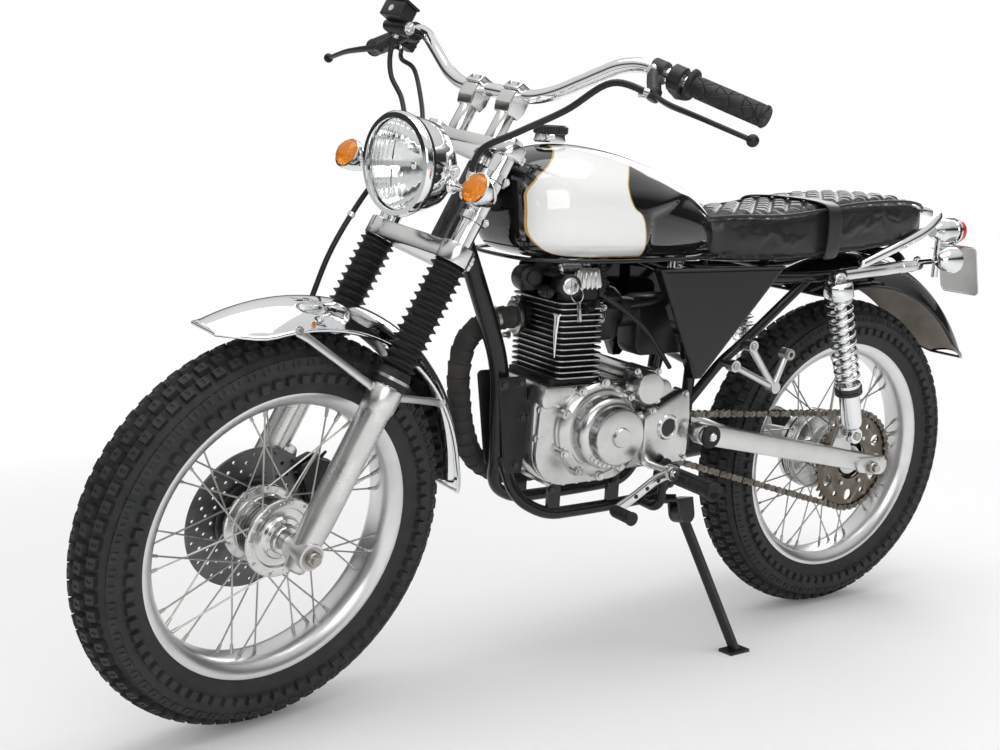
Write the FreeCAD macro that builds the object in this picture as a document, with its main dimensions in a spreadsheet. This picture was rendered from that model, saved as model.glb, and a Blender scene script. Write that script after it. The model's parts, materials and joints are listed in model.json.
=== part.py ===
import FreeCAD, Part
import math
import os
import re
import Sketcher
from FreeCAD import Placement, Rotation, Vector

# A scrambler style motorcycle, built upright about its rear axle and then leaned on its side stand.
# x runs forward, y to the rider's left and z up. Heights are measured from the axles.

doc = FreeCAD.newDocument("Motorcycle")
sheet = doc.addObject("Spreadsheet::Sheet", "Dimensions")

sizes = [
    # stance
    ("wheelbase", 1246), ("lean_deg", 7), ("rest_steer_deg", 14), ("rake_deg", 28.5), ("fork_offset", 50),
    ("fork_leg_y", 90), ("origin_forward", 580.294), ("origin_left", 92.395), ("running_clearance", 0.3),
    # wheels
    ("tyre_radius", 328), ("tyre_half_width", 57), ("tread_crown_radius", 60), 
    ("bead_half_width", 33), ("rim_radius", 241), ("rim_half_width", 38), ("rim_bed_half_width", 13),
    ("rim_wall", 3), ("rim_flange_wall", 4), ("axle_radius", 8), ("hub_flange_radius", 72),
    ("hub_barrel_radius", 46), ("hub_half_width", 34), ("hub_flange_width", 6), ("spoke_radius", 1.6),
    ("spoke_count", 36), ("spoke_circle_radius", 66), ("spoke_sweep_deg", 38), ("spoke_flange_step", 7),
    ("spoke_rim_half_step", 6), ("spoke_play", 0.6), ("disc_radius", 120), ("disc_bore_radius", 40),
    ("disc_width", 4), ("disc_inner_y", 52), ("drum_wall", 6), ("rim_flange_height", 12.5),
    ("rim_well_depth", 11.5), ("bead_play", 0.5),
    ("block_height", 7), ("block_count", 36), ("block_inner_y", 3),
    ("block_outer_y", 54), ("crown_shoulder_y", 26), ("crown_shoulder_drop", 6.4), ("disc_slot_count", 12), ("disc_slot_width", 8), ("disc_slot_inner", 84),
    ("disc_slot_outer", 110),
    # chain drive
    ("tooth_depth", 6),
    ("chain_y", 75), ("chain_width", 14), ("chain_height", 14), ("chain_pitch", 15.875), ("rear_teeth", 40),
    ("front_teeth", 15), ("front_sprocket_z", 103), ("sprocket_width", 5), ("sprocket_carrier_radius", 60),
    ("chain_inner_gap", 2),
    # steering
    ("fork_tube_radius", 17.5), ("fork_tube_top", 722), ("slider_radius", 25), ("slider_top", 284),
    ("slider_tail", 32), ("axle_lug_radius", 22), ("axle_nut_radius", 13), ("axle_nut_width", 10),
    ("axle_end_reach", 16), ("gaiter_bottom", 286), ("gaiter_top", 499), ("gaiter_outer_radius", 30),
    ("gaiter_root_radius", 22), ("gaiter_folds", 13), ("gaiter_collar_height", 34),
    ("gaiter_collar_radius", 28), ("stem_radius", 14.7), ("head_tube_radius", 25),
    ("lower_clamp_bottom", 501), ("lower_clamp_top", 531), ("top_clamp_bottom", 690),
    ("top_clamp_top", 711), ("clamp_ring_radius", 27), ("clamp_bridge_front", 64),
    ("clamp_bridge_back", 22), ("clamp_boss_radius", 30), ("top_nut_radius", 15), ("top_nut_height", 12),
    ("riser_y", 45), ("riser_half_width", 17), ("bar_x", 48), ("bar_z", 797), ("bar_half_width", 458), ("bar_radius", 11.1),
    ("riser_cap_height", 16), ("headlight_x", 128), ("headlight_z", 617), ("headlight_radius", 76),
    ("headlight_depth", 84), ("headlight_ring_radius", 82), ("headlight_ring_width", 20),
    ("headlight_wall", 3), ("lens_bulge", 16), ("lens_wall", 3), ("lamp_ear_y", 86), ("lamp_ear_wall", 4),
    ("lamp_ear_front", 136), ("lamp_ear_bottom", 566), ("lamp_ear_top", 640), ("lamp_ear_height", 40),
    ("front_signal_x", 118), ("front_signal_z", 602), ("front_signal_y", 158), ("signal_radius", 24),
    ("signal_length", 42), ("signal_stalk_radius", 6), ("fender_half_width", 58), ("fender_wall", 2),
    ("fender_front_deg", 40), ("fender_rear_deg", 151), ("stay_radius", 6), ("caliper_half_width", 22),
    ("caliper_length", 74), ("caliper_height", 46), ("caliper_deg", 130), ("caliper_reach", 96),
    ("caliper_slot", 9), ("fender_gap", 54), ("fender_edge_gap", 16),
    ("slider_collar_radius", 28), ("slider_collar_height", 14), ("slider_taper", 24), ("slider_foot_radius", 20),
    ("ear_hole_radius", 8), ("ear_hole_step", 26), ("riser_chamfer", 9), ("signal_neck_radius", 13),
    ("signal_rim_radius", 26), ("signal_rim_width", 6), ("signal_bulge", 12), ("caliper_chamfer", 13),
    # handlebar controls
    ("grip_radius", 16.5), ("grip_length", 128), ("grip_flange_radius", 24), ("grip_flange_width", 8),
    ("perch_radius", 17), ("perch_width", 24), ("switch_radius", 20), ("switch_width", 22),
    ("lever_thick", 9), ("lever_ball_radius", 9), ("reservoir_length", 58), ("reservoir_width", 36),
    ("reservoir_height", 38), ("reservoir_lap", 4), ("master_forward", 45), ("master_inset", 14), ("master_drop", 16), ("master_radius", 14), ("master_length", 64), ("cable_radius", 3.5), ("hose_radius", 4.5), ("control_gap", 9),
    # frame
    ("head_tube_bottom", 540), ("head_tube_top", 680), ("backbone_radius", 19), ("downtube_radius", 17),
    ("rail_radius", 11), ("strut_radius", 9), ("plate_y", 56), ("plate_wall", 6), ("pivot_z", 109),
    ("pivot_radius", 9), ("pivot_cap_radius", 15), ("pivot_cap_width", 14), ("frame_height", 528.3), ("backbone_root_z", 628), ("downtube_root_z", 572),
    # engine
    ("case_bottom", 30), ("case_top", 212), ("case_half_width", 88), ("gearbox_left", 58),
    ("case_round", 18), ("alternator_z", 130), ("alternator_face_y", 152),
    ("alternator_boss_radius", 17), ("alternator_boss_rise", 6), ("starter_z", 204), ("starter_radius", 29),
    ("starter_face_y", 124), ("sprocket_cover_inner_y", 88), ("sprocket_cover_face_y", 112),
    ("sprocket_cover_radius", 46), ("right_cover_radius", 78), ("right_cover_face_y", 132),
    ("cylinder_half_width", 82), ("cylinder_base", 212), ("fin_first_z", 222), ("fin_pitch", 10),
    ("fin_count", 14), ("fin_wall", 3), ("fin_core_inset", 16), ("fin_corner", 24), ("head_top", 398),
    ("head_inset", 10), ("head_cover_half_width", 44), ("head_cover_top", 414), ("carb_z", 322),
    ("carb_radius", 24), ("carb_length", 84), ("carb_bowl_radius", 27), ("carb_bowl_depth", 56),
    ("header_radius", 20), ("muffler_radius", 40), ("muffler_tail_radius", 20),
    ("alternator_housing", 62), ("alternator_step_y", 128), ("alternator_ring", 50), ("alternator_edge", 6),
    ("starter_edge", 5), ("motor_x_step", 6), ("motor_radius", 17), ("motor_reach_y", 110),
    ("window_step", 15), ("window_z", 127), ("window_radius", 13), ("window_rise", 4), ("window_wall", 4),
    ("cover_corner", 24), ("head_rib_count", 3), ("head_rib_width", 5), ("head_rib_height", 5),
    # tank, seat and covers
    ("tank_bottom", 426), ("tank_top", 622), ("tank_half_width", 136), ("tunnel_half_width", 34),
    ("cap_radius", 29), ("cap_neck_radius", 26), ("cap_height", 14),
    ("cap_neck_height", 12), ("seat_bottom", 424), ("seat_top", 540), ("seat_half_width", 118),
    ("seat_gap", 0.3), ("cover_outer_y", 134), ("cover_inner_y", 111.3), ("cover_top", 416),
    ("cover_bottom", 216), ("cover_round", 8),
    # swingarm and shocks
    ("arm_inner_y", 100), ("arm_outer_y", 126), ("arm_height", 40), ("arm_tail", 34),
    ("arm_cross_radius", 19), ("shock_y", 142), ("shock_top_z", 388), ("shock_low_z", 77),
    ("shock_spring_radius", 25), ("shock_spring_root", 17), ("shock_coils", 10), ("shock_rod_radius", 8),
    ("shock_body_radius", 20),
    ("shock_eye_radius", 15), ("shock_eye_width", 20), ("shock_cap_radius", 28), ("shock_cap_height", 34),
    ("shock_body_length", 108), ("rear_axle_reach", 146), ("adjuster_length", 26), ("adjuster_radius", 4),
    ("adjuster_lap", 6),
    # tail
    ("tail_rail_y", 100), ("tail_rail_z", 388), ("tail_rail_back_z", 404), ("grab_radius", 6.5),
    ("tail_lamp_z", 466), ("tail_lamp_radius", 25), ("tail_lamp_length", 66), ("tail_lens_length", 22),
    ("number_width", 98), ("number_height", 112), ("number_wall", 2), ("number_top_z", 436),
    ("number_tilt_deg", 15), ("rear_fender_half_width", 76), ("rear_fender_front_deg", 62),
    ("rear_fender_rear_deg", 152), ("rear_signal_z", 426), ("rear_signal_y", 172),
    ("brake_plate_radius", 84), ("brake_plate_width", 10), ("rear_fender_gap", 96),
    ("rear_fender_edge_gap", 34),
    ("number_corner", 11), ("lamp_flare_radius", 30), ("lamp_flare_width", 8), ("lamp_neck_radius", 14),
    ("lamp_neck_length", 20), ("lens_dome", 8),
    # pegs, levers and stand
    ("peg_groove", 2), ("peg_ribs", 9),
    ("peg_z", 46), ("peg_inner_y", 132), ("peg_outer_y", 256), ("peg_radius", 14), ("peg_bar_radius", 10),
    ("gear_pivot_z", 62), ("gear_toe_z", 10), ("gear_y", 176), ("toe_radius", 9), ("toe_length", 54),
    ("lever_wall", 7), ("brake_toe_z", 14), ("hanger_wall", 7),
    ("hanger_boss_radius", 11), ("hanger_boss_half", 9), ("peg_hole_radius", 4.2), ("passenger_peg_z", 248), ("stand_pivot_y", 104),
    ("stand_pivot_z", -46), ("stand_foot_y", 184), ("stand_leg_radius", 10), ("stand_foot_length", 46),
    ("stand_foot_width", 34), ("stand_foot_wall", 6), ("stand_tilt_deg", 15), ("stand_ear_wall", 6),
    ("stand_ear_gap", 1.5), ("stand_bolt_radius", 6), ("stand_lug_radius", 17), ("cut_overrun", 5),
    ("spacer_radius", 14), ("lamp_lug_radius", 7), ("caliper_lug", 14), ("cross_inset_y", 78),
    ("tank_pad_radius", 8), ("lug_length", 26), ("lug_wall", 8), ("mount_top", 204), ("mount_bottom", 70),
    ("mount_y", 26), ("pivot_lug_length", 44), ("pivot_lug_height", 96), ("stand_web_height", 30),
    ("airbox_half_width", 29), ("airbox_bottom", 240), ("airbox_top", 354), ("muffler_hanger_share", 0.34),
    ("hanger_low_z", 185), ("hanger_y", 120), ("tunnel_front_top", 566), ("tunnel_end_top", 445),
    ("peg_root_y", 116), ("case_chamfer", 52), ("arm_middle_y", 113), ("peg_hanger_radius", 8),
]
place_shares = [
    # places along the machine, as shares of the wheelbase
    ("front_sprocket_x", 0.41573), ("pivot_x", 0.362761), ("case_front", 0.635634), ("case_back", 0.455859),
    ("gearbox_back", 0.385233), ("alternator_x", 0.53451), ("starter_x", 0.4687),
    ("cylinder_back", 0.523274), ("cylinder_front", 0.614767), ("head_cover_back", 0.536116),
    ("head_cover_front", 0.5939), ("carb_x", 0.486356), ("tank_front", 0.678973), ("tank_back", 0.29374),
    ("cap_x", 0.597913), ("seat_front", 0.370787), ("seat_back", -0.089888), ("cover_front", 0.473515),
    ("cover_back", 0.23435), ("cover_bottom_x", 0.390048), ("arm_cross_x", 0.319422),
    ("shock_top_x", 0.134831), ("shock_low_x", 0.0626), ("tail_rail_back", -0.05297),
    ("tail_lamp_x", -0.210273), ("number_x", -0.282504), ("rear_signal_x", -0.078652), ("peg_x", 0.430177),
    ("gear_pivot_x", 0.454254), ("gear_toe_x", 0.553772), ("brake_toe_x", 0.542536),
    ("passenger_peg_x", 0.210273), ("stand_pivot_x", 0.380417), ("stand_foot_x", 0.309791),
    ("seat_bar_x", 0.239968), ("tank_front_pad_x", 0.658106), ("tank_back_pad_x", 0.417335),
    ("lug_front_x", 0.577849), ("lug_back_x", 0.473515), ("airbox_back", 0.264848),
    ("airbox_front", 0.446228), ("hanger_low_x", 0.23114), ("tunnel_end_x", 0.361156),
    ("stand_root_x", 0.4061),
]
tyre_shares = [
    # heights over the rim as shares of the tyre's depth
    ("bulge_share", 0.483), ("shoulder_share", 0.77), ("tyre_wall_share", 0.103),
]
rows = [(alias, str(value)) for alias, value in sizes + tyre_shares]
rows += [(alias, "=wheelbase * %s" % share) for alias, share in place_shares]
for alias, low, high in (("rim_seat_radius", "rim_radius", "rim_flange_height"), ("rim_bed_radius", "rim_seat_radius", "rim_well_depth")):
    rows.append((alias, "=%s - %s" % (low, high)))
for alias, low, high in (("tyre_bead_radius", "rim_seat_radius", "bead_play"), ("fender_radius", "tyre_radius", "fender_gap"),
                         ("fender_edge_radius", "tyre_radius", "fender_edge_gap"),
                         ("rear_fender_radius", "tyre_radius", "rear_fender_gap"),
                         ("rear_fender_edge_radius", "tyre_radius", "rear_fender_edge_gap")):
    rows.append((alias, "=%s + %s" % (low, high)))
rows += [("bulge_radius", "=rim_radius + bulge_share * (tyre_radius - rim_radius)"),
         ("shoulder_radius", "=rim_radius + shoulder_share * (tyre_radius - rim_radius)"),
         ("crown_shoulder_radius", "=tyre_radius - crown_shoulder_drop"),
         ("tyre_wall", "=tyre_wall_share * (tyre_radius - rim_radius)")]
for row, (alias, value) in enumerate(rows, 1):
    sheet.set("A%d" % row, alias)
    sheet.set("B%d" % row, value)
    sheet.setAlias("B%d" % row, alias)
doc.recompute()
aliases = [alias for alias, value in rows]


class Sheet:
    pass


d = Sheet()
for alias in aliases:
    setattr(d, alias, float(sheet.get(alias)))


def bound(text):
    return re.sub(r"[a-z][a-z0-9_]*", lambda m: ("Dimensions." + m.group(0)) if m.group(0) in aliases else m.group(0),
                  str(text))


def worth(text):
    names = dict((alias, getattr(d, alias)) for alias in aliases)
    total = FreeCAD.Units.Quantity
    tidy = re.sub(r"[a-z][a-z0-9_]*", lambda m: repr(names[m.group(0)]) if m.group(0) in names else m.group(0), str(text))
    return total(tidy).Value


# Where the pieces stand: the whole frame leans, the fork also turns about the steering head.
crown_height = (d.tyre_radius - d.tread_crown_radius) * math.cos(math.radians(d.lean_deg)) + d.tread_crown_radius
lean = Placement(Vector(-d.origin_forward, -d.origin_left, crown_height), Rotation(Vector(1, 0, 0), -d.lean_deg))
rake = math.radians(d.rake_deg)
steer_origin = Vector(d.wheelbase - d.fork_offset * math.cos(rake), 0, -d.fork_offset * math.sin(rake))
head_frame = Placement(steer_origin, Rotation(Vector(0, 1, 0), -d.rake_deg))
head = lean.multiply(head_frame)
fork = head.multiply(Placement(Vector(0, 0, 0), Rotation(Vector(0, 0, 1), d.rest_steer_deg)))
front_axle = fork.multiply(Placement(Vector(d.fork_offset, 0, 0), Rotation()))

pieces = []


def keep(item, label, placement):
    item.Label = label
    item.Placement = placement.multiply(item.Placement) if item.TypeId != "PartDesign::Body" else placement
    pieces.append(item)
    return item


def planeOf(body, role):
    for item in body.Origin.OriginFeatures:
        if item.Role == role:
            return item
    raise RuntimeError(role)


def outline(body, name, role, points):
    # closed outline whose corners are bound to the sheet; a corner may carry the radius of an arc that follows it
    sketch = body.newObject("Sketcher::SketchObject", name)
    sketch.AttachmentSupport = [(planeOf(body, role), "")]
    sketch.MapMode = "FlatFace"
    places = [Vector(worth(p[0]), worth(p[1]), 0) for p in points]
    count = len(points)
    for i, point in enumerate(points):
        a, b = places[i], places[(i + 1) % count]
        if len(point) > 2:
            radius, side = worth(point[2]), point[3]
            middle = (a + b) * 0.5
            half = (b - a).Length * 0.5
            lift = Vector(-(b - a).y, (b - a).x, 0)
            lift.normalize()
            offset = math.sqrt(max(radius * radius - half * half, 0))
            top = middle + lift * side * (radius - offset)
            sketch.addGeometry(Part.Arc(a, top, b), False)
        else:
            sketch.addGeometry(Part.LineSegment(a, b), False)
    ends = []
    for i, point in enumerate(points):
        flipped = False
        if len(point) > 2:
            geo = sketch.Geometry[i]
            flipped = (geo.StartPoint - places[i]).Length > (geo.EndPoint - places[i]).Length
        ends.append((2, 1) if flipped else (1, 2))
    for i in range(count):
        j = (i + 1) % count
        sketch.addConstraint(Sketcher.Constraint("Coincident", i, ends[i][1], j, ends[j][0]))
    for i, point in enumerate(points):
        for axis, text in (("DistanceX", point[0]), ("DistanceY", point[1])):
            if str(text) == "0":
                kind = "PointOnObject"
                line = -2 if axis == "DistanceX" else -1
                sketch.addConstraint(Sketcher.Constraint(kind, i, ends[i][0], line))
            else:
                at = sketch.addConstraint(Sketcher.Constraint(axis, -1, 1, i, ends[i][0], worth(text)))
                sketch.setExpression("Constraints[%d]" % at, bound(text))
        if len(point) > 2:
            at = sketch.addConstraint(Sketcher.Constraint("Radius", i, worth(point[2])))
            sketch.setExpression("Constraints[%d]" % at, bound(point[2]))
    return sketch


def turnedBody(name, points, sweep=None):
    # points are (radius, distance along the axle)
    body = doc.addObject("PartDesign::Body", name)
    sketch = outline(body, name + "Section", "XY_Plane", points)
    doc.recompute()
    turn = body.newObject("PartDesign::Revolution", name + "Turn")
    turn.Profile = sketch
    turn.ReferenceAxis = (sketch, ["V_Axis"])
    if sweep:
        turn.setExpression("Angle", bound(sweep))
    else:
        turn.Angle = 360
    doc.recompute()
    return body


def box(name, x, y, z):
    item = doc.addObject("Part::Box", name)
    item.setExpression("Length", bound("(%s) - (%s)" % (x[1], x[0])))
    item.setExpression("Width", bound("(%s) - (%s)" % (y[1], y[0])))
    item.setExpression("Height", bound("(%s) - (%s)" % (z[1], z[0])))
    item.setExpression("Placement.Base.x", bound(x[0]))
    item.setExpression("Placement.Base.y", bound(y[0]))
    item.setExpression("Placement.Base.z", bound(z[0]))
    return item


turns = {"x": Rotation(Vector(0, 1, 0), 90), "y": Rotation(Vector(1, 0, 0), -90), "z": Rotation()}


def rod(name, axis, at, radius, length):
    item = doc.addObject("Part::Cylinder", name)
    item.Placement.Rotation = turns[axis]
    item.setExpression("Radius", bound(radius))
    item.setExpression("Height", bound(length))
    item.setExpression("Placement.Base.x", bound(at[0]))
    item.setExpression("Placement.Base.y", bound(at[1]))
    item.setExpression("Placement.Base.z", bound(at[2]))
    return item


def joined(name, items):
    item = doc.addObject("Part::MultiFuse", name)
    item.Shapes = items
    item.Refine = True
    return item


def cutBy(name, base, tools):
    item = doc.addObject("Part::Cut", name)
    item.Base = base
    if len(tools) > 1:
        tool = joined(name + "Tools", tools)
    else:
        tool = tools[0]
    item.Tool = tool
    return item


def shaped(name, shape):
    item = doc.addObject("Part::Feature", name)
    item.Shape = shape
    return item


def pathWire(points, shares=0.45):
    # straight runs joined by tangent arcs, each as large as its two runs allow
    edges = []
    last = points[0]
    for i in range(1, len(points) - 1):
        before, here, after = points[i - 1], points[i], points[i + 1]
        u = (before - here)
        v = (after - here)
        trim = shares * min(u.Length, v.Length)
        u.normalize()
        v.normalize()
        a = here + u * trim
        b = here + v * trim
        turn = math.pi - u.getAngle(v)
        radius = trim / math.tan(turn / 2)
        inward = u + v
        inward.normalize()
        middle = here + inward * (math.hypot(radius, trim) - radius)
        edges.append(Part.LineSegment(last, a).toShape())
        edges.append(Part.Arc(a, middle, b).toShape())
        last = b
    edges.append(Part.LineSegment(last, points[-1]).toShape())
    return Part.Wire(edges)


def tube(points, radius, bore=0):
    points = [Vector(*p) for p in points]
    wire = pathWire(points) if len(points) > 2 else Part.Wire([Part.LineSegment(points[0], points[1]).toShape()])
    start = points[0]
    along = points[1] - points[0]
    ring = Part.Wire([Part.Circle(start, along, radius).toShape()])
    solid = wire.makePipeShell([ring], True, False)
    if bore:
        inner = Part.Wire([Part.Circle(start, along, bore).toShape()])
        solid = solid.cut(wire.makePipeShell([inner], True, False))
    return solid


def bar(a, b, radius):
    a, b = Vector(*a), Vector(*b)
    return Part.makeCylinder(radius, (b - a).Length, a, b - a)


def mirrored(shape):
    return shape.mirror(Vector(0, 0, 0), Vector(0, 1, 0))


def fused(shapes):
    whole = shapes[0].multiFuse(shapes[1:]) if len(shapes) > 1 else shapes[0]
    return whole.removeSplitter()


def apart(shapes):
    return Part.makeCompound(shapes)


# Wheels
rim_section = [
    ("rim_radius", "rim_half_width"),
    ("rim_radius", "rim_half_width - rim_flange_wall"),
    ("rim_seat_radius", "rim_half_width - rim_flange_wall"),
    ("rim_seat_radius", "rim_bed_half_width + rim_wall"),
    ("rim_bed_radius", "rim_bed_half_width"),
    ("rim_bed_radius", "-rim_bed_half_width"),
    ("rim_seat_radius", "-rim_bed_half_width - rim_wall"),
    ("rim_seat_radius", "-rim_half_width + rim_flange_wall"),
    ("rim_radius", "-rim_half_width + rim_flange_wall"),
    ("rim_radius", "-rim_half_width"),
    ("rim_seat_radius - rim_wall", "-rim_half_width"),
    ("rim_seat_radius - rim_wall", "-rim_bed_half_width - rim_wall - rim_wall"),
    ("rim_bed_radius - rim_wall", "-rim_bed_half_width"),
    ("rim_bed_radius - rim_wall", "rim_bed_half_width"),
    ("rim_seat_radius - rim_wall", "rim_bed_half_width + rim_wall + rim_wall"),
    ("rim_seat_radius - rim_wall", "rim_half_width"),
]
hub_bore = "axle_radius + running_clearance"
hub_section = [
    (hub_bore, "-hub_half_width"),
    ("hub_flange_radius", "-hub_half_width"),
    ("hub_flange_radius", "-hub_half_width + hub_flange_width"),
    ("hub_barrel_radius", "-hub_half_width + hub_flange_width"),
    ("hub_barrel_radius", "hub_half_width - hub_flange_width"),
    ("hub_flange_radius", "hub_half_width - hub_flange_width"),
    ("hub_flange_radius", "hub_half_width"),
    (hub_bore, "hub_half_width"),
]


def turnedY(points):
    # points are (radius, distance along the axle)
    corners = [Vector(radius, along, 0) for radius, along in points]
    return Part.Face(Part.makePolygon(corners + [corners[0]])).revolve(Vector(0, 0, 0), Vector(0, 1, 0), 360)


def turnedX(points):
    # points are (distance along x, radius)
    corners = [Vector(along, radius, 0) for along, radius in points]
    return Part.Face(Part.makePolygon(corners + [corners[0]])).revolve(Vector(0, 0, 0), Vector(1, 0, 0), 360)


def tyreHalf(raised, side, step):
    # outline of one side of the tyre from its middle to its bead, in flats that clear the rim's circle
    hug = 1 / math.cos(step / 2)
    low = d.shoulder_radius - d.block_height
    line = [(d.tyre_radius - d.block_height, d.block_inner_y)]
    if raised:
        line += [(d.tyre_radius, d.block_inner_y), (d.crown_shoulder_radius, d.crown_shoulder_y),
                 (d.shoulder_radius, d.block_outer_y)]
    line += [(low, d.block_outer_y), (d.bulge_radius, d.tyre_half_width),
             ((d.rim_radius + d.running_clearance) * hug, d.bead_half_width), (d.tyre_bead_radius * hug, d.bead_half_width)]
    return [(radius, side * y) for radius, y in line]


def atAngle(point, angle):
    return Vector(point[0] * math.cos(angle), point[1], point[0] * math.sin(angle))


def tyreShape():
    # blocks stand on the left and on the right by turns, so each step has one side raised
    steps = 2 * int(d.block_count)
    step = 2 * math.pi / steps
    faces = []
    for i in range(steps):
        a, b = i * step, (i + 1) * step
        left, right = tyreHalf(i % 2 == 0, 1, step), tyreHalf(i % 2 == 1, -1, step)
        line = right[::-1] + left
        for p, q in zip(line, line[1:] + line[:1]):
            faces.append(Part.Face(Part.makePolygon([atAngle(p, a), atAngle(q, a), atAngle(q, b), atAngle(p, b), atAngle(p, a)])))
        for side in (1, -1):
            wall = [atAngle(point, a) for point in tyreHalf(True, side, step)[:5]]
            faces.append(Part.Face(Part.makePolygon(wall + [wall[0]])))
    shell = Part.makeShell(faces)
    shell.sewShape()
    solid = Part.makeSolid(shell)
    if solid.Volume < 0:
        solid.reverse()
    return solid


def spokes():
    solids = []
    half = int(d.spoke_count) // 2
    outer = d.rim_bed_radius - d.rim_wall - d.spoke_play
    for side in (1, -1):
        for i in range(half):
            turn = 2 * math.pi * i / half + (math.pi / half if side < 0 else 0)
            lean_way = 1 if i % 2 else -1
            sweep = math.radians(d.spoke_sweep_deg) * lean_way
            y_hub = side * (d.hub_half_width if not i % 2 else d.hub_half_width - d.hub_flange_width)
            a = Vector(d.spoke_circle_radius * math.cos(turn), y_hub, d.spoke_circle_radius * math.sin(turn))
            b = Vector(outer * math.cos(turn + sweep * 0.5), side * d.spoke_rim_half_step,
                       outer * math.sin(turn + sweep * 0.5))
            solids.append(Part.makeCylinder(d.spoke_radius, (b - a).Length, a, b - a))
    return solids


tyre_shape = tyreShape()
for name, place in (("front", front_axle), ("rear", lean)):
    keep(shaped(name + "Tyre", tyre_shape.copy()), name + "_tyre", place)
    keep(turnedBody(name + "Rim", rim_section), name + "_rim", place)
    barrel = turnedBody(name + "HubBarrel", hub_section)
    keep(shaped(name + "Hub", fused([barrel.Shape] + spokes())), name + "_hub", place)

# Brake disc on the right of the front hub, with the bracket ring that carries it
disc = cutBy("BrakeDisc", joined("DiscPlates", [
    rod("DiscPlate", "y", ("0", "-disc_inner_y - disc_width", "0"), "disc_radius", "disc_width"),
    rod("DiscCarrier", "y", ("0", "-disc_inner_y", "0"), "disc_bore_radius + drum_wall", "disc_inner_y - hub_half_width"),
]), [rod("DiscBore", "y", ("0", "-disc_inner_y - disc_width - cut_overrun", "0"), "disc_bore_radius - drum_wall",
         "disc_inner_y + disc_width")])
doc.recompute()
slots = []
for i in range(int(d.disc_slot_count)):
    slit = Part.makeBox(d.disc_slot_outer - d.disc_slot_inner, 2 * d.disc_inner_y, d.disc_slot_width,
                        Vector(d.disc_slot_inner, -2 * d.disc_inner_y, -d.disc_slot_width / 2))
    slit.rotate(Vector(0, 0, 0), Vector(0, 1, 0), i * 360 / d.disc_slot_count)
    slots.append(slit)
keep(shaped("SlottedDisc", disc.Shape.cut(Part.makeCompound(slots))), "front_brake_disc", front_axle)

# Rear chain wheel on the left of the rear hub
rear_pitch_radius = d.chain_pitch / 2 / math.sin(math.pi / d.rear_teeth)
front_pitch_radius = d.chain_pitch / 2 / math.sin(math.pi / d.front_teeth)
wheel_radius = rear_pitch_radius - d.chain_height / 2 - d.chain_inner_gap
tooth_share = 0.28
toothed = []
for i in range(int(d.rear_teeth)):
    for share, radius in ((-tooth_share / 2, wheel_radius), (tooth_share / 2, wheel_radius),
                          (0.5 - tooth_share / 2, wheel_radius - d.tooth_depth),
                          (0.5 + tooth_share / 2, wheel_radius - d.tooth_depth)):
        angle = 2 * math.pi * (i + share) / d.rear_teeth
        toothed.append(Vector(radius * math.cos(angle), d.chain_y - d.sprocket_width / 2, radius * math.sin(angle)))
sprocket = Part.Face(Part.makePolygon(toothed + [toothed[0]])).extrude(Vector(0, d.sprocket_width, 0))
carrier = Part.makeCylinder(d.sprocket_carrier_radius, d.chain_y - d.sprocket_width / 2 - d.hub_half_width,
                            Vector(0, d.hub_half_width, 0), Vector(0, 1, 0))
bore = Part.makeCylinder(d.spacer_radius + d.drum_wall, d.chain_y + d.cut_overrun, Vector(0, 0, 0), Vector(0, 1, 0))
keep(shaped("RearSprocket", fused([sprocket, carrier]).cut(bore)), "rear_sprocket", lean)


# Drive chain: a closed loop round both chain wheels, whose outline swells at each pin
chain_along = Vector(d.front_sprocket_x, 0, d.front_sprocket_z)
chain_tilt = math.atan2(chain_along.z, chain_along.x)
chain_half_turn = math.acos((rear_pitch_radius - front_pitch_radius) / chain_along.Length)
chain_run = chain_along.Length * math.sin(chain_half_turn)
front_arc = front_pitch_radius * 2 * chain_half_turn
rear_arc = rear_pitch_radius * 2 * (math.pi - chain_half_turn)
chain_waist_share = 0.62


def chainPlace(way):
    # place and outward direction at a distance along the loop, from the rear wheel's upper tangent point
    upper = chain_tilt + chain_half_turn
    lower = chain_tilt - chain_half_turn
    if way < chain_run:
        out = Vector(math.cos(upper), 0, math.sin(upper))
        return out * rear_pitch_radius + Vector(out.z, 0, -out.x) * way, out
    way -= chain_run
    if way < front_arc:
        angle = upper - way / front_pitch_radius
        out = Vector(math.cos(angle), 0, math.sin(angle))
        return chain_along + out * front_pitch_radius, out
    way -= front_arc
    if way < chain_run:
        out = Vector(math.cos(lower), 0, math.sin(lower))
        return chain_along + out * front_pitch_radius + Vector(out.z, 0, -out.x) * way, out
    angle = lower - (way - chain_run) / rear_pitch_radius
    out = Vector(math.cos(angle), 0, math.sin(angle))
    return out * rear_pitch_radius, out


half_height = d.chain_height / 2
loop_length = 2 * chain_run + front_arc + rear_arc
pin_count = round(loop_length / d.chain_pitch)
outer_side, inner_side = [], []
for i in range(2 * pin_count):
    place, out = chainPlace(loop_length * i / (2 * pin_count))
    place = place + Vector(0, d.chain_y - d.chain_width / 2, 0)
    outer_side.append(place + out * half_height * (chain_waist_share if i % 2 else 1))
    if i % 2:
        inner_side.append(place - out * half_height)
band = Part.Face(Part.makePolygon(outer_side + [outer_side[0]])).cut(Part.Face(Part.makePolygon(inner_side + [inner_side[0]])))
keep(shaped("DriveChain", band.extrude(Vector(0, d.chain_width, 0))), "drive_chain", lean)

# Fork: lower clamp with its stem, top clamp, tubes, gaiters and sliders
y_fork = d.fork_leg_y
stem_low = d.lower_clamp_bottom
stem = Part.makeCylinder(d.stem_radius, d.top_clamp_top - stem_low, Vector(0, 0, stem_low))
nut = Part.makeCylinder(d.top_nut_radius, d.top_nut_height, Vector(0, 0, d.top_clamp_top))


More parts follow.
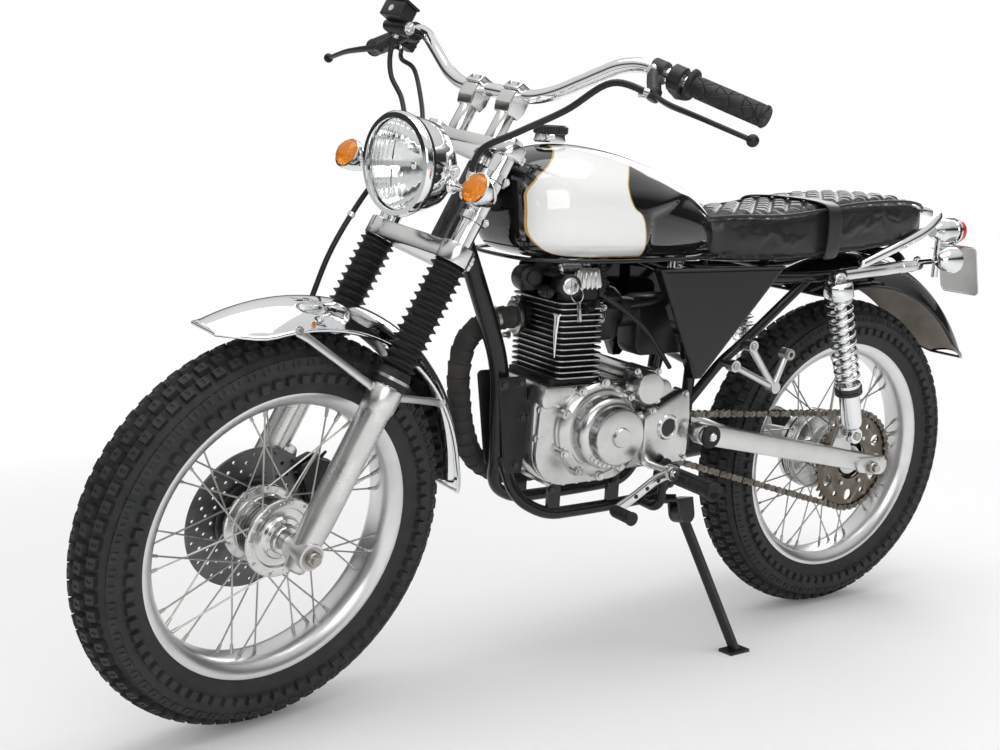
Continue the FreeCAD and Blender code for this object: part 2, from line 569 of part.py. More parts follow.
def clampPlate(bottom, top):
    height = top - bottom
    parts = [Part.makeCylinder(d.clamp_boss_radius, height, Vector(0, 0, bottom))]
    for side in (1, -1):
        parts.append(Part.makeCylinder(d.clamp_ring_radius, height, Vector(d.fork_offset, side * y_fork, bottom)))
    corners = [Vector(d.clamp_bridge_front, y_fork, bottom), Vector(d.clamp_bridge_front, -y_fork, bottom),
               Vector(d.fork_offset, -y_fork, bottom), Vector(-d.clamp_bridge_back, -d.clamp_boss_radius, bottom),
               Vector(-d.clamp_bridge_back, d.clamp_boss_radius, bottom), Vector(d.fork_offset, y_fork, bottom)]
    web = Part.Face(Part.makePolygon(corners + [corners[0]])).extrude(Vector(0, 0, height))
    whole = fused(parts + [web])
    return whole


tubes = []
gaiters = []
sliders = []
for side in (1, -1):
    foot = Vector(d.fork_offset, side * y_fork, 0)
    tubes.append(Part.makeCylinder(d.fork_tube_radius, d.fork_tube_top - d.slider_top, foot + Vector(0, 0, d.slider_top)))
    profile = []
    fold = (d.gaiter_top - d.gaiter_bottom - d.gaiter_collar_height) / d.gaiter_folds
    profile.append(Vector(d.fork_tube_radius, 0, d.gaiter_top))
    for i in range(int(d.gaiter_folds)):
        z = d.gaiter_top - i * fold
        profile.append(Vector(d.gaiter_root_radius, 0, z))
        profile.append(Vector(d.gaiter_outer_radius, 0, z - fold / 2))
    z = d.gaiter_bottom + d.gaiter_collar_height
    profile.append(Vector(d.gaiter_collar_radius, 0, z))
    profile.append(Vector(d.gaiter_collar_radius, 0, d.gaiter_bottom))
    profile.append(Vector(d.fork_tube_radius, 0, d.gaiter_bottom))
    face = Part.Face(Part.makePolygon(profile + [profile[0]]))
    gaiter = face.revolve(Vector(0, 0, 0), Vector(0, 0, 1), 360)
    gaiter.translate(Vector(foot.x, foot.y, 0))
    gaiters.append(gaiter)
    leg_line = [(0, -d.slider_tail), (d.slider_foot_radius, -d.slider_tail), (d.slider_radius, d.slider_taper),
                (d.slider_radius, d.slider_top - d.slider_collar_height - d.slider_taper / 2),
                (d.slider_collar_radius, d.slider_top - d.slider_collar_height), (d.slider_collar_radius, d.slider_top),
                (0, d.slider_top)]
    leg_line = [Vector(radius, 0, height) for radius, height in leg_line]
    leg = Part.Face(Part.makePolygon(leg_line + [leg_line[0]])).revolve(Vector(0, 0, 0), Vector(0, 0, 1), 360)
    leg.translate(Vector(foot.x, foot.y, 0))
    lug = Part.makeCylinder(d.axle_lug_radius, 2 * d.slider_radius, foot - Vector(0, d.slider_radius, 0), Vector(0, 1, 0))
    leg = fused([leg, lug]).cut(Part.makeCylinder(d.axle_radius, 4 * d.slider_radius,
                                                  foot - Vector(0, 2 * d.slider_radius, 0), Vector(0, 1, 0)))
    sliders.append(leg)
keep(shaped("ForkGaiters", apart(gaiters)), "fork_gaiters", fork)
reach = y_fork + d.slider_radius + d.axle_end_reach
axle_y = y_fork + d.slider_radius
front_pin = fused([
    Part.makeCylinder(d.axle_radius, 2 * reach, Vector(d.fork_offset, -reach, 0), Vector(0, 1, 0)),
    Part.makeCylinder(d.axle_nut_radius, d.axle_nut_width, Vector(d.fork_offset, axle_y, 0), Vector(0, 1, 0)),
    Part.makeCylinder(d.axle_nut_radius, d.axle_nut_width, Vector(d.fork_offset, -axle_y - d.axle_nut_width, 0),
                      Vector(0, 1, 0))])
spacers = []
for side in (1, -1):
    inner = d.hub_half_width + d.running_clearance
    spacers.append(Part.makeCylinder(d.spacer_radius, y_fork - d.slider_radius - inner,
                                     Vector(d.fork_offset, inner if side > 0 else -y_fork + d.slider_radius, 0),
                                     Vector(0, 1, 0)))
slider_shape = fused(sliders + [front_pin] + spacers)
keep(shaped("ForkSliders", slider_shape), "fork_sliders", fork)

# Risers and handlebar
risers = []
for side in (1, -1):
    y_mid = side * d.riser_y
    low, high = d.top_clamp_top, d.bar_z + d.riser_cap_height
    back, front = d.bar_x - d.riser_half_width, d.bar_x + d.riser_half_width
    riser_line = [(back, low), (front, low), (front, high - d.riser_chamfer), (front - d.riser_chamfer, high),
                  (back + d.riser_chamfer, high), (back, high - d.riser_chamfer)]
    riser_line = [Vector(x, y_mid - d.riser_half_width, z) for x, z in riser_line]
    block = Part.Face(Part.makePolygon(riser_line + [riser_line[0]])).extrude(Vector(0, 2 * d.riser_half_width, 0))
    risers.append(block.cut(Part.makeCylinder(d.bar_radius, 4 * d.riser_half_width,
                                              Vector(d.bar_x, y_mid - 2 * d.riser_half_width, d.bar_z), Vector(0, 1, 0))))

bar_half_shares = [
    # along x and z from the clamp, and across, all as shares of the handlebar's half width
    (0, 0, 0), (0, 0.186, 0), (0.002, 0.277, 0.033), (0.007, 0.493, 0.166), (-0.007, 0.572, 0.19), (-0.157, 1, 0.151),
]
bar_points = [(d.bar_x + x * d.bar_half_width, y * d.bar_half_width, d.bar_z + z * d.bar_half_width)
              for x, y, z in bar_half_shares]
right_points = [(x, -y, z) for x, y, z in reversed(bar_points[1:])]
bar_path = right_points + bar_points[1:]
bar_shape = tube(bar_path, d.bar_radius)
keep(shaped("Handlebar", bar_shape), "handlebar", fork)
end_a, end_b = Vector(*bar_points[-1]), Vector(*bar_points[-2])
inward = end_b - end_a
inward.normalize()


def sleeve(start, length, radius, bore_radius):
    a = end_a + inward * start
    return Part.makeCylinder(radius, length, a, inward).cut(Part.makeCylinder(bore_radius, length, a, inward))


grip = fused([sleeve(0, d.grip_length, d.grip_radius, d.bar_radius),
              sleeve(d.grip_length - d.grip_flange_width, d.grip_flange_width, d.grip_flange_radius, d.bar_radius)])
ends_shape = apart([grip, mirrored(grip)])
keep(shaped("Grips", ends_shape), "handlebar_grips", fork)
perch_start = d.grip_length + d.switch_width + 2 * d.control_gap
perch = sleeve(perch_start, d.perch_width, d.perch_radius, d.bar_radius)
switch = sleeve(d.grip_length + d.control_gap, d.switch_width, d.switch_radius, d.bar_radius)
perch_mid = end_a + inward * (perch_start + d.perch_width / 2)
lever_shares = [(0.143, 0.195, -0.289), (0.189, 0.402, -0.370), (0.143, 0.70, -0.404), (-0.026, 1.183, -0.444)]
reach_scale = d.grip_length + d.perch_width + d.switch_width
lever_points = [(perch_mid.x + reach_scale * a, perch_mid.y + reach_scale * b, perch_mid.z + reach_scale * c)
                for a, b, c in lever_shares]
lever = fused([tube(lever_points, d.lever_thick / 2), Part.makeSphere(d.lever_ball_radius, Vector(*lever_points[-1]))])
blade_mount = bar(tuple(perch_mid), lever_points[0], d.lever_thick)
perch_block = fused([perch, blade_mount.cut(Part.makeCylinder(d.bar_radius, 2 * d.perch_width,
                                                              perch_mid - inward * d.perch_width, inward)), lever])
left_shape = apart([perch_block, switch])
keep(shaped("LeftControls", left_shape), "left_controls", fork)
master_mid = Vector(perch_mid.x + d.master_forward, perch_mid.y - d.master_inset, perch_mid.z - d.master_drop)
tank_base = master_mid - Vector(d.reservoir_width / 2 - d.reservoir_lap, d.reservoir_length / 2, 0)
reservoir = Part.makeBox(d.reservoir_width, d.reservoir_length, d.reservoir_height, tank_base)
master = Part.makeCylinder(d.master_radius, d.master_length, master_mid - Vector(0, d.master_length / 2, 0),
                           Vector(0, 1, 0))
link_end = Vector(master_mid.x, perch_mid.y, master_mid.z)
link = bar(tuple(perch_mid), tuple(link_end), d.lever_thick)
link = link.cut(Part.makeCylinder(d.bar_radius, 2 * d.perch_width, perch_mid - inward * d.perch_width, inward))
right_shape = apart([mirrored(fused([perch_block.copy(), reservoir, master, link])), mirrored(switch)])
keep(shaped("RightControls", right_shape), "right_controls", fork)

# Headlight in its ears
lamp_axis = Rotation(Vector(0, 1, 0), d.rake_deg)
lamp_place = fork.multiply(Placement(Vector(d.headlight_x, 0, d.headlight_z), lamp_axis))
bowl = []
steps = 6
for i in range(steps + 1):
    a = math.pi / 2 * i / steps
    bowl.append(Vector(-d.headlight_depth * math.cos(a), 0, d.headlight_radius * math.sin(a)))
bowl.append(Vector(0, 0, d.headlight_ring_radius))
bowl.append(Vector(d.headlight_ring_width, 0, d.headlight_ring_radius))
inner = []
for i in range(steps + 1):
    a = math.pi / 2 * i / steps
    inner.append(Vector(-(d.headlight_depth - d.headlight_wall) * math.cos(a), 0,
                        (d.headlight_radius - d.headlight_wall) * math.sin(a)))
inner.append(Vector(d.headlight_ring_width + d.lens_wall, 0, d.headlight_radius - d.headlight_wall))
shell = Part.Face(Part.makePolygon(bowl + inner[::-1] + [bowl[0]])).revolve(Vector(0, 0, 0), Vector(1, 0, 0), 360)
lugs = []
for side in (1, -1):
    lugs.append(Part.makeCylinder(d.lamp_lug_radius, d.lamp_ear_y - d.lamp_ear_wall / 2 - d.headlight_radius + d.headlight_wall,
                                  Vector(-2 * d.lamp_lug_radius, side * (d.headlight_radius - d.headlight_wall), 0),
                                  Vector(0, side, 0)))
keep(shaped("Headlight", fused([shell] + lugs)), "headlight", lamp_place)
lens_r = d.headlight_radius - d.headlight_wall
ball_r = (lens_r * lens_r + d.lens_bulge * d.lens_bulge) / (2 * d.lens_bulge)
x_rim = d.headlight_ring_width - d.lens_wall
dome = Part.makeSphere(ball_r, Vector(x_rim + d.lens_bulge - ball_r, 0, 0))
hollow = Part.makeSphere(ball_r - d.lens_wall, Vector(x_rim + d.lens_bulge - ball_r, 0, 0))
slab = Part.makeCylinder(lens_r, d.lens_bulge + d.lens_wall, Vector(x_rim, 0, 0), Vector(1, 0, 0))
keep(shaped("HeadlightLens", dome.common(slab).cut(hollow)), "headlight_lens", lamp_place)

ears = []
for side in (1, -1):
    y_in = d.lamp_ear_y - d.lamp_ear_wall / 2
    corners = [Vector(d.fork_offset - d.fork_tube_radius, y_in, d.lamp_ear_top), Vector(d.lamp_ear_front, y_in, d.headlight_z + d.lamp_ear_height / 2),
               Vector(d.lamp_ear_front, y_in, d.headlight_z - d.lamp_ear_height / 2),
               Vector(d.fork_offset - d.fork_tube_radius, y_in, d.lamp_ear_bottom)]
    plate = Part.Face(Part.makePolygon(corners + [corners[0]])).extrude(Vector(0, d.lamp_ear_wall, 0))
    band = Part.makeCylinder(d.fork_tube_radius + d.lamp_ear_wall, d.lamp_ear_top - d.lamp_ear_bottom,
                             Vector(d.fork_offset, y_fork, d.lamp_ear_bottom))
    ear = fused([plate, band]).cut(Part.makeCylinder(d.fork_tube_radius, d.lamp_ear_top - d.lamp_ear_bottom + 2 * d.cut_overrun,
                                                     Vector(d.fork_offset, y_fork, d.lamp_ear_bottom - d.cut_overrun)))
    for hole_z in (d.headlight_z - d.ear_hole_step / 2, d.headlight_z + d.ear_hole_step / 2):
        ear = ear.cut(Part.makeCylinder(d.ear_hole_radius, 4 * d.lamp_ear_wall,
                                        Vector(d.fork_offset + d.ear_hole_step * 1.5, y_in - d.lamp_ear_wall, hole_z), Vector(0, 1, 0)))
    ears.append(ear if side > 0 else mirrored(ear))
crown = [clampPlate(d.lower_clamp_bottom, d.lower_clamp_top), clampPlate(d.top_clamp_bottom, d.top_clamp_top), stem, nut]
crown_shape = fused(crown + tubes + risers + ears)
keep(shaped("ForkCrown", crown_shape), "fork_crown", fork)

def signalGlobe(way):
    # a lamp body that widens to a rimmed, domed lens, facing along x or against it
    half = d.signal_length / 2
    globe = turnedX([(-half, 0), (-half, d.signal_neck_radius), (0, d.signal_radius),
                     (half - d.signal_rim_width, d.signal_rim_radius), (half, d.signal_rim_radius),
                     (half + d.signal_bulge / 2, d.signal_radius - d.signal_bulge / 2), (half + d.signal_bulge, 0)])
    if way < 0:
        globe.rotate(Vector(0, 0, 0), Vector(0, 0, 1), 180)
    return globe


stalk_base = d.lamp_ear_y + d.lamp_ear_wall / 2
globe = signalGlobe(1)
globe.translate(Vector(d.front_signal_x, d.front_signal_y, d.front_signal_z))
signal = fused([
    Part.makeCylinder(d.signal_stalk_radius, d.front_signal_y - stalk_base,
                      Vector(d.front_signal_x, stalk_base, d.front_signal_z), Vector(0, 1, 0)), globe])
keep(shaped("FrontSignals", apart([signal, mirrored(signal)])), "front_indicators", fork)


# Mudguards: a shallow arched section turned about the axle
def guard(crown, edge, half, wall, start_deg, end_deg):
    outer_arc = Part.Arc(Vector(edge, -half, 0), Vector(crown, 0, 0), Vector(edge, half, 0)).toShape()
    inner_arc = Part.Arc(Vector(edge, -half + wall, 0), Vector(crown - wall, 0, 0), Vector(edge, half - wall, 0)).toShape()
    a = Part.LineSegment(Vector(edge, -half, 0), Vector(edge, -half + wall, 0)).toShape()
    b = Part.LineSegment(Vector(edge, half, 0), Vector(edge, half - wall, 0)).toShape()
    face = Part.Face(Part.Wire(Part.__sortEdges__([outer_arc, a, inner_arc, b])))
    solid = face.revolve(Vector(0, 0, 0), Vector(0, -1, 0), end_deg - start_deg)
    solid.rotate(Vector(0, 0, 0), Vector(0, -1, 0), start_deg)
    return solid


front_guard = guard(d.fender_radius, d.fender_edge_radius, d.fender_half_width, d.fender_wall, d.fender_front_deg,
                    d.fender_rear_deg)
rear_guard = guard(d.rear_fender_radius, d.rear_fender_edge_radius, d.rear_fender_half_width, d.fender_wall,
                   d.rear_fender_front_deg, d.rear_fender_rear_deg)
keep(shaped("RearMudguard", rear_guard), "rear_mudguard", lean)

stay_shares = [((0.466, 0.149, 0.776), (0.040, 0.238, 0.712)), ((-0.040, 0.238, 0.712), (-0.412, 0.149, 0.796))]
stays = []
for a, b in stay_shares:
    p = [(d.fender_radius * v[0], d.fender_radius * v[1], d.fender_radius * v[2]) for v in (a, b)]
    stays.append(bar(p[0], p[1], d.stay_radius))
stays += [mirrored(s) for s in stays]
slider_here = slider_shape.copy()
slider_here.translate(Vector(-d.fork_offset, 0, 0))
gaiter_here = apart(gaiters)
gaiter_here.translate(Vector(-d.fork_offset, 0, 0))
keep(shaped("FrontMudguard", fused([front_guard] + [s.cut(slider_here).cut(gaiter_here) for s in stays])), "front_mudguard",
     front_axle)

end, cut = d.caliper_length / 2, d.caliper_chamfer
caliper_line = [(-end, 0), (end, 0), (end, d.caliper_height - cut), (end - cut, d.caliper_height),
                (cut - end, d.caliper_height), (-end, d.caliper_height - cut)]
caliper_line = [Vector(x, -d.disc_inner_y - d.disc_width / 2 - d.caliper_half_width, z) for x, z in caliper_line]
caliper = Part.Face(Part.makePolygon(caliper_line + [caliper_line[0]])).extrude(Vector(0, 2 * d.caliper_half_width, 0))
lug = Part.makeBox(d.caliper_length, d.caliper_lug, d.caliper_lug,
                   Vector(0, -d.disc_inner_y - d.disc_width / 2 - d.caliper_half_width, d.caliper_height / 2 - d.caliper_lug / 2))
caliper = caliper.fuse(lug)
slot = Part.makeBox(d.caliper_length * 2, d.caliper_slot, d.caliper_height,
                    Vector(-d.caliper_length, -d.disc_inner_y - d.disc_width / 2 - d.caliper_slot / 2, -d.cut_overrun))
caliper = caliper.cut(slot)
caliper.rotate(Vector(0, 0, 0), Vector(0, 1, 0), 90 - d.caliper_deg)
ray = math.radians(d.caliper_deg)
caliper.translate(Vector(d.caliper_reach * math.cos(ray), 0, d.caliper_reach * math.sin(ray)))
keep(shaped("Caliper", caliper.cut(slider_here)), "brake_caliper", front_axle)

# Cables and hose
clutch_run = [lever_points[0], (88, 262, 826), (90, 205, 770), (112, 158, 712), (126, 118, 666), (96, 90, 628)]
throttle_run = [(23, -318, 862), (27, -296, 832), (36, -236, 812), (36, -180, 760), (40, -140, 715), (46, -108, 664)]
hose_run = [(74, -282, 864), (64, -282, 822), (54, -262, 784), (42, -222, 752), (50, -176, 708), (84, -138, 662),
            (88, -122, 600), (96, -123, 542), (101, -124, 486), (100, -126, 434), (94, -125, 380), (86, -122, 322),
            (72, -121, 268), (50, -120, 222)]
held_by = [left_shape, right_shape, crown_shape, ends_shape]
cables = []
for run, radius in ((clutch_run, d.cable_radius), (throttle_run, d.cable_radius), (hose_run, d.hose_radius)):
    cable = tube(run, radius)
    for other in held_by:
        cable = cable.cut(other)
    cables.append(max(cable.Solids, key=lambda solid: solid.Volume))
keep(shaped("Cables", apart(cables)), "control_cables", fork)

# Frame
axis_up = head_frame.Rotation.multVec(Vector(0, 0, 1))


def onAxis(z):
    return head_frame.multVec(Vector(0, 0, z))


head_tube = Part.makeCylinder(d.head_tube_radius, d.head_tube_top - d.head_tube_bottom, onAxis(d.head_tube_bottom), axis_up)
head_bore = Part.makeCylinder(d.stem_radius + d.running_clearance, d.head_tube_top - d.head_tube_bottom + 2 * d.cut_overrun,
                              onAxis(d.head_tube_bottom) - axis_up * d.cut_overrun, axis_up)
backbone_shares = [(0.6, 0.0, 0.9528), (0.47, 0.0, 0.8396), (0.35, 0.0, 0.75)]
downtube_shares = [(0.69, 0.0, 0.6368), (0.66, 0.0, 0.4481), (0.656, 0.0, 0.1061)]
cradle_shares = [(0.656, 0.125, 0.1415), (0.645, 0.374, 0.0118), (0.6, 0.548, -0.0519), (0.5, 0.548, -0.0519),
                 (0.395, 0.548, -0.0425), (0.362, 0.548, 0.0708), (0.352, 0.548, 0.4009), (0.341, 0.424, 0.6604),
                 (0.335, 0.299, 0.75)]
rail_shares = [(0.372, 0.174, 0.7618), (0.34, 0.723, 0.7453), (0.24, 0.997, 0.7382), (0.125, 0.997, 0.7347),
               (-0.088, 0.997, 0.7736)]
strut_shares = [(0.352, 0.573, 0.2948), (0.316, 0.847, 0.441), (0.284, 0.959, 0.5071), (0.165, 0.997, 0.7264)]


def places(shares, side=1):
    return [(d.wheelbase * x, side * d.tail_rail_y * y, d.frame_height * z) for x, y, z in shares]


def backboneHeight(x):
    points = [(a, c) for a, b, c in backbone_points]
    for (x0, z0), (x1, z1) in zip(points, points[1:]):
        if x1 <= x <= x0:
            return z0 + (z1 - z0) * (x0 - x) / (x0 - x1)
    return points[0][1]


backbone_points = [tuple(onAxis(d.backbone_root_z))] + places(backbone_shares)
downtube_root = head_frame.multVec(Vector(-d.downtube_radius, 0, d.downtube_root_z))
downtube_points = [tuple(downtube_root)] + places(downtube_shares)
downtube_low_x = downtube_points[-1][0]
cradle_y, cradle_z = places(cradle_shares)[3][1:]
rail_end_z = places(rail_shares)[-1][2]
members = [head_tube, tube(backbone_points, d.backbone_radius), tube(downtube_points, d.downtube_radius)]
for side in (1, -1):
    members.append(tube(places(cradle_shares, side), d.rail_radius))
    members.append(tube(places(rail_shares, side), d.rail_radius))
    members.append(tube(places(strut_shares, side), d.strut_radius))
cross_z = math.sqrt(d.rear_fender_radius ** 2 - d.tail_rail_back ** 2) + d.strut_radius + d.seat_gap
members.append(tube([(d.tail_rail_back, -d.tail_rail_y, d.tail_rail_back_z), (d.tail_rail_back, -d.cross_inset_y, cross_z),
                     (d.tail_rail_back, d.cross_inset_y, cross_z), (d.tail_rail_back, d.tail_rail_y, d.tail_rail_back_z)],
                    d.strut_radius))
seat_bar_z = d.seat_bottom - d.seat_gap - d.strut_radius
members.append(tube([(d.seat_bar_x, -d.tail_rail_y, d.tail_rail_z), (d.seat_bar_x, -d.cross_inset_y, seat_bar_z),
                     (d.seat_bar_x, d.cross_inset_y, seat_bar_z), (d.seat_bar_x, d.tail_rail_y, d.tail_rail_z)],
                    d.strut_radius))
pad_y = d.tunnel_half_width - d.running_clearance
for x in (d.tank_front_pad_x, d.tank_back_pad_x):
    z = backboneHeight(x)
    members.append(Part.makeCylinder(d.tank_pad_radius, 2 * pad_y, Vector(x, -pad_y, z), Vector(0, 1, 0)))
for side in (1, -1):
    members.append(Part.makeCylinder(d.shock_rod_radius, d.shock_y - d.tail_rail_y + d.shock_eye_width / 2,
                                     Vector(d.shock_top_x, side * d.tail_rail_y, d.shock_top_z), Vector(0, side, 0)))
    for low_x in (d.lug_front_x, d.lug_back_x):
        members.append(Part.makeBox(d.lug_length, d.lug_wall, d.case_bottom - cradle_z,
                                    Vector(low_x, side * cradle_y - d.lug_wall / 2, cradle_z)))
    members.append(Part.makeBox(downtube_low_x - d.case_front, d.lug_wall, d.mount_top - d.mount_bottom,
                                Vector(d.case_front, side * d.mount_y - d.lug_wall / 2, d.mount_bottom)))
    members.append(Part.makeBox(d.pivot_lug_length, d.plate_wall, d.pivot_lug_height,
                                Vector(d.pivot_x - d.pivot_lug_length / 2, side * d.plate_y - d.plate_wall / 2,
                                       d.pivot_z - d.pivot_lug_height / 2)))
stand_place = Placement(Vector(d.stand_pivot_x, d.stand_pivot_y, d.stand_pivot_z), Rotation(Vector(1, 0, 0), d.stand_tilt_deg))
ear_step = d.stand_leg_radius + d.stand_ear_gap
bracket = []
for y in (ear_step, -ear_step - d.stand_ear_wall):
    bracket.append(Part.makeCylinder(d.stand_lug_radius, d.stand_ear_wall, Vector(0, y, 0), Vector(0, 1, 0)))
    bracket.append(Part.makeBox(2 * d.stand_lug_radius, d.stand_ear_wall, d.stand_web_height,
                                Vector(-d.stand_lug_radius, y, 0)))
outer_y = ear_step + d.stand_ear_wall
bracket.append(Part.makeBox(2 * d.stand_lug_radius, 2 * outer_y, d.stand_ear_wall,
                            Vector(-d.stand_lug_radius, -outer_y, d.stand_web_height - d.stand_ear_wall)))
bracket.append(Part.makeCylinder(d.stand_bolt_radius, 2 * outer_y, Vector(0, -outer_y, 0), Vector(0, 1, 0)))
bracket = fused(bracket)
bracket.Placement = stand_place
web_top = stand_place.multVec(Vector(0, -ear_step, d.stand_web_height - d.stand_ear_wall / 2))
members.append(bracket)
members.append(bar((d.stand_root_x, cradle_y, cradle_z), tuple(web_top), d.strut_radius))
frame_shape = fused(members).cut(head_bore)
pivot_hole = Part.makeCylinder(d.pivot_radius, 4 * d.arm_outer_y, Vector(d.pivot_x, -2 * d.arm_outer_y, d.pivot_z),
                               Vector(0, 1, 0))
keep(shaped("FrameTubes", frame_shape.cut(pivot_hole)), "frame_tubes", lean)

# Engine
case = doc.addObject("PartDesign::Body", "CaseBlock")
case_side = outline(case, "CaseSide", "XZ_Plane", [
    ("case_back", "case_bottom"), ("case_front - case_chamfer", "case_bottom"),
    ("case_front", "case_bottom + case_chamfer"), ("case_front", "case_top - case_round"),
    ("case_front - case_round", "case_top"), ("case_back", "case_top")])
doc.recompute()
case_pad = case.newObject("PartDesign::Pad", "CasePad")
case_pad.Profile = case_side
case_pad.setExpression("Length", bound("2 * case_half_width"))
case_pad.Midplane = True
doc.recompute()
gearbox = box("GearboxBlock", ("gearbox_back", "case_back"), ("-case_half_width", "gearbox_left"), ("case_bottom", "case_top"))
face_y = d.alternator_face_y
alternator = shaped("AlternatorCover", turnedY([
    (0, d.case_half_width), (d.alternator_housing, d.case_half_width), (d.alternator_housing, d.alternator_step_y - d.alternator_edge),
    (d.alternator_housing - d.alternator_edge, d.alternator_step_y), (d.alternator_ring, d.alternator_step_y),
    (d.alternator_ring, face_y - d.alternator_edge), (d.alternator_ring - d.alternator_edge, face_y),
    (d.alternator_boss_radius, face_y), (d.alternator_boss_radius, face_y + d.alternator_boss_rise),
    (0, face_y + d.alternator_boss_rise)]))
alternator.Placement.Base = Vector(d.alternator_x, 0, d.alternator_z)
starter = shaped("StarterCover", turnedY([
    (0, d.case_half_width), (d.starter_radius, d.case_half_width), (d.starter_radius, d.starter_face_y - d.starter_edge),
    (d.starter_radius - d.starter_edge, d.starter_face_y), (0, d.starter_face_y)]))
starter.Placement.Base = Vector(d.starter_x, 0, d.starter_z)
motor = rod("StarterMotor", "y", ("starter_x - motor_x_step", "-motor_reach_y", "case_top + motor_radius / 2"),
            "motor_radius", "2 * motor_reach_y")
cover_low, cover_high = d.front_sprocket_z - d.sprocket_cover_radius, d.front_sprocket_z + d.sprocket_cover_radius
cover_front = d.case_back + d.case_round
cover_line = [(d.gearbox_back + d.cover_corner, cover_low), (cover_front, cover_low), (cover_front, cover_high),
              (d.gearbox_back + d.cover_corner, cover_high), (d.gearbox_back, cover_high - d.cover_corner),
              (d.gearbox_back, cover_low + d.cover_corner)]
cover_line = [Vector(x, d.sprocket_cover_inner_y, z) for x, z in cover_line]
cover_plate = Part.Face(Part.makePolygon(cover_line + [cover_line[0]])).extrude(
    Vector(0, d.sprocket_cover_face_y - d.sprocket_cover_inner_y, 0))
window_x = d.case_back - d.window_step
window = Part.makeCylinder(d.window_radius, d.window_rise, Vector(window_x, d.sprocket_cover_face_y, d.window_z), Vector(0, 1, 0))
window = window.cut(Part.makeCylinder(d.window_radius - d.window_wall, d.window_rise,
                                      Vector(window_x, d.sprocket_cover_face_y + d.window_rise / 2, d.window_z), Vector(0, 1, 0)))
chain_cover = shaped("ChainCover", fused([cover_plate, window]))
cover_bridge = box("CoverBridge", ("case_back", "case_back + case_round"), ("case_half_width", "sprocket_cover_face_y"),
                   ("front_sprocket_z - sprocket_cover_radius", "front_sprocket_z + sprocket_cover_radius"))
right_cover = rod("RightCover", "y", ("alternator_x", "-right_cover_face_y", "alternator_z"), "right_cover_radius",
                  "right_cover_face_y - case_half_width")
keep(joined("Crankcase", [case, gearbox, alternator, starter, motor, chain_cover, cover_bridge, right_cover]),
     "engine_case", lean)

cylinder = doc.addObject("PartDesign::Body", "Cylinder")
core = outline(cylinder, "BarrelSection", "XY_Plane", [
    ("cylinder_back + fin_core_inset", "-cylinder_half_width + fin_core_inset"),
    ("cylinder_front - fin_core_inset", "-cylinder_half_width + fin_core_inset"),
    ("cylinder_front - fin_core_inset", "cylinder_half_width - fin_core_inset"),
    ("cylinder_back + fin_core_inset", "cylinder_half_width - fin_core_inset"),
])
core.setExpression("AttachmentOffset.Base.z", bound("cylinder_base"))
doc.recompute()
barrel = cylinder.newObject("PartDesign::Pad", "Barrel")
barrel.Profile = core
barrel.setExpression("Length", bound("head_top - cylinder_base"))
doc.recompute()
fin_outline = outline(cylinder, "FinSection", "XY_Plane", [
    ("cylinder_back + fin_corner", "-cylinder_half_width"),
    ("cylinder_front - fin_corner", "-cylinder_half_width"),
    ("cylinder_front", "-cylinder_half_width + fin_corner"),
    ("cylinder_front", "cylinder_half_width - fin_corner"),
    ("cylinder_front - fin_corner", "cylinder_half_width"),
    ("cylinder_back + fin_corner", "cylinder_half_width"),
    ("cylinder_back", "cylinder_half_width - fin_corner"),
    ("cylinder_back", "-cylinder_half_width + fin_corner"),
])
fin_outline.setExpression("AttachmentOffset.Base.z", bound("fin_first_z"))
doc.recompute()
fin = cylinder.newObject("PartDesign::Pad", "Fin")
fin.Profile = fin_outline
fin.setExpression("Length", bound("fin_wall"))
doc.recompute()
fins = cylinder.newObject("PartDesign::LinearPattern", "Fins")
fins.Originals = [fin]
fins.Direction = (planeOf(cylinder, "Z_Axis"), [""])
fins.setExpression("Length", bound("fin_pitch * (fin_count - 1)"))
fins.setExpression("Occurrences", bound("fin_count"))
cylinder.Tip = fins
doc.recompute()
keep(cylinder, "engine_cylinder", lean)
head_plate = box("HeadPlate", ("head_cover_back", "head_cover_front"), ("-head_cover_half_width", "head_cover_half_width"),
                 ("head_top", "head_cover_top - drum_wall"))
head_ridge = box("HeadRidge", ("head_cover_back + head_inset", "head_cover_front - head_inset"),
                 ("-head_cover_half_width + head_inset", "head_cover_half_width - head_inset"), ("head_top", "head_cover_top"))
rib_step = "(head_cover_front - head_cover_back - 2 * head_inset - head_rib_width) / (head_rib_count - 1)"
ribs = [box("HeadRib%d" % i, ("head_cover_back + head_inset + %d * %s" % (i, rib_step),
                              "head_cover_back + head_inset + head_rib_width + %d * %s" % (i, rib_step)),
            ("-head_cover_half_width", "head_cover_half_width"), ("head_top", "head_cover_top + head_rib_height"))
        for i in range(int(d.head_rib_count))]
keep(joined("HeadCover", [head_plate, head_ridge] + ribs), "engine_head_cover", lean)
carb_body = rod("CarbBody", "x", ("cylinder_back - carb_length", "0", "carb_z"), "carb_radius", "carb_length")
carb_bowl = rod("CarbBowl", "z", ("carb_x", "0", "carb_z - carb_bowl_depth"), "carb_bowl_radius", "carb_bowl_depth + carb_bowl_radius")
airbox = box("AirBox", ("airbox_back", "airbox_front"), ("-airbox_half_width", "airbox_half_width"),
             ("airbox_bottom", "airbox_top"))
keep(joined("Carburettor", [carb_body, carb_bowl, airbox]), "carburettor", lean)

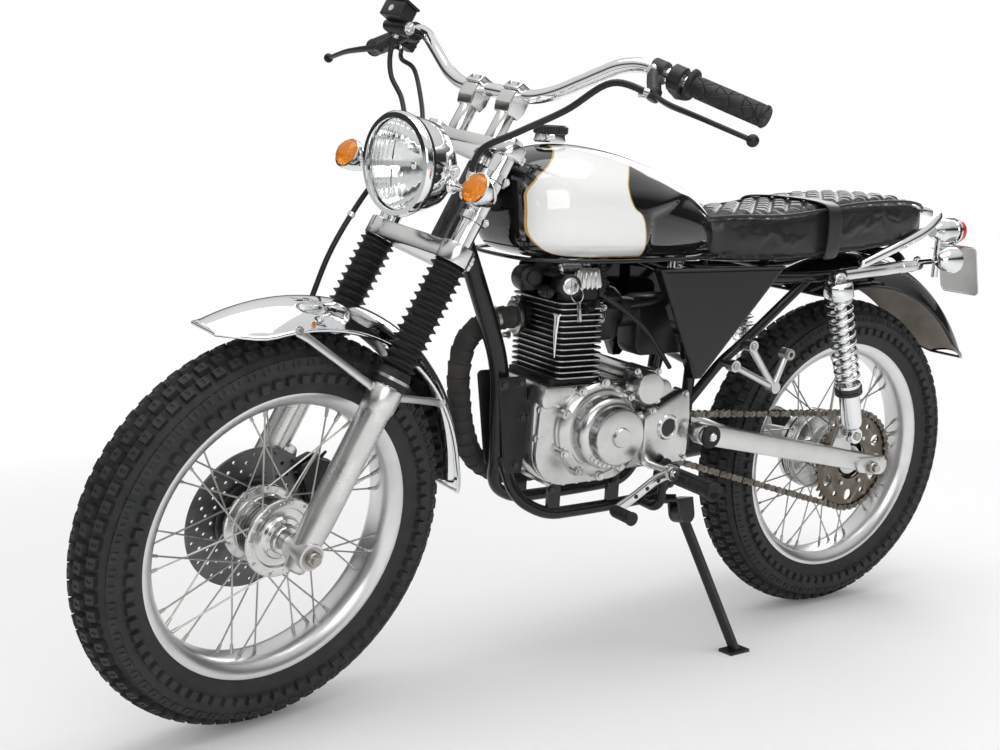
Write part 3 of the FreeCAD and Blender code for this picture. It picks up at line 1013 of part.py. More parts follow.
header_shares = [(0.617, -0.399, 0.5943), (0.66, -0.461, 0.5896), (0.697, -0.486, 0.5236), (0.705, -0.511, 0.4009),
                 (0.693, -0.573, 0.2311), (0.664, -0.773, 0.0943), (0.605, -0.934, 0.0142), (0.53, -1.072, 0.0071),
                 (0.45, -1.433, 0.0), (0.38, -1.57, 0.0)]
header = tube(places(header_shares), d.header_radius)
keep(shaped("Header", header), "exhaust_header", lean)
muffler_axis = [(0.38, -1.57, 0.0), (-0.06, -1.969, 0.0236)]
m0, m1 = [Vector(*p) for p in places(muffler_axis)]
cone_share = 0.14
cone_length = (m1 - m0).Length * cone_share
muffler = fused([
    Part.makeCone(d.header_radius + d.fender_wall, d.muffler_radius, cone_length, m0, m1 - m0),
    Part.makeCylinder(d.muffler_radius, (m1 - m0).Length - 2 * cone_length, m0 + (m1 - m0) * cone_share, m1 - m0),
    Part.makeCone(d.muffler_radius, d.muffler_tail_radius, cone_length, m0 + (m1 - m0) * (1 - cone_share), m1 - m0)])
hanger_foot = m0 + (m1 - m0) * d.muffler_hanger_share
hanger = bar(tuple(hanger_foot), (d.hanger_low_x, -d.hanger_y, d.hanger_low_z - d.hanger_wall), d.hanger_wall)
boss_room = Part.makeCylinder(d.hanger_boss_radius + d.seat_gap, 2 * d.hanger_y,
                              Vector(d.hanger_low_x, -2 * d.hanger_y, d.hanger_low_z), Vector(0, 1, 0))
keep(shaped("Muffler", fused([muffler, hanger]).cut(header).cut(boss_room)), "muffler", lean)

# Tank, seat and covers
tank_shares = [
    # along from front to back, half width, top, bottom
    (0.0, 0.30, 0.55, 0.30), (0.045, 0.50, 0.78, 0.12), (0.13, 0.76, 0.95, 0.02), (0.30, 0.97, 1.0, 0.0),
    (0.46, 1.0, 0.955, 0.0), (0.62, 0.94, 0.84, 0.0), (0.78, 0.80, 0.67, 0.0), (0.91, 0.64, 0.44, 0.01),
    (1.0, 0.40, 0.16, 0.03),
]


def section(x, half, low, high):
    # closed smooth section across the vehicle, fuller low down than at the crown
    height = high - low
    outline_shares = [(0.0, 0.0), (0.55, 0.0), (0.90, 0.06), (1.0, 0.28), (0.97, 0.52), (0.80, 0.80), (0.46, 0.965),
                      (0.0, 1.0)]
    pts = [Vector(x, half * a, low + height * b) for a, b in outline_shares]
    pts += [Vector(p.x, -p.y, p.z) for p in pts[-2:0:-1]]
    curve = Part.BSplineCurve()
    curve.interpolate(pts, PeriodicFlag=True)
    return Part.Wire([curve.toShape()])


tank_length = d.tank_front - d.tank_back
tank_height = d.tank_top - d.tank_bottom
sections = [section(d.tank_front - a * tank_length, b * d.tank_half_width, d.tank_bottom + e * tank_height,
                    d.tank_bottom + c * tank_height) for a, b, c, e in tank_shares]
tank_shape = Part.makeLoft(sections, True, False)
tunnel_points = [Vector(d.tank_front + d.cut_overrun, -d.tunnel_half_width, d.tunnel_front_top),
                 Vector(d.tunnel_end_x, -d.tunnel_half_width, d.tunnel_end_top),
                 Vector(d.tunnel_end_x, -d.tunnel_half_width, d.tank_bottom - d.cut_overrun),
                 Vector(d.tank_front + d.cut_overrun, -d.tunnel_half_width, d.tank_bottom - d.cut_overrun)]
tunnel = Part.Face(Part.makePolygon(tunnel_points + [tunnel_points[0]])).extrude(Vector(0, 2 * d.tunnel_half_width, 0))
tank_shape = tank_shape.cut(tunnel)
keep(shaped("FuelTank", tank_shape), "fuel_tank", lean)
neck = Part.makeCylinder(d.cap_neck_radius, d.cap_neck_height, Vector(d.cap_x, 0, d.tank_top))
cap_top = Part.makeCylinder(d.cap_radius, d.cap_height, Vector(d.cap_x, 0, d.tank_top + d.cap_neck_height))
keep(shaped("FuelCap", fused([neck, cap_top]).cut(tank_shape)), "fuel_cap", lean)

seat_shares = [(0.0, 0.34, 0.05, 0.62), (0.05, 0.66, 0.0, 0.76), (0.16, 0.86, 0.0, 0.77), (0.34, 1.0, 0.0, 0.80),
               (0.52, 1.0, 0.04, 0.90), (0.70, 0.97, 0.10, 0.98), (0.86, 0.90, 0.18, 1.0), (0.96, 0.74, 0.26, 0.94),
               (1.0, 0.50, 0.36, 0.80)]
seat_length = d.seat_front - d.seat_back
seat_height = d.seat_top - d.seat_bottom


def cushion(x, half, low, high):
    height = high - low
    outline_shares = [(0.0, 0.0), (0.70, 0.0), (0.96, 0.08), (1.0, 0.40), (0.95, 0.74), (0.74, 0.94), (0.36, 0.99),
                      (0.0, 1.0)]
    pts = [Vector(x, half * a, low + height * b) for a, b in outline_shares]
    pts += [Vector(p.x, -p.y, p.z) for p in pts[-2:0:-1]]
    curve = Part.BSplineCurve()
    curve.interpolate(pts, PeriodicFlag=True)
    return Part.Wire([curve.toShape()])


seat_shape = Part.makeLoft([cushion(d.seat_front - a * seat_length, b * d.seat_half_width, d.seat_bottom + c * seat_height,
                                    d.seat_bottom + e * seat_height) for a, b, c, e in seat_shares], True, False)
tank_room = tank_shape.copy()
tank_room.translate(Vector(-d.seat_gap, 0, 0))
under_seat = Part.makeBox(seat_length, 2 * d.seat_half_width, seat_height, Vector(d.seat_back, -d.seat_half_width, d.seat_bottom - seat_height))
keep(shaped("Seat", seat_shape.cut(tank_room).cut(tank_shape).cut(under_seat)), "seat", lean)


def coverBody(name, inner, outer):
    body = doc.addObject("PartDesign::Body", name)
    sketch = outline(body, name + "Outline", "XZ_Plane", [
        ("cover_front", "cover_top"), ("cover_back", "cover_top"), ("cover_bottom_x - cover_round", "cover_bottom"),
        ("cover_bottom_x + cover_round", "cover_bottom")])
    sketch.setExpression("AttachmentOffset.Base.z", bound(inner))
    doc.recompute()
    pad = body.newObject("PartDesign::Pad", name + "Pad")
    pad.Profile = sketch
    pad.setExpression("Length", bound(outer))
    doc.recompute()
    outward = -1 if inner.startswith("-") else 1
    rim = [i + 1 for i, edge in enumerate(pad.Shape.Edges)
           if all(abs(corner.Point.y + outward * d.cover_outer_y) < d.running_clearance for corner in edge.Vertexes)]
    softened = body.newObject("PartDesign::Fillet", name + "Edge")
    softened.Base = (pad, ["Edge%d" % i for i in rim])
    softened.setExpression("Radius", bound("cover_round"))
    doc.recompute()
    return body


covers = doc.addObject("Part::Compound", "SideCovers")
covers.Links = [coverBody("SideCoverLeft", "-cover_outer_y", "cover_outer_y - cover_inner_y"),
                coverBody("SideCoverRight", "cover_inner_y", "cover_outer_y - cover_inner_y")]
keep(covers, "side_covers", lean)

# Swingarm, axle, shocks
arms = []
arm_h = d.arm_height / 2
for side in (1, -1):
    y0 = side * d.arm_inner_y
    y1 = side * d.arm_outer_y
    corners = [Vector(d.pivot_x + arm_h, y0, d.pivot_z - arm_h), Vector(d.pivot_x + arm_h, y0, d.pivot_z + arm_h),
               Vector(d.pivot_x, y0, d.pivot_z + arm_h), Vector(-d.arm_tail, y0, arm_h), Vector(-d.arm_tail, y0, -arm_h),
               Vector(d.pivot_x, y0, d.pivot_z - arm_h)]
    arms.append(Part.Face(Part.makePolygon(corners + [corners[0]])).extrude(Vector(0, y1 - y0, 0)))
arm_cross_z = d.pivot_z * d.arm_cross_x / d.pivot_x
arms.append(bar((d.arm_cross_x, -d.arm_inner_y, arm_cross_z), (d.arm_cross_x, d.arm_inner_y, arm_cross_z), d.arm_cross_radius))
span = d.arm_outer_y + d.pivot_cap_width
arms.append(Part.makeCylinder(d.pivot_radius, 2 * span, Vector(d.pivot_x, -span, d.pivot_z), Vector(0, 1, 0)))
for y in (d.arm_outer_y, -span):
    arms.append(Part.makeCylinder(d.pivot_cap_radius, d.pivot_cap_width, Vector(d.pivot_x, y, d.pivot_z), Vector(0, 1, 0)))
arms.append(Part.makeCylinder(d.axle_radius, 2 * d.rear_axle_reach, Vector(0, -d.rear_axle_reach, 0), Vector(0, 1, 0)))
inner = d.hub_half_width + d.running_clearance
for y in (d.arm_outer_y, -d.arm_outer_y - d.axle_nut_width):
    arms.append(Part.makeCylinder(d.axle_nut_radius, d.axle_nut_width, Vector(0, y, 0), Vector(0, 1, 0)))
arms.append(Part.makeCylinder(d.spacer_radius, d.arm_inner_y - inner, Vector(0, inner, 0), Vector(0, 1, 0)))
plate_outer = d.hub_half_width + d.spoke_flange_step + d.brake_plate_width
arms.append(Part.makeCylinder(d.spacer_radius, d.arm_inner_y - plate_outer, Vector(0, -d.arm_inner_y, 0), Vector(0, 1, 0)))
for side in (1, -1):
    arms.append(Part.makeCylinder(d.shock_rod_radius, d.shock_y - d.arm_middle_y + d.shock_eye_width / 2,
                                  Vector(d.shock_low_x, side * d.arm_middle_y, d.shock_low_z),
                                  Vector(0, side, 0)))
    arms.append(Part.makeBox(d.pivot_lug_length, d.lug_wall, d.shock_low_z + d.lug_wall + d.shock_rod_radius,
                             Vector(d.shock_low_x - d.pivot_lug_length / 2,
                                    side * d.arm_middle_y - d.lug_wall / 2, 0)))
for side in (1, -1):
    arms.append(Part.makeCylinder(d.adjuster_radius, d.adjuster_length + d.adjuster_lap,
                                  Vector(d.adjuster_lap - d.arm_tail, side * d.arm_middle_y, 0), Vector(-1, 0, 0)))
keep(shaped("Swingarm", fused(arms)), "swingarm", lean)
top = Vector(d.shock_top_x, d.shock_y, d.shock_top_z)
low = Vector(d.shock_low_x, d.shock_y, d.shock_low_z)
way = top - low
span_len = way.Length
way.normalize()
spring_start = d.shock_body_length
spring_end = span_len - d.shock_cap_height
coil = (spring_end - spring_start) / d.shock_coils
shock_line = [(0, 0), (d.shock_body_radius, 0), (d.shock_body_radius, spring_start)]
for i in range(int(d.shock_coils)):
    shock_line += [(d.shock_spring_root, spring_start + i * coil), (d.shock_spring_radius, spring_start + (i + 0.5) * coil)]
shock_line += [(d.shock_spring_root, spring_end), (d.shock_cap_radius, spring_end), (d.shock_cap_radius, span_len), (0, span_len)]
shock_line = [Vector(radius, 0, height) for radius, height in shock_line]
shock_core = Part.Face(Part.makePolygon(shock_line + [shock_line[0]])).revolve(Vector(0, 0, 0), Vector(0, 0, 1), 360)
shock_core.Placement = Placement(low, Rotation(Vector(0, 0, 1), way))
shock = fused([
    shock_core,
    Part.makeCylinder(d.shock_eye_radius, d.shock_eye_width, top - Vector(0, d.shock_eye_width / 2, 0), Vector(0, 1, 0)),
    Part.makeCylinder(d.shock_eye_radius, d.shock_eye_width, low - Vector(0, d.shock_eye_width / 2, 0), Vector(0, 1, 0))])
shock = shock.cut(Part.makeCylinder(d.shock_rod_radius, 4 * d.shock_eye_width, low - Vector(0, 2 * d.shock_eye_width, 0),
                                    Vector(0, 1, 0)))
shock = shock.cut(Part.makeCylinder(d.shock_rod_radius, 4 * d.shock_eye_width, top - Vector(0, 2 * d.shock_eye_width, 0),
                                    Vector(0, 1, 0)))
keep(shaped("RearShocks", apart([shock, mirrored(shock)])), "rear_shocks", lean)

# Tail
grab_shares = [(0.045, 0.997, 0.7818), (-0.02, 1.171, 0.8514), (-0.084, 1.121, 0.9057), (-0.146, 0.773, 0.9576), (-0.172, 0.324, 0.9693)]
grab_side = places(grab_shares)
grab_path = grab_side + [(x, -y, z) for x, y, z in reversed(grab_side)]
keep(shaped("GrabRail", tube(grab_path, d.grab_radius).cut(frame_shape)), "grab_rail", lean)
lamp_back = -d.tail_lamp_length
lamp = turnedX([(0, 0), (0, d.lamp_neck_radius), (-d.lamp_neck_length, d.tail_lamp_radius),
                (lamp_back + d.lamp_flare_width, d.tail_lamp_radius), (lamp_back + d.lamp_flare_width, d.lamp_flare_radius),
                (lamp_back, d.lamp_flare_radius), (lamp_back, 0)])
lamp.translate(Vector(d.tail_lamp_x, 0, d.tail_lamp_z))
lens_back = lamp_back - d.tail_lens_length
lens = turnedX([(lamp_back, 0), (lamp_back, d.tail_lamp_radius - d.number_wall), (lens_back + d.lens_dome, d.tail_lamp_radius - d.number_wall),
                (lens_back, d.tail_lamp_radius - d.number_wall - d.lens_dome), (lens_back, 0)])
lens.translate(Vector(d.tail_lamp_x, 0, d.tail_lamp_z))
post_x = d.tail_lamp_x - d.tail_lamp_radius
post_foot = math.sqrt(d.rear_fender_radius ** 2 - post_x ** 2)
number_low = Vector(d.number_x + d.number_wall, 0, d.number_top_z - d.tail_lamp_radius)
lamp = fused([lamp, bar((post_x, 0, post_foot), (post_x, 0, d.tail_lamp_z), d.hanger_wall),
              bar((post_x, 0, number_low.z), tuple(number_low), d.lug_wall)]).cut(rear_guard)
lamp = max(lamp.Solids, key=lambda solid: solid.Volume)
number = Part.makeBox(d.number_wall, d.number_width, d.number_height, Vector(0, -d.number_width / 2, -d.number_height))
upright = [edge for edge in number.Edges if abs(edge.tangentAt(edge.FirstParameter).x) > 0.5]
number = number.makeFillet(d.number_corner, upright)
number.rotate(Vector(0, 0, 0), Vector(0, 1, 0), d.number_tilt_deg)
number.translate(Vector(d.number_x, 0, d.number_top_z))
keep(shaped("TailLamp", lamp.cut(number)), "tail_lamp", lean)
keep(shaped("TailLens", lens), "tail_lamp_lens", lean)
keep(shaped("NumberPlate", number), "number_plate", lean)
rear_globe = signalGlobe(-1)
rear_globe.translate(Vector(d.rear_signal_x, d.rear_signal_y, d.rear_signal_z))
rear_signal = fused([
    bar((d.rear_signal_x, d.tail_rail_y, rail_end_z), (d.rear_signal_x, d.rear_signal_y, d.rear_signal_z),
        d.signal_stalk_radius), rear_globe])
rear_signal = rear_signal.cut(frame_shape)
keep(shaped("RearSignals", apart([rear_signal, mirrored(rear_signal)])), "rear_indicators", lean)
plate = Part.makeCylinder(d.brake_plate_radius, d.brake_plate_width, Vector(0, -d.hub_half_width - d.spoke_flange_step - d.brake_plate_width, 0), Vector(0, 1, 0))
plate = plate.cut(Part.makeCylinder(d.axle_radius, 4 * d.arm_outer_y, Vector(0, -2 * d.arm_outer_y, 0), Vector(0, 1, 0)))
keep(shaped("RearBrakePlate", plate), "rear_brake_plate", lean)

# Pegs, levers and the passenger peg hangers
rib = (d.peg_outer_y - d.peg_inner_y) / d.peg_ribs
peg_line = [(0, d.peg_inner_y)]
for i in range(int(d.peg_ribs)):
    start = d.peg_inner_y + i * rib
    peg_line += [(d.peg_radius - d.peg_groove, start), (d.peg_radius, start + rib / 4), (d.peg_radius, start + 3 * rib / 4)]
peg_line += [(d.peg_radius - d.peg_groove, d.peg_outer_y), (0, d.peg_outer_y)]
peg_rubber = turnedY(peg_line)
peg_rubber.translate(Vector(d.peg_x, 0, d.peg_z))
pegs = []
for side in (1, -1):
    hanger_path = [(d.peg_x, cradle_y, cradle_z), (d.peg_x, d.peg_root_y, cradle_z), (d.peg_x, d.peg_root_y, d.peg_z)]
    peg = fused([
        tube(hanger_path, d.peg_hanger_radius),
        Part.makeCylinder(d.peg_bar_radius, d.peg_inner_y - d.peg_root_y + d.peg_bar_radius,
                          Vector(d.peg_x, d.peg_root_y - d.peg_bar_radius, d.peg_z), Vector(0, 1, 0)),
        peg_rubber])
    pegs.append((peg if side > 0 else mirrored(peg)).cut(frame_shape))
keep(shaped("RiderPegs", apart(pegs)), "rider_pegs", lean)
gear = fused([
    tube([(d.gear_pivot_x, d.sprocket_cover_face_y, d.gear_pivot_z), (d.gear_pivot_x, d.gear_y, d.gear_pivot_z)], d.lever_wall),
    bar((d.gear_pivot_x, d.gear_y, d.gear_pivot_z), (d.gear_toe_x, d.gear_y, d.gear_toe_z), d.lever_wall),
    bar((d.gear_toe_x, d.gear_y, d.gear_toe_z), (d.gear_toe_x, d.gear_y + d.toe_length, d.gear_toe_z), d.toe_radius)])
brake = fused([
    bar((d.gear_pivot_x, -d.case_half_width, d.gear_pivot_z), (d.gear_pivot_x, -d.gear_y, d.gear_pivot_z), d.lever_wall),
    bar((d.gear_pivot_x, -d.gear_y, d.gear_pivot_z), (d.brake_toe_x, -d.gear_y, d.brake_toe_z), d.lever_wall),
    bar((d.brake_toe_x, -d.gear_y, d.brake_toe_z), (d.brake_toe_x, -d.gear_y - d.toe_length, d.brake_toe_z), d.toe_radius)])
keep(shaped("FootControls", apart([gear, brake])), "foot_controls", lean)
strut_points = places(strut_shares)
hangers = []
for side in (1, -1):
    upper, lower = Vector(*strut_points[2]), Vector(*strut_points[1])
    junction = Vector(d.hanger_low_x, d.hanger_y, d.hanger_low_z)
    arm = fused([
        bar(tuple(upper), (upper.x, d.hanger_y, upper.z), d.hanger_wall),
        bar(tuple(lower), (lower.x, d.hanger_y, lower.z), d.hanger_wall),
        bar((upper.x, d.hanger_y, upper.z), tuple(junction), d.hanger_wall),
        bar((lower.x, d.hanger_y, lower.z), tuple(junction), d.hanger_wall),
        bar(tuple(junction), (d.passenger_peg_x, d.hanger_y, d.passenger_peg_z), d.hanger_wall)]
        + [Part.makeCylinder(d.hanger_boss_radius, 2 * d.hanger_boss_half, Vector(x, d.hanger_y - d.hanger_boss_half, z), Vector(0, 1, 0))
           for x, z in ((upper.x, upper.z), (lower.x, lower.z), (junction.x, junction.z), (d.passenger_peg_x, d.passenger_peg_z))])
    arm = arm.cut(Part.makeCylinder(d.peg_hole_radius, 4 * d.hanger_boss_half,
                                    Vector(d.passenger_peg_x, d.hanger_y - 2 * d.hanger_boss_half, d.passenger_peg_z),
                                    Vector(0, 1, 0)))
    hangers.append((arm if side > 0 else mirrored(arm)).cut(frame_shape))
keep(shaped("PassengerHangers", apart(hangers)), "passenger_peg_hangers", lean)

# Side stand: the leg swings about a bolt whose axis tips outward
phi = math.radians(d.lean_deg)
ground_z = (d.stand_foot_y * math.sin(phi) - crown_height) / math.cos(phi)
stand_axis = Vector(0, math.cos(math.radians(d.stand_tilt_deg)), math.sin(math.radians(d.stand_tilt_deg)))
stand_pivot = Vector(d.stand_pivot_x, d.stand_pivot_y, d.stand_pivot_z)
stand_foot = Vector(d.stand_foot_x, d.stand_foot_y, ground_z)
world_up = Vector(0, -math.sin(phi), math.cos(phi))
leg_foot = stand_foot + world_up * d.stand_foot_wall
eye = Part.makeCylinder(d.stand_lug_radius, 2 * d.stand_leg_radius, stand_pivot - stand_axis * d.stand_leg_radius, stand_axis)
leg = Part.makeCylinder(d.stand_leg_radius, (leg_foot - stand_pivot).Length, stand_pivot, leg_foot - stand_pivot)
foot = Part.makeBox(d.stand_foot_length, d.stand_foot_width, d.stand_foot_wall,
                    Vector(-d.stand_foot_length / 2, -d.stand_foot_width / 2, 0))
foot.rotate(Vector(0, 0, 0), Vector(1, 0, 0), d.lean_deg)
foot.translate(stand_foot)
under = Part.makeBox(8 * d.stand_foot_length, 8 * d.stand_foot_width, 8 * d.stand_foot_wall,
                     Vector(-4 * d.stand_foot_length, -4 * d.stand_foot_width, -8 * d.stand_foot_wall))
under.rotate(Vector(0, 0, 0), Vector(1, 0, 0), d.lean_deg)
under.translate(stand_foot)
stand_bore = Part.makeCylinder(d.stand_bolt_radius + d.running_clearance, 4 * d.stand_leg_radius,
                               stand_pivot - stand_axis * 2 * d.stand_leg_radius, stand_axis)
keep(shaped("SideStand", fused([eye, leg, foot]).cut(under).cut(stand_bore)), "side_stand", lean)
doc.recompute()
for item in doc.Objects:
    if "Invalid" in item.State or "Error" in item.State:
        raise RuntimeError("%s failed to recompute" % item.Name)
os.makedirs("parts", exist_ok=True)
for item in pieces:
    if item.Shape.isNull() or not item.Shape.isValid():
        raise RuntimeError("%s has no valid shape" % item.Label)
    item.Shape.exportStep("parts/%s.step" % item.Label)
    print(item.Label, len(item.Shape.Solids), round(item.Shape.Volume / 1000), "cm3")
print(len(pieces), "pieces")
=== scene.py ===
import json
import math
import bpy
import bmesh
from mathutils import Matrix, Vector, Euler, geometry


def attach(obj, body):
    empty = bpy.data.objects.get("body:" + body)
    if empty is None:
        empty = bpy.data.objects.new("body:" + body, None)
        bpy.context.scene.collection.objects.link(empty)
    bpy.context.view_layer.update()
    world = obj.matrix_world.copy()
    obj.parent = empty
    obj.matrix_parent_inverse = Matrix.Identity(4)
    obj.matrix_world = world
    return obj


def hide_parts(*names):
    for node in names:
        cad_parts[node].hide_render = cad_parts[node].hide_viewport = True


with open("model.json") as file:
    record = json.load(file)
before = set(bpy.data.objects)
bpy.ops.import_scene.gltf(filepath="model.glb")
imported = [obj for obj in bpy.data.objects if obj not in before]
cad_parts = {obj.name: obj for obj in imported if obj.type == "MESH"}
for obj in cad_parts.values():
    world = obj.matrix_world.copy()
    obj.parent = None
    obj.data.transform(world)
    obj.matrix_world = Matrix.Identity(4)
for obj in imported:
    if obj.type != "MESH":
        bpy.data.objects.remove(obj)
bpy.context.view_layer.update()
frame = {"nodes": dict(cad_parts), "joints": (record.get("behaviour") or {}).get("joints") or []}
nodes = frame["nodes"]
joints = {joint["name"]: joint for joint in frame["joints"]}
mm = 0.001

# where things stand: the leaning bike, its turned fork and the front axle
def axesAt(origin, across, up=None):
    y = Vector(across).normalized()
    if up is None:
        x = Vector((1, 0, 0))
        z = x.cross(y).normalized()
    else:
        z = Vector(up).normalized()
    x = y.cross(z).normalized()
    turn = Matrix((x, y, z)).transposed().to_4x4()
    return Matrix.Translation(Vector(origin)) @ turn


bike = axesAt(joints["rear_wheel_spin"]["pos_m"], joints["rear_wheel_spin"]["axis"])
frontAxle = axesAt(joints["front_wheel_spin"]["pos_m"], joints["front_wheel_spin"]["axis"],
                   joints["steering"]["axis"])
fork = frontAxle @ Matrix.Translation((-50 * mm, 0, 0))

# camera, as the photograph was taken
cameraValues = {"place": (1912.2, 1737.7, 642.7), "right": (-0.8515, 0.5221, 0.0492),
                "down": (0.0647, 0.1976, -0.9781), "ahead": (-0.5204, -0.8297, -0.202), "lens": 43.38}
cameraData = bpy.data.cameras.new("photoCamera")
cameraData.lens = cameraValues["lens"]
cameraData.sensor_width = 36
cameraData.clip_end = 60
photoCamera = bpy.data.objects.new("photoCamera", cameraData)
bpy.context.scene.collection.objects.link(photoCamera)
cameraTurn = Matrix((Vector(cameraValues["right"]), -Vector(cameraValues["down"]),
                     -Vector(cameraValues["ahead"]))).transposed().to_4x4()
photoCamera.matrix_world = bike @ Matrix.Translation(Vector(cameraValues["place"]) * mm) @ cameraTurn
bpy.context.scene.camera = photoCamera
bpy.context.scene.view_settings.view_transform = "Standard"
print("camera set")

# shared node groups
def newGroup(name, inputs, outputs):
    group = bpy.data.node_groups.new(name, "ShaderNodeTree")
    for label, kind, value in inputs:
        socket = group.interface.new_socket(label, in_out="INPUT", socket_type=kind)
        if value is not None:
            socket.default_value = value
    for label, kind in outputs:
        group.interface.new_socket(label, in_out="OUTPUT", socket_type=kind)
    return group, group.nodes.new("NodeGroupInput"), group.nodes.new("NodeGroupOutput")


def mottleGroup():
    # cloudy dirt and handling marks, fine grain over them
    group, given, made = newGroup("mottle", [("Scale", "NodeSocketFloat", 14.0),
                                             ("Grain", "NodeSocketFloat", 400.0),
                                             ("Cover", "NodeSocketFloat", 0.5)],
                                  [("Mask", "NodeSocketFloat"), ("Fine", "NodeSocketFloat")])
    place = group.nodes.new("ShaderNodeTexCoord")
    cloud = group.nodes.new("ShaderNodeTexNoise")
    cloud.inputs["Detail"].default_value = 6
    cloud.inputs["Roughness"].default_value = 0.62
    fine = group.nodes.new("ShaderNodeTexNoise")
    fine.inputs["Detail"].default_value = 3
    spread = group.nodes.new("ShaderNodeMapRange")
    spread.inputs["From Min"].default_value = 0.35
    spread.inputs["From Max"].default_value = 0.72
    amount = group.nodes.new("ShaderNodeMath")
    amount.operation = "MULTIPLY"
    link = group.links.new
    link(place.outputs["Object"], cloud.inputs["Vector"])
    link(place.outputs["Object"], fine.inputs["Vector"])
    link(given.outputs["Scale"], cloud.inputs["Scale"])
    link(given.outputs["Grain"], fine.inputs["Scale"])
    link(cloud.outputs["Fac"], spread.inputs["Value"])
    link(spread.outputs["Result"], amount.inputs[0])
    link(given.outputs["Cover"], amount.inputs[1])
    link(amount.outputs["Value"], made.inputs["Mask"])
    link(fine.outputs["Fac"], made.inputs["Fine"])
    return group


def brushedGroup():
    # long thin marks along one direction
    group, given, made = newGroup("brushed", [("Along", "NodeSocketVector", (2.0, 90.0, 90.0)),
                                              ("Scale", "NodeSocketFloat", 12.0)],
                                  [("Marks", "NodeSocketFloat")])
    place = group.nodes.new("ShaderNodeTexCoord")
    stretch = group.nodes.new("ShaderNodeVectorMath")
    stretch.operation = "MULTIPLY"
    streak = group.nodes.new("ShaderNodeTexNoise")
    streak.inputs["Detail"].default_value = 2
    link = group.links.new
    link(place.outputs["Object"], stretch.inputs[0])
    link(given.outputs["Along"], stretch.inputs[1])
    link(stretch.outputs["Vector"], streak.inputs["Vector"])
    link(given.outputs["Scale"], streak.inputs["Scale"])
    link(streak.outputs["Fac"], made.inputs["Marks"])
    return group


def wearGroup():
    # bright rubbed places on edges that stand out
    group, given, made = newGroup("edgeWear", [("Amount", "NodeSocketFloat", 0.5),
                                               ("Scale", "NodeSocketFloat", 60.0)],
                                  [("Mask", "NodeSocketFloat")])
    shape = group.nodes.new("ShaderNodeNewGeometry")
    sharp = group.nodes.new("ShaderNodeMapRange")
    sharp.inputs["From Min"].default_value = 0.54
    sharp.inputs["From Max"].default_value = 0.62
    place = group.nodes.new("ShaderNodeTexCoord")
    breakUp = group.nodes.new("ShaderNodeTexNoise")
    breakUp.inputs["Detail"].default_value = 4
    both = group.nodes.new("ShaderNodeMath")
    both.operation = "MULTIPLY"
    amount = group.nodes.new("ShaderNodeMath")
    amount.operation = "MULTIPLY"
    link = group.links.new
    link(shape.outputs["Pointiness"], sharp.inputs["Value"])
    link(place.outputs["Object"], breakUp.inputs["Vector"])
    link(given.outputs["Scale"], breakUp.inputs["Scale"])
    link(sharp.outputs["Result"], both.inputs[0])
    link(breakUp.outputs["Fac"], both.inputs[1])
    link(both.outputs["Value"], amount.inputs[0])
    link(given.outputs["Amount"], amount.inputs[1])
    link(amount.outputs["Value"], made.inputs["Mask"])
    return group


mottle, brushed, edgeWear = mottleGroup(), brushedGroup(), wearGroup()

# materials
def newMaterial(name):
    material = bpy.data.materials.new(name)
    material.use_nodes = True
    tree = material.node_tree
    return material, tree.nodes, tree.links.new, tree.nodes["Principled BSDF"]


def groupNode(tree, group, **values):
    node = tree.new("ShaderNodeGroup")
    node.node_tree = group
    for label, value in values.items():
        node.inputs[label].default_value = value
    return node


def rangeOf(tree, link, source, low, high):
    # a mask from 0 to 1 spread over low to high
    spread = tree.new("ShaderNodeMapRange")
    spread.inputs["To Min"].default_value, spread.inputs["To Max"].default_value = low, high
    link(source, spread.inputs["Value"])
    return spread.outputs["Result"]


def reliefOf(tree, link, height, strength, distance, under=None):
    # bumps from a height, on top of the bumps given by under
    bump = tree.new("ShaderNodeBump")
    bump.inputs["Strength"].default_value = strength
    bump.inputs["Distance"].default_value = distance
    link(height, bump.inputs["Height"])
    if under:
        link(under, bump.inputs["Normal"])
    return bump.outputs["Normal"]


def mixColours(tree, link, mask, first, second):
    mix = tree.new("ShaderNodeMix")
    mix.data_type = "RGBA"
    link(mask, mix.inputs["Factor"])
    for socket, value in (("A", first), ("B", second)):
        place = [i for i in mix.inputs if i.name == socket and i.type == "RGBA"][0]
        if isinstance(value, (tuple, list)):
            place.default_value = (*value, 1)
        else:
            link(value, place)
    return [o for o in mix.outputs if o.type == "RGBA"][0]


def finish(name, colour, stained, roughness=(0.3, 0.45), metal=0.0, cloud=14.0, grain=400.0, cover=0.6,
           bump=0.1, depth=0.0003, streaks=None, wear=None, coat=0.0, specular=0.5, sheen=0.0):
    material, tree, link, shader = newMaterial(name)
    marks = groupNode(tree, mottle, Scale=cloud, Grain=grain, Cover=cover)
    tint = mixColours(tree, link, marks.outputs["Mask"], colour, stained)
    shine, height = marks.outputs["Mask"], marks.outputs["Fine"]
    if streaks:
        shine = height = groupNode(tree, brushed, Along=streaks).outputs["Marks"]
    if wear:
        rubbed = groupNode(tree, edgeWear, Amount=wear[1])
        tint = mixColours(tree, link, rubbed.outputs["Mask"], tint, wear[0])
    link(tint, shader.inputs["Base Color"])
    link(rangeOf(tree, link, shine, *roughness), shader.inputs["Roughness"])
    link(reliefOf(tree, link, height, bump, depth), shader.inputs["Normal"])
    shader.inputs["Metallic"].default_value = metal
    shader.inputs["Coat Weight"].default_value = coat
    shader.inputs["Coat Roughness"].default_value = 0.06
    shader.inputs["Specular IOR Level"].default_value = specular
    shader.inputs["Sheen Weight"].default_value = sheen
    return material


paints = {}


def paint(name, *colours, **values):
    paints[name] = finish(name, *colours, **values)


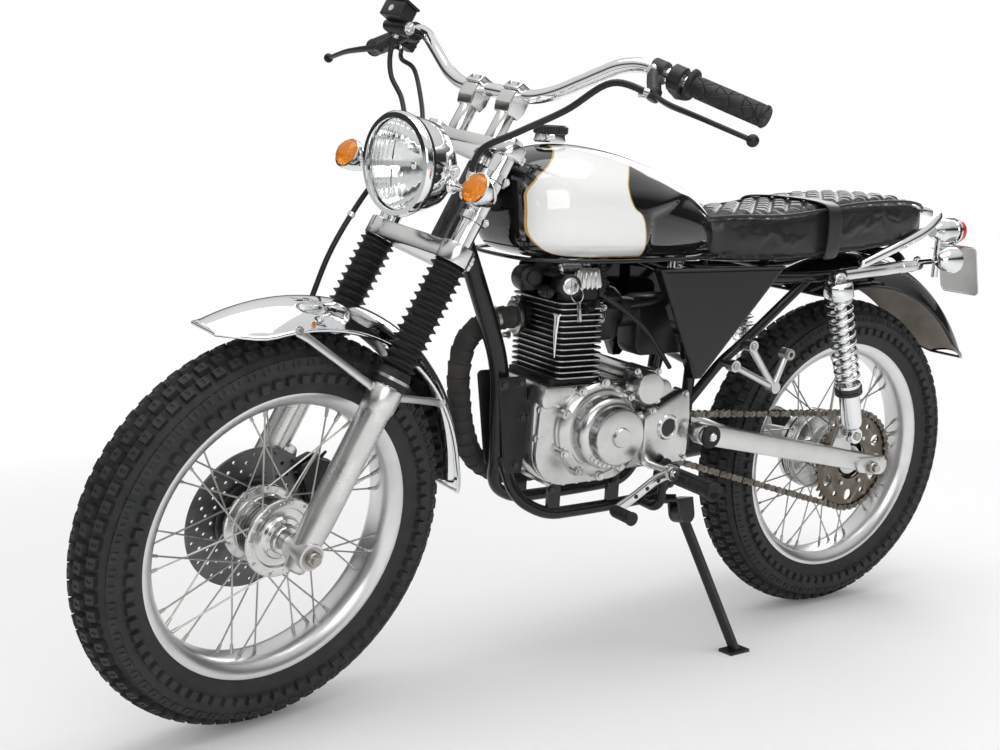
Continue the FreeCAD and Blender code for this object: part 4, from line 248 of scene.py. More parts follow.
paint("frameBlack", (0.008, 0.008, 0.009), (0.018, 0.017, 0.017), (0.14, 0.34), coat=0.2, specular=0.3,
      cover=0.5, wear=((0.10, 0.10, 0.10), 0.5))
paint("satinBlack", (0.009, 0.009, 0.010), (0.022, 0.021, 0.020), (0.28, 0.50), specular=0.3,
      wear=((0.12, 0.12, 0.12), 0.5))
paint("glossBlack", (0.006, 0.006, 0.007), (0.010, 0.010, 0.010), (0.05, 0.12), coat=0.25, bump=0.02,
      cover=0.4, specular=0.32)
paint("castAluminium", (0.66, 0.66, 0.65), (0.40, 0.40, 0.39), (0.19, 0.36), metal=1.0, grain=700, bump=0.25,
      wear=((0.85, 0.85, 0.84), 0.6))
paint("satinAluminium", (0.70, 0.70, 0.69), (0.56, 0.56, 0.55), (0.24, 0.40), metal=1.0, streaks=(4, 90, 90),
      bump=0.06)
paint("rimAluminium", (0.78, 0.78, 0.78), (0.60, 0.60, 0.60), (0.28, 0.44), metal=1.0, cloud=9, bump=0.05)
paint("forkAluminium", (0.74, 0.74, 0.73), (0.56, 0.56, 0.55), (0.24, 0.42), metal=1.0, cloud=20, bump=0.08,
      cover=0.8)
paint("polishedAluminium", (0.76, 0.76, 0.75), (0.60, 0.60, 0.60), (0.16, 0.28), metal=1.0, bump=0.04,
      cover=0.5)
paint("chrome", (0.86, 0.87, 0.88), (0.70, 0.70, 0.70), (0.04, 0.12), metal=1.0, bump=0.01, cover=0.35)
paint("steel", (0.50, 0.49, 0.47), (0.34, 0.32, 0.29), (0.26, 0.46), metal=1.0, bump=0.1)
paint("chainSteel", (0.24, 0.225, 0.20), (0.09, 0.075, 0.06), (0.30, 0.55), metal=1.0, cloud=60, cover=0.9)
paint("discSteel", (0.16, 0.16, 0.165), (0.09, 0.09, 0.09), (0.30, 0.48), metal=1.0, bump=0.1)
paint("sprocketBronze", (0.15, 0.13, 0.105), (0.075, 0.062, 0.05), (0.30, 0.5), metal=1.0,
      wear=((0.6, 0.56, 0.5), 0.8))
paint("rubber", (0.010, 0.010, 0.011), (0.024, 0.023, 0.022), (0.45, 0.68), grain=900, bump=0.3, specular=0.3)
paint("tyreRubber", (0.017, 0.018, 0.019), (0.05, 0.05, 0.05), (0.55, 0.8), cloud=26, grain=1200, bump=0.5,
      cover=0.55, specular=0.35)
paint("blackPlastic", (0.014, 0.014, 0.015), (0.03, 0.03, 0.03), (0.30, 0.5), grain=900, bump=0.2)
paint("cableBlack", (0.012, 0.012, 0.013), (0.026, 0.026, 0.026), (0.30, 0.46), bump=0.1, specular=0.3)
paint("mudguardInside", (0.30, 0.27, 0.235), (0.15, 0.125, 0.10), (0.5, 0.75), cloud=11, cover=0.9, bump=0.25)
paint("plateWhite", (0.60, 0.60, 0.59), (0.42, 0.42, 0.41), (0.35, 0.5), cover=0.5, metal=0.35)
print("materials made")


def dress(names, material):
    for name in names.split():
        piece = nodes[name]
        piece.data.materials.clear()
        piece.data.materials.append(material)


# small modelling helpers
def linked(name, data):
    piece = bpy.data.objects.new(name, data)
    bpy.context.scene.collection.objects.link(piece)
    return piece


def clearSelection():
    if bpy.context.object and bpy.context.object.mode != "OBJECT":
        bpy.ops.object.mode_set(mode="OBJECT")
    bpy.ops.object.select_all(action="DESELECT")


def pick(piece):
    clearSelection()
    piece.select_set(True)
    bpy.context.view_layer.objects.active = piece


def named(name):
    piece = bpy.context.object
    piece.name = name
    piece.data.name = name
    return piece


def turnTo(direction):
    return Vector(direction).to_track_quat("Z", "Y").to_euler()


def rod(name, start, end, radius, endRadius=None, sides=32):
    # a round bar or cone between two points
    start, end = Vector(start) * mm, Vector(end) * mm
    clearSelection()
    bpy.ops.mesh.primitive_cone_add(vertices=sides, radius1=radius * mm,
                                    radius2=(radius if endRadius is None else endRadius) * mm,
                                    depth=(end - start).length, location=(start + end) / 2,
                                    rotation=turnTo(end - start))
    return named(name)


def block(name, centre, size, turn=(0, 0, 0)):
    clearSelection()
    bpy.ops.mesh.primitive_cube_add(size=1, location=Vector(centre) * mm,
                                    rotation=Euler([math.radians(a) for a in turn]))
    piece = named(name)
    piece.scale = Vector(size) * mm
    return piece


def ball(name, centre, radius, squashed=(1, 1, 1)):
    clearSelection()
    bpy.ops.mesh.primitive_uv_sphere_add(segments=32, ring_count=16, radius=radius * mm,
                                         location=Vector(centre) * mm)
    piece = named(name)
    piece.scale = squashed
    return piece


def fix(piece):
    pick(piece)
    bpy.ops.object.transform_apply(location=True, rotation=True, scale=True)
    return piece


def apply(piece, kind, **values):
    pick(piece)
    modifier = piece.modifiers.new(kind.title(), kind)
    for key, value in values.items():
        setattr(modifier, key, value)
    if kind == "SUBSURF":
        modifier.render_levels = modifier.levels
    bpy.ops.object.modifier_apply(modifier=modifier.name)
    return piece


def bevelled(piece, width, segments=2, angle=32):
    fix(piece)
    return apply(piece, "BEVEL", width=width * mm, segments=segments, limit_method="ANGLE",
                 angle_limit=math.radians(angle))


def joined(name, parts):
    clearSelection()
    for part in parts:
        fix(part)
    clearSelection()
    for part in parts:
        part.select_set(True)
    bpy.context.view_layer.objects.active = parts[0]
    bpy.ops.object.join()
    return named(name)


def repeated(piece, moves):
    # copies of a piece, each with its own mesh, moved by the given matrices
    made = []
    for move in moves:
        twin = piece.copy()
        twin.data = piece.data.copy()
        bpy.context.scene.collection.objects.link(twin)
        twin.matrix_world = move @ piece.matrix_world
        made.append(twin)
    bpy.data.objects.remove(piece)
    bpy.context.view_layer.update()
    return made


def around(count, axis="Y", start=0.0):
    return [Matrix.Rotation(math.radians(start) + 2 * math.pi * i / count, 4, axis) for i in range(count)]


def mirroredTwin(piece):
    fix(piece)
    twin = piece.copy()
    twin.data = piece.data.copy()
    bpy.context.scene.collection.objects.link(twin)
    twin.scale = (1, -1, 1)
    fix(twin)
    pick(twin)
    bpy.ops.object.mode_set(mode="EDIT")
    bpy.ops.mesh.select_all(action="SELECT")
    bpy.ops.mesh.flip_normals()
    bpy.ops.object.mode_set(mode="OBJECT")
    return twin


def cleaned(piece, merge=0.00002):
    pick(piece)
    bpy.ops.object.mode_set(mode="EDIT")
    bpy.ops.mesh.select_all(action="SELECT")
    bpy.ops.mesh.remove_doubles(threshold=merge)
    bpy.ops.mesh.normals_make_consistent(inside=False)
    bpy.ops.object.mode_set(mode="OBJECT")
    return piece


def turned(name, profile, steps=96, closed=True, axis=(0, 1, 0)):
    # an outline of (radius, along the axle) spun about the axle
    mesh = bpy.data.meshes.new(name)
    points = [(r * mm, y * mm, 0) for r, y in profile]
    edges = [(i, i + 1) for i in range(len(points) - 1)] + ([(len(points) - 1, 0)] if closed else [])
    mesh.from_pydata(points, edges, [])
    piece = linked(name, mesh)
    pick(piece)
    bpy.ops.object.mode_set(mode="EDIT")
    bpy.ops.mesh.select_all(action="SELECT")
    bpy.ops.mesh.spin(steps=steps, angle=2 * math.pi, center=(0, 0, 0), axis=axis)
    bpy.ops.object.mode_set(mode="OBJECT")
    return cleaned(piece)


def lofted(name, rings, closeEnds=True):
    # rings of points, all of one count, skinned one after the other
    count = len(rings[0])
    points = [Vector(p) * mm for ring in rings for p in ring]
    faces = []
    for r in range(len(rings) - 1):
        for i in range(count):
            j = (i + 1) % count
            faces.append((r * count + i, r * count + j, (r + 1) * count + j, (r + 1) * count + i))
    if closeEnds:
        faces.append(tuple(range(count))[::-1])
        faces.append(tuple((len(rings) - 1) * count + i for i in range(count)))
    mesh = bpy.data.meshes.new(name)
    mesh.from_pydata(points, [], faces)
    return cleaned(linked(name, mesh))


def pipe(name, points, radius, smooth=True, sides=8, cyclic=False):
    # a bent tube: a curve through the points, made a mesh
    curve = bpy.data.curves.new(name, "CURVE")
    curve.dimensions = "3D"
    curve.bevel_depth = radius * mm
    curve.bevel_resolution = sides // 2
    curve.use_fill_caps = True
    spline = curve.splines.new("NURBS" if smooth else "POLY")
    spline.points.add(len(points) - 1)
    for point, place in zip(spline.points, points):
        point.co = (*(Vector(place) * mm), 1)
    spline.use_cyclic_u = cyclic
    if smooth:
        spline.order_u = 4
        spline.use_endpoint_u = not cyclic
        spline.resolution_u = 6
    pick(linked(name, curve))
    bpy.ops.object.convert(target="MESH")
    return bpy.context.object


def settle(piece, where, body, material=None, smooth=32):
    # to its place on the bike, with its finish, riding on its body
    fix(piece)
    piece.matrix_world = where @ piece.matrix_world
    fix(piece)
    if smooth:
        bpy.ops.object.shade_smooth_by_angle(angle=math.radians(smooth))
    if material:
        piece.data.materials.clear()
        piece.data.materials.append(material)
    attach(piece, body)
    return piece


# tyres with their tread blocks
tyreValues = {"tip": 328.0, "crown": 60.0, "blockHeight": 9.5, "sectors": 36, "bead": 233.0}


def crownPoint(y, sink):
    # radius of the tread at a place across it
    r = tyreValues["crown"] - sink
    return tyreValues["tip"] - tyreValues["crown"] + math.sqrt(max(r * r - y * y, 0))


def treadBlock(y, width, length, angle, height, slit=True):
    # one rubber block: a box on the crown, drawn in at the top, with a slit across it
    tilt = math.degrees(math.asin(max(-1, min(1, y / (tyreValues["crown"] - height)))))
    clearSelection()
    bpy.ops.mesh.primitive_cube_add(size=1)
    piece = named("block")
    piece.scale = (length * mm, width * mm, (height + 1) * mm)
    fix(piece)
    pick(piece)
    bpy.ops.object.mode_set(mode="EDIT")
    bm = bmesh.from_edit_mesh(piece.data)
    for face in bm.faces:
        face.select = face.normal.z > 0.9
    bm.select_flush_mode()
    bmesh.update_edit_mesh(piece.data)
    bpy.ops.transform.resize(value=(0.86, 0.84, 1))
    if slit:
        bpy.ops.mesh.inset(thickness=width * 0.20 * mm, depth=0)
        bpy.ops.transform.resize(value=(0.42 if length > width else 1.1, 1.2, 1))
        bpy.ops.mesh.inset(thickness=0.3 * mm, depth=-1.6 * mm)
    bpy.ops.object.mode_set(mode="OBJECT")
    centre = (tyreValues["tip"] - tyreValues["crown"]) * mm
    lean = Matrix.Translation((0, 0, centre)) @ Matrix.Rotation(math.radians(-tilt), 4,
            "X") @ Matrix.Translation((0, 0, -centre))
    flat = Matrix.Translation((0, 0, (tyreValues["tip"] - height / 2 - 1) * mm))
    piece.matrix_world = Matrix.Rotation(math.radians(angle), 4, "Y") @ lean @ flat
    return fix(piece)


def makeTyre(name, where, body, node):
    half = [(tyreValues["bead"], 34), (250, 45), (268, 52), (285, 53.5), (300, 50)]
    crown = [(crownPoint(y, tyreValues["blockHeight"]), y) for y in (44, 36, 26, 14, 0)]
    profile = half + crown
    profile = profile + [(r, -y) for r, y in profile[-2::-1]]
    inner = [(r - 7, y * 0.86) for r, y in profile[1:-1]][::-1]
    carcass = turned(name + "Carcass", profile + [(tyreValues["bead"], -26)] + inner + [(tyreValues["bead"],
            26)], 160)
    step = 360 / tyreValues["sectors"]
    blocks = []
    for side, share in ((1, 0.0), (-1, 0.25)):
        for half in (0.0, 0.5):
            for y, width, length, height, shift in ((10.5, 16, 20, 9.5, 0), (28.5, 15, 19, 9.5, 0.25),
                                                    (45, 14, 19, 9.5, 0), (54, 15, 15, 7, 0.25)):
                blocks.append(treadBlock(side * y, width, length, step * (share + half + shift), height,
                                         height > 8))
    sector = joined("sector", blocks)
    ring = repeated(sector, around(tyreValues["sectors"]))
    treads = joined(name + "Treads", ring)
    piece = joined(name, [carcass, treads])
    settle(piece, where, body, paints["tyreRubber"], 24)
    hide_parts(node)


makeTyre("frontTyrePiece", frontAxle, "front_wheel", "front_tyre")
makeTyre("rearTyrePiece", bike, "rear_wheel", "rear_tyre")
print("tyres made")

# wheels: rims, hubs, laced spokes, disc and sprocket
def makeRim(name, where, body, node):
    hubSide = [(241, 37.5), (238.5, 38), (232, 36.8), (227, 33), (220, 28.5), (215.5, 21), (213.5, 12),
               (213.5, 0)]
    hubSide = hubSide + [(r, -y) for r, y in hubSide[-2::-1]]
    tyreSide = [(r + 3, y * 0.93) for r, y in hubSide[1:-1]][::-1]
    piece = turned(name, hubSide + tyreSide, 144)
    settle(piece, where, body, paints["rimAluminium"], 40)
    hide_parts(node)


def makeSpokes(name, where, body, hubRadius, flangeLeft, flangeRight):
    parts = []
    for k in range(36):
        side = 1 if k % 2 == 0 else -1
        j = k // 2
        lace = 1 if j % 2 else -1
        hubAngle = math.radians(20 * j + (0 if side > 0 else 10))
        rimAngle = hubAngle + lace * math.radians(34)
        y = (flangeLeft if side > 0 else flangeRight) + lace * 2.5
        a = Vector((hubRadius * math.cos(hubAngle), y, hubRadius * math.sin(hubAngle)))
        b = Vector((215 * math.cos(rimAngle), side * 5, 215 * math.sin(rimAngle)))
        along = (b - a).normalized()
        parts.append(rod("spoke", a, b - along * 8, 1.5, sides=8))
        parts.append(rod("nipple", b - along * 16, b, 2.6, 3.3, sides=8))
        parts.append(ball("spokeHead", a, 3.2))
    settle(joined(name, parts), where, body, paints["steel"], 40)


def ringOf(name, count, radius, y, boltRadius, height, start=0.0, sides=6):
    bolt = rod(name, (radius, y, 0), (radius, y + height, 0), boltRadius, sides=sides)
    bevelled(bolt, min(boltRadius, abs(height)) * 0.18, 1)
    return joined(name, repeated(bolt, around(count, "Y", start)))


hub = turned("frontHubPiece", [(9, 47), (22, 47), (24, 44), (25, 37), (33, 36), (36, 31), (48, 30), (50, 35),
                               (64, 35.5), (66, 34), (66, 29.5), (62, 28), (52, 26), (48, 18), (46.5, 0),
                               (48, -18), (52, -26), (62, -28), (66, -29.5), (66, -35), (60, -36), (42, -37),
                               (40, -48), (24, -50), (9, -50)], 96)
bevelled(hub, 0.8, 2, 25)
ribs = [turned("hubRib", [(47, y - 1.2), (52.5, y - 0.8), (52.5, y + 0.8), (47, y + 1.2)], 72)
        for y in (-14, -7, 0, 7, 14)]
hub = joined("frontHubPiece", [hub] + ribs + [ringOf("hubBolts", 6, 30, 36, 3.4, 3),
                                              ringOf("hubMarks", 18, 58, 35.2, 2.6, 1.4, 5, 12)])
settle(hub, frontAxle, "front_wheel", paints["polishedAluminium"], 34)
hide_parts("front_hub")
makeSpokes("frontSpokes", frontAxle, "front_wheel", 60, 32, -32)
makeRim("frontRimPiece", frontAxle, "front_wheel", "front_rim")
makeRim("rearRimPiece", bike, "rear_wheel", "rear_rim")

rearHub = turned("rearHubPiece", [(9, 40), (34, 40), (36, 36), (60, 36), (64, 34), (66, 28), (56, 26),
                                  (52, 18), (58, 4), (70, -6), (80, -10), (83, -14), (83, -36), (79, -39),
                                  (40, -39), (9, -39)], 96)
bevelled(rearHub, 0.8, 2, 25)
carrier = turned("sprocketCarrier", [(9, 72), (30, 72), (34, 66), (46, 64), (52, 71.5), (60, 71.5), (60, 66),
                                     (50, 58), (44, 42), (9, 40)], 72)
rearHub = joined("rearHubPiece", [rearHub, carrier,
                                  ringOf("carrierBolts", 6, 52, 77.6, 5, 4)] + [turned("drumRib",
        [(80, y - 1), (86, y - 0.6), (86, y + 0.6), (80, y + 1)], 72) for y in (-17, -24, -31)])
settle(rearHub, bike, "rear_wheel", paints["castAluminium"], 34)
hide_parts("rear_hub")
makeSpokes("rearSpokes", bike, "rear_wheel", 61, 31, -30)


def slotCutters(count, rings):
    cutters = []
    for radius, size, offset in rings:
        cutter = rod("cutter", (radius, -20, 0), (radius, 20, 0), size, sides=12)
        cutters += repeated(fix(cutter), around(count, "Y", offset))
    return joined("cutter", cutters)


def cutFrom(piece, cutter):
    pick(piece)
    modifier = piece.modifiers.new("Cut", "BOOLEAN")
    modifier.operation = "DIFFERENCE"
    modifier.solver = "EXACT"
    modifier.object = cutter
    bpy.ops.object.modifier_apply(modifier="Cut")
    bpy.data.objects.remove(cutter)
    return piece


disc = turned("frontDiscPiece", [(119.5, -2), (120, -1.6), (120, 1.6), (119.5, 2), (62, 2), (62, -2)], 120)
disc = cutFrom(disc, slotCutters(18, [(110, 3.2, 0), (99, 3.6, 8), (88, 3.2, 15), (76, 3.4, 4)]))
disc.matrix_world = Matrix.Translation((0, -54 * mm, 0))
discCarrier = turned("discCarrier", [(38, -46), (64, -50.5), (68, -51.5), (68, -56.5), (60, -57), (38, -52)],
                     72)
disc = joined("frontDiscPiece", [disc, discCarrier, ringOf("discBolts", 6, 60, -60, 4.4, 4)])
settle(disc, frontAxle, "front_wheel", paints["discSteel"], 30)
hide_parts("front_brake_disc")


def toothedOutline(teeth, pitchRadius, rollerRadius):
    points = []
    for i in range(teeth):
        a = 2 * math.pi * i / teeth
        step = math.pi / teeth
        for share, reach in ((-1.0, 6.0), (-0.72, 2.2), (-0.4, -3.6), (0, -rollerRadius), (0.4, -3.6),
                             (0.72, 2.2)):
            r = pitchRadius + reach
            points.append((r * math.cos(a + share * step), r * math.sin(a + share * step)))
    return points


def flatCog(name, teeth, pitchRadius, y, width):
    outline = toothedOutline(teeth, pitchRadius, 5.1)
    rings = [[(x, y + side * width / 2, z) for x, z in outline] for side in (-1, 1)]
    return lofted(name, rings)


cog = flatCog("rearSprocketPiece", 40, 101.2, 75, 5)
cog = cutFrom(cog, joined("cutter", repeated(
    fix(rod("cutter", (74, 60, 0), (74, 90, 0), 12, sides=24)), around(6, "Y", 30))
    + repeated(fix(rod("cutter", (78, 60, 0), (78, 90, 0), 6, sides=16)), around(6, "Y", 0))
    + [fix(rod("cutter", (0, 60, 0), (0, 90, 0), 40, sides=48))]))
settle(cog, bike, "rear_wheel", paints["sprocketBronze"], 30)
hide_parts("rear_sprocket")
print("wheels made")

# drive chain, link by link
chainValues = {"rear": (0.0, 0.0, 101.2), "front": (518.0, 103.0, 38.18), "y": 75.0, "links": 94}


def chainPath():
    ax, az, ar = chainValues["rear"]
    bx, bz, br = chainValues["front"]
    run = Vector((bx - ax, bz - az))
    length = run.length
    tilt = math.atan2(run.y, run.x)
    spread = math.acos((ar - br) / length)
    points = []
    for i in range(97):
        a = tilt + spread + (2 * math.pi - 2 * spread) * i / 96
        points.append(Vector((ax + ar * math.cos(a), az + ar * math.sin(a))))
    for i in range(49):
        a = tilt - spread + 2 * spread * i / 48
        points.append(Vector((bx + br * math.cos(a), bz + br * math.sin(a))))
    points.append(points[0])
    return points


def alongPath(points, count):
    lengths = [0.0]
    for a, b in zip(points, points[1:]):
        lengths.append(lengths[-1] + (b - a).length)
    made, k = [], 0
    for i in range(count):
        s = lengths[-1] * i / count
        while lengths[k + 1] < s:
            k += 1
        t = (s - lengths[k]) / max(lengths[k + 1] - lengths[k], 1e-9)
        made.append(points[k].lerp(points[k + 1], t))
    return made


def linkPlate(y, wide, thick):
    outline = []
    for i in range(7):
        a = math.pi / 2 + math.pi * i / 6
        outline.append((-7.9 + wide * math.cos(a), wide * math.sin(a)))
    outline.append((0, -wide * 0.62))
    for i in range(7):
        a = -math.pi / 2 + math.pi * i / 6
        outline.append((7.9 + wide * math.cos(a), wide * math.sin(a)))
    outline.append((0, wide * 0.62))
    return lofted("plate", [[(x, y - thick / 2, z) for x, z in outline],
                            [(x, y + thick / 2, z) for x, z in outline]])


def makeChain():
    spots = alongPath(chainPath(), chainValues["links"])
    outer = joined("outer", [linkPlate(6.3, 6.4, 1.5), linkPlate(-6.3, 6.4, 1.5),
                             rod("pin", (-7.9, -8, 0), (-7.9, 8, 0), 2.6, sides=8),
                             rod("pin", (7.9, -8, 0), (7.9, 8, 0), 2.6, sides=8)])
    inner = joined("inner", [linkPlate(4.4, 6.4, 1.5), linkPlate(-4.4, 6.4, 1.5),
                             rod("roller", (-7.9, -3.6, 0), (-7.9, 3.6, 0), 4.6, sides=10),
                             rod("roller", (7.9, -3.6, 0), (7.9, 3.6, 0), 4.6, sides=10)])
    moves = []
    for i, spot in enumerate(spots):
        after = spots[(i + 1) % len(spots)]
        middle = (spot + after) / 2
        turn = math.atan2(after.y - spot.y, after.x - spot.x)
        moves.append(Matrix.Translation((middle.x * mm, chainValues["y"] * mm,
                                         middle.y * mm)) @ Matrix.Rotation(-turn, 4, "Y"))
    return joined("chainPiece", repeated(outer, moves[0::2]) + repeated(inner, moves[1::2]))


chain = makeChain()
frontCog = flatCog("frontCog", 15, 38.18, 75, 5)
frontCog.matrix_world = Matrix.Translation((518 * mm, 0, 103 * mm))
chain = joined("chainPiece", [chain, frontCog])
settle(chain, bike, "frame", paints["chainSteel"], 30)
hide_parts("drive_chain")
print("chain made")

# fuel tank
tankValues = {"stations": [(848, 34, 540, 470), (842, 72, 574, 446), (826, 98, 596, 434),
                           (792, 121, 613, 427), (742, 133, 622, 424), (668, 137, 617, 424),
                           (596, 131, 602, 424), (526, 118, 577, 424), (464, 100, 546, 425),
                           (416, 80, 508, 426), (384, 62, 472, 429), (367, 38, 448, 434)], "lines": 20}


def tankRing(x, half, top, bottom):
    ring = []
    middle = bottom + 0.42 * (top - bottom)
    for i in range(tankValues["lines"]):
        a = 2 * math.pi * i / tankValues["lines"]
        c, s = math.cos(a), math.sin(a)
        power = 2 / 2.25 if s > 0 else 2 / 3.6
        y = half * math.copysign(abs(c) ** power, c)
        z = middle + (top - middle if s > 0 else middle - bottom) * math.copysign(abs(s) ** power, s)
        ring.append((x, y, z))
    return ring


tank = lofted("fuelTankPiece", [tankRing(*station) for station in tankValues["stations"]])
apply(tank, "SUBSURF", levels=3)
for point in tank.data.vertices:  # the knee hollows at the rear of each side
    x, y, z = point.co.x / mm, point.co.y / mm, point.co.z / mm
    inside = min((x - 392) / 26, (622 - x) / 16, (z - 430) / 16,
                 (548 - 0.32 * max(x - 520, 0) - 0.55 * max(500 - x, 0) - z) / 16)
    if abs(y) > 30 and inside > 0:
        point.co.y -= math.copysign(7 * min(inside, 1) ** 1.5, y) * mm
seam = [(x, y, 431.5) for x, y in [(846, 40), (838, 80), (820, 104), (786, 122), (740, 133.5), (668, 137.5),
                                   (596, 131.5), (526, 118), (464, 100), (416, 80), (384, 60), (369, 30)]]
seam = seam + [(x, -y, z) for x, y, z in reversed(seam)]
tankSeam = pipe("tankSeam", seam, 3.4, cyclic=True)
print("tank made")

# seat: padded by cloth, then quilted
seatValues = {"stations": [(458, 60, 424, 494), (440, 82, 421, 503), (400, 98, 419, 509),
                           (340, 110, 419, 508), (280, 117, 420, 510), (210, 119, 424, 519),
                           (140, 119, 430, 531), (60, 118, 437, 538), (-20, 115, 446, 541),
                           (-80, 108, 453, 537), (-112, 96, 458, 528), (-124, 84, 464, 518)],
              "pressure": 4.0, "cap": 7.0, "voxel": 5.0, "cell": 44.0, "groove": 3.4}


def seatRing(x, half, low, high):
    tall = high - low
    shares = [(0.0, 0.0), (0.55, 0.0), (0.93, 0.02), (1.0, 0.10), (1.0, 0.45), (0.985, 0.82), (0.95, 0.93),
              (0.80, 0.975), (0.40, 0.995), (0.0, 1.0)]
    ring = [(x, half * a, low + tall * b) for a, b in shares]
    return ring + [(x, -half * a, low + tall * b) for a, b in shares[-2:0:-1]]


def seatTop(x):
    stations = seatValues["stations"]
    for (xa, ha, la, ta), (xb, hb, lb, tb) in zip(stations, stations[1:]):
        if xb <= x <= xa:
            t = (xa - x) / (xa - xb)
            return ha + (hb - ha) * t, la + (lb - la) * t, ta + (tb - ta) * t
    return stations[0][1:] if x > stations[0][0] else stations[-1][1:]


def makeSeat():
    rings = [seatRing(*station) for station in seatValues["stations"]]
    pad = lofted("seatPiece", rings)
    apply(pad, "SUBSURF", levels=1)
    apply(pad, "REMESH", mode="VOXEL", voxel_size=seatValues["voxel"] * mm)
    start = [v.co.copy() for v in pad.data.vertices]
    pick(pad)
    cloth = pad.modifiers.new("Cloth", "CLOTH")
    settings = cloth.settings
    settings.use_pressure = True
    settings.uniform_pressure_force = seatValues["pressure"]
    settings.effector_weights.gravity = 0
    settings.tension_stiffness = settings.compression_stiffness = 30
    settings.quality = 6
    for number in range(1, 21):
        bpy.context.scene.frame_set(number)
    bpy.ops.object.modifier_apply(modifier="Cloth")
    bpy.context.scene.frame_set(1)
    for v, was in zip(pad.data.vertices, start):
        moved = v.co - was
        limit = seatValues["cap"] * mm
        if moved.length > limit:
            moved = moved.normalized() * limit
        if was.z < (seatTop(was.x / mm)[1] + 10) * mm:
            moved *= 0.1
        v.co = was + moved
    apply(pad, "SUBSURF", levels=1)
    pick(pad)
    bpy.ops.object.shade_smooth()
    normals = [v.normal.copy() for v in pad.data.vertices]
    for v, normal in zip(pad.data.vertices, normals):
        x, y, z = v.co.x / mm, v.co.y / mm, v.co.z / mm
        half, low, high = seatTop(x)
        if normal.z > 0.55 and abs(y) < half - 14 and z > high - 26:
            edge = min(1, (half - 14 - abs(y)) / 10)
            u, w = (x + y) / seatValues["cell"], (x - y) / seatValues["cell"]
            near = min(abs(u - round(u)), abs(w - round(w))) * seatValues["cell"] / 1.4142
            rise = 1 - math.exp(-(near / 5.2) ** 2)
            v.co += normal * (rise * 2.0 - seatValues["groove"] * (1 - rise)) * edge * mm
    return pad


seat = makeSeat()
print("seat made")

# finishes that follow the tank panel and the seat
def bikeCoordinates(tree, link, where):
    # object coordinates turned into the bike's own axes
    place = tree.new("ShaderNodeTexCoord")
    turn = tree.new("ShaderNodeMapping")
    inverse = where.inverted()
    turn.inputs["Location"].default_value = inverse.to_translation()
    turn.inputs["Rotation"].default_value = inverse.to_euler()
    link(place.outputs["Object"], turn.inputs["Vector"])
    split = tree.new("ShaderNodeSeparateXYZ")
    link(turn.outputs["Vector"], split.inputs["Vector"])
    return split


def curveOf(tree, link, source, low, high, points, outLow, outHigh):
    # a smooth curve through (height, x) points given in millimetres
    scale = tree.new("ShaderNodeMapRange")
    scale.inputs["From Min"].default_value, scale.inputs["From Max"].default_value = low * mm, high * mm
    link(source, scale.inputs["Value"])
    curve = tree.new("ShaderNodeFloatCurve")
    line = curve.mapping.curves[0]
    shares = [((a - low) / (high - low), (b - outLow) / (outHigh - outLow)) for a, b in sorted(points)]
    while len(line.points) < len(shares):
        line.points.new(0.5, 0.5)
    for point, share in zip(line.points, shares):
        point.location = share
        point.handle_type = "AUTO_CLAMPED"
    curve.mapping.update()
    link(scale.outputs["Result"], curve.inputs["Value"])
    return rangeOf(tree, link, curve.outputs["Value"], outLow * mm, outHigh * mm)


def mathNode(tree, link, kind, first, second=None):
    node = tree.new("ShaderNodeMath")
    node.operation = kind
    for socket, value in zip(node.inputs, (first, second)):
        if value is None:
            continue
        if isinstance(value, (int, float)):
            socket.default_value = value
        else:
            link(value, socket)
    return node.outputs["Value"]


panelValues = {"front": [(434, 716), (438, 776), (444, 802), (456, 822), (476, 836), (500, 838), (530, 838),
                         (560, 824), (585, 798), (605, 776), (622, 754)],
               "rear": [(424, 608), (440, 616), (460, 622), (485, 628), (502, 634), (510, 640), (518, 652),
                        (530, 660), (550, 664), (570, 656), (590, 636), (606, 606), (622, 590)], "line": 2.6}


def tankPaint():
    material, tree, link, shader = newMaterial("tankPaint")
    split = bikeCoordinates(tree, link, bike)
    front = curveOf(tree, link, split.outputs["Z"], 424, 624, panelValues["front"], 560, 860)
    rear = curveOf(tree, link, split.outputs["Z"], 424, 624, panelValues["rear"], 560, 860)
    ahead = mathNode(tree, link, "SUBTRACT", front, split.outputs["X"])
    behind = mathNode(tree, link, "SUBTRACT", split.outputs["X"], rear)
    above = mathNode(tree, link, "SUBTRACT", split.outputs["Z"], 434 * mm)
    inside = mathNode(tree, link, "MINIMUM", mathNode(tree, link, "MINIMUM", ahead, behind), above)
    panel = mathNode(tree, link, "GREATER_THAN", inside, panelValues["line"] * mm)
    band = mathNode(tree, link, "GREATER_THAN", inside, 0.0)
    marks = groupNode(tree, mottle, Scale=9.0, Grain=500.0, Cover=0.35)
    black = mixColours(tree, link, marks.outputs["Mask"], (0.006, 0.006, 0.007), (0.012, 0.012, 0.012))
    cream = mixColours(tree, link, marks.outputs["Mask"], (0.83, 0.83, 0.82), (0.78, 0.78, 0.77))
    lined = mixColours(tree, link, band, black, (0.56, 0.34, 0.09))
    link(mixColours(tree, link, panel, lined, cream), shader.inputs["Base Color"])
    link(rangeOf(tree, link, marks.outputs["Mask"], 0.06, 0.14), shader.inputs["Roughness"])
    shader.inputs["Coat Weight"].default_value = 1.0
    shader.inputs["Coat Roughness"].default_value = 0.04
    return material


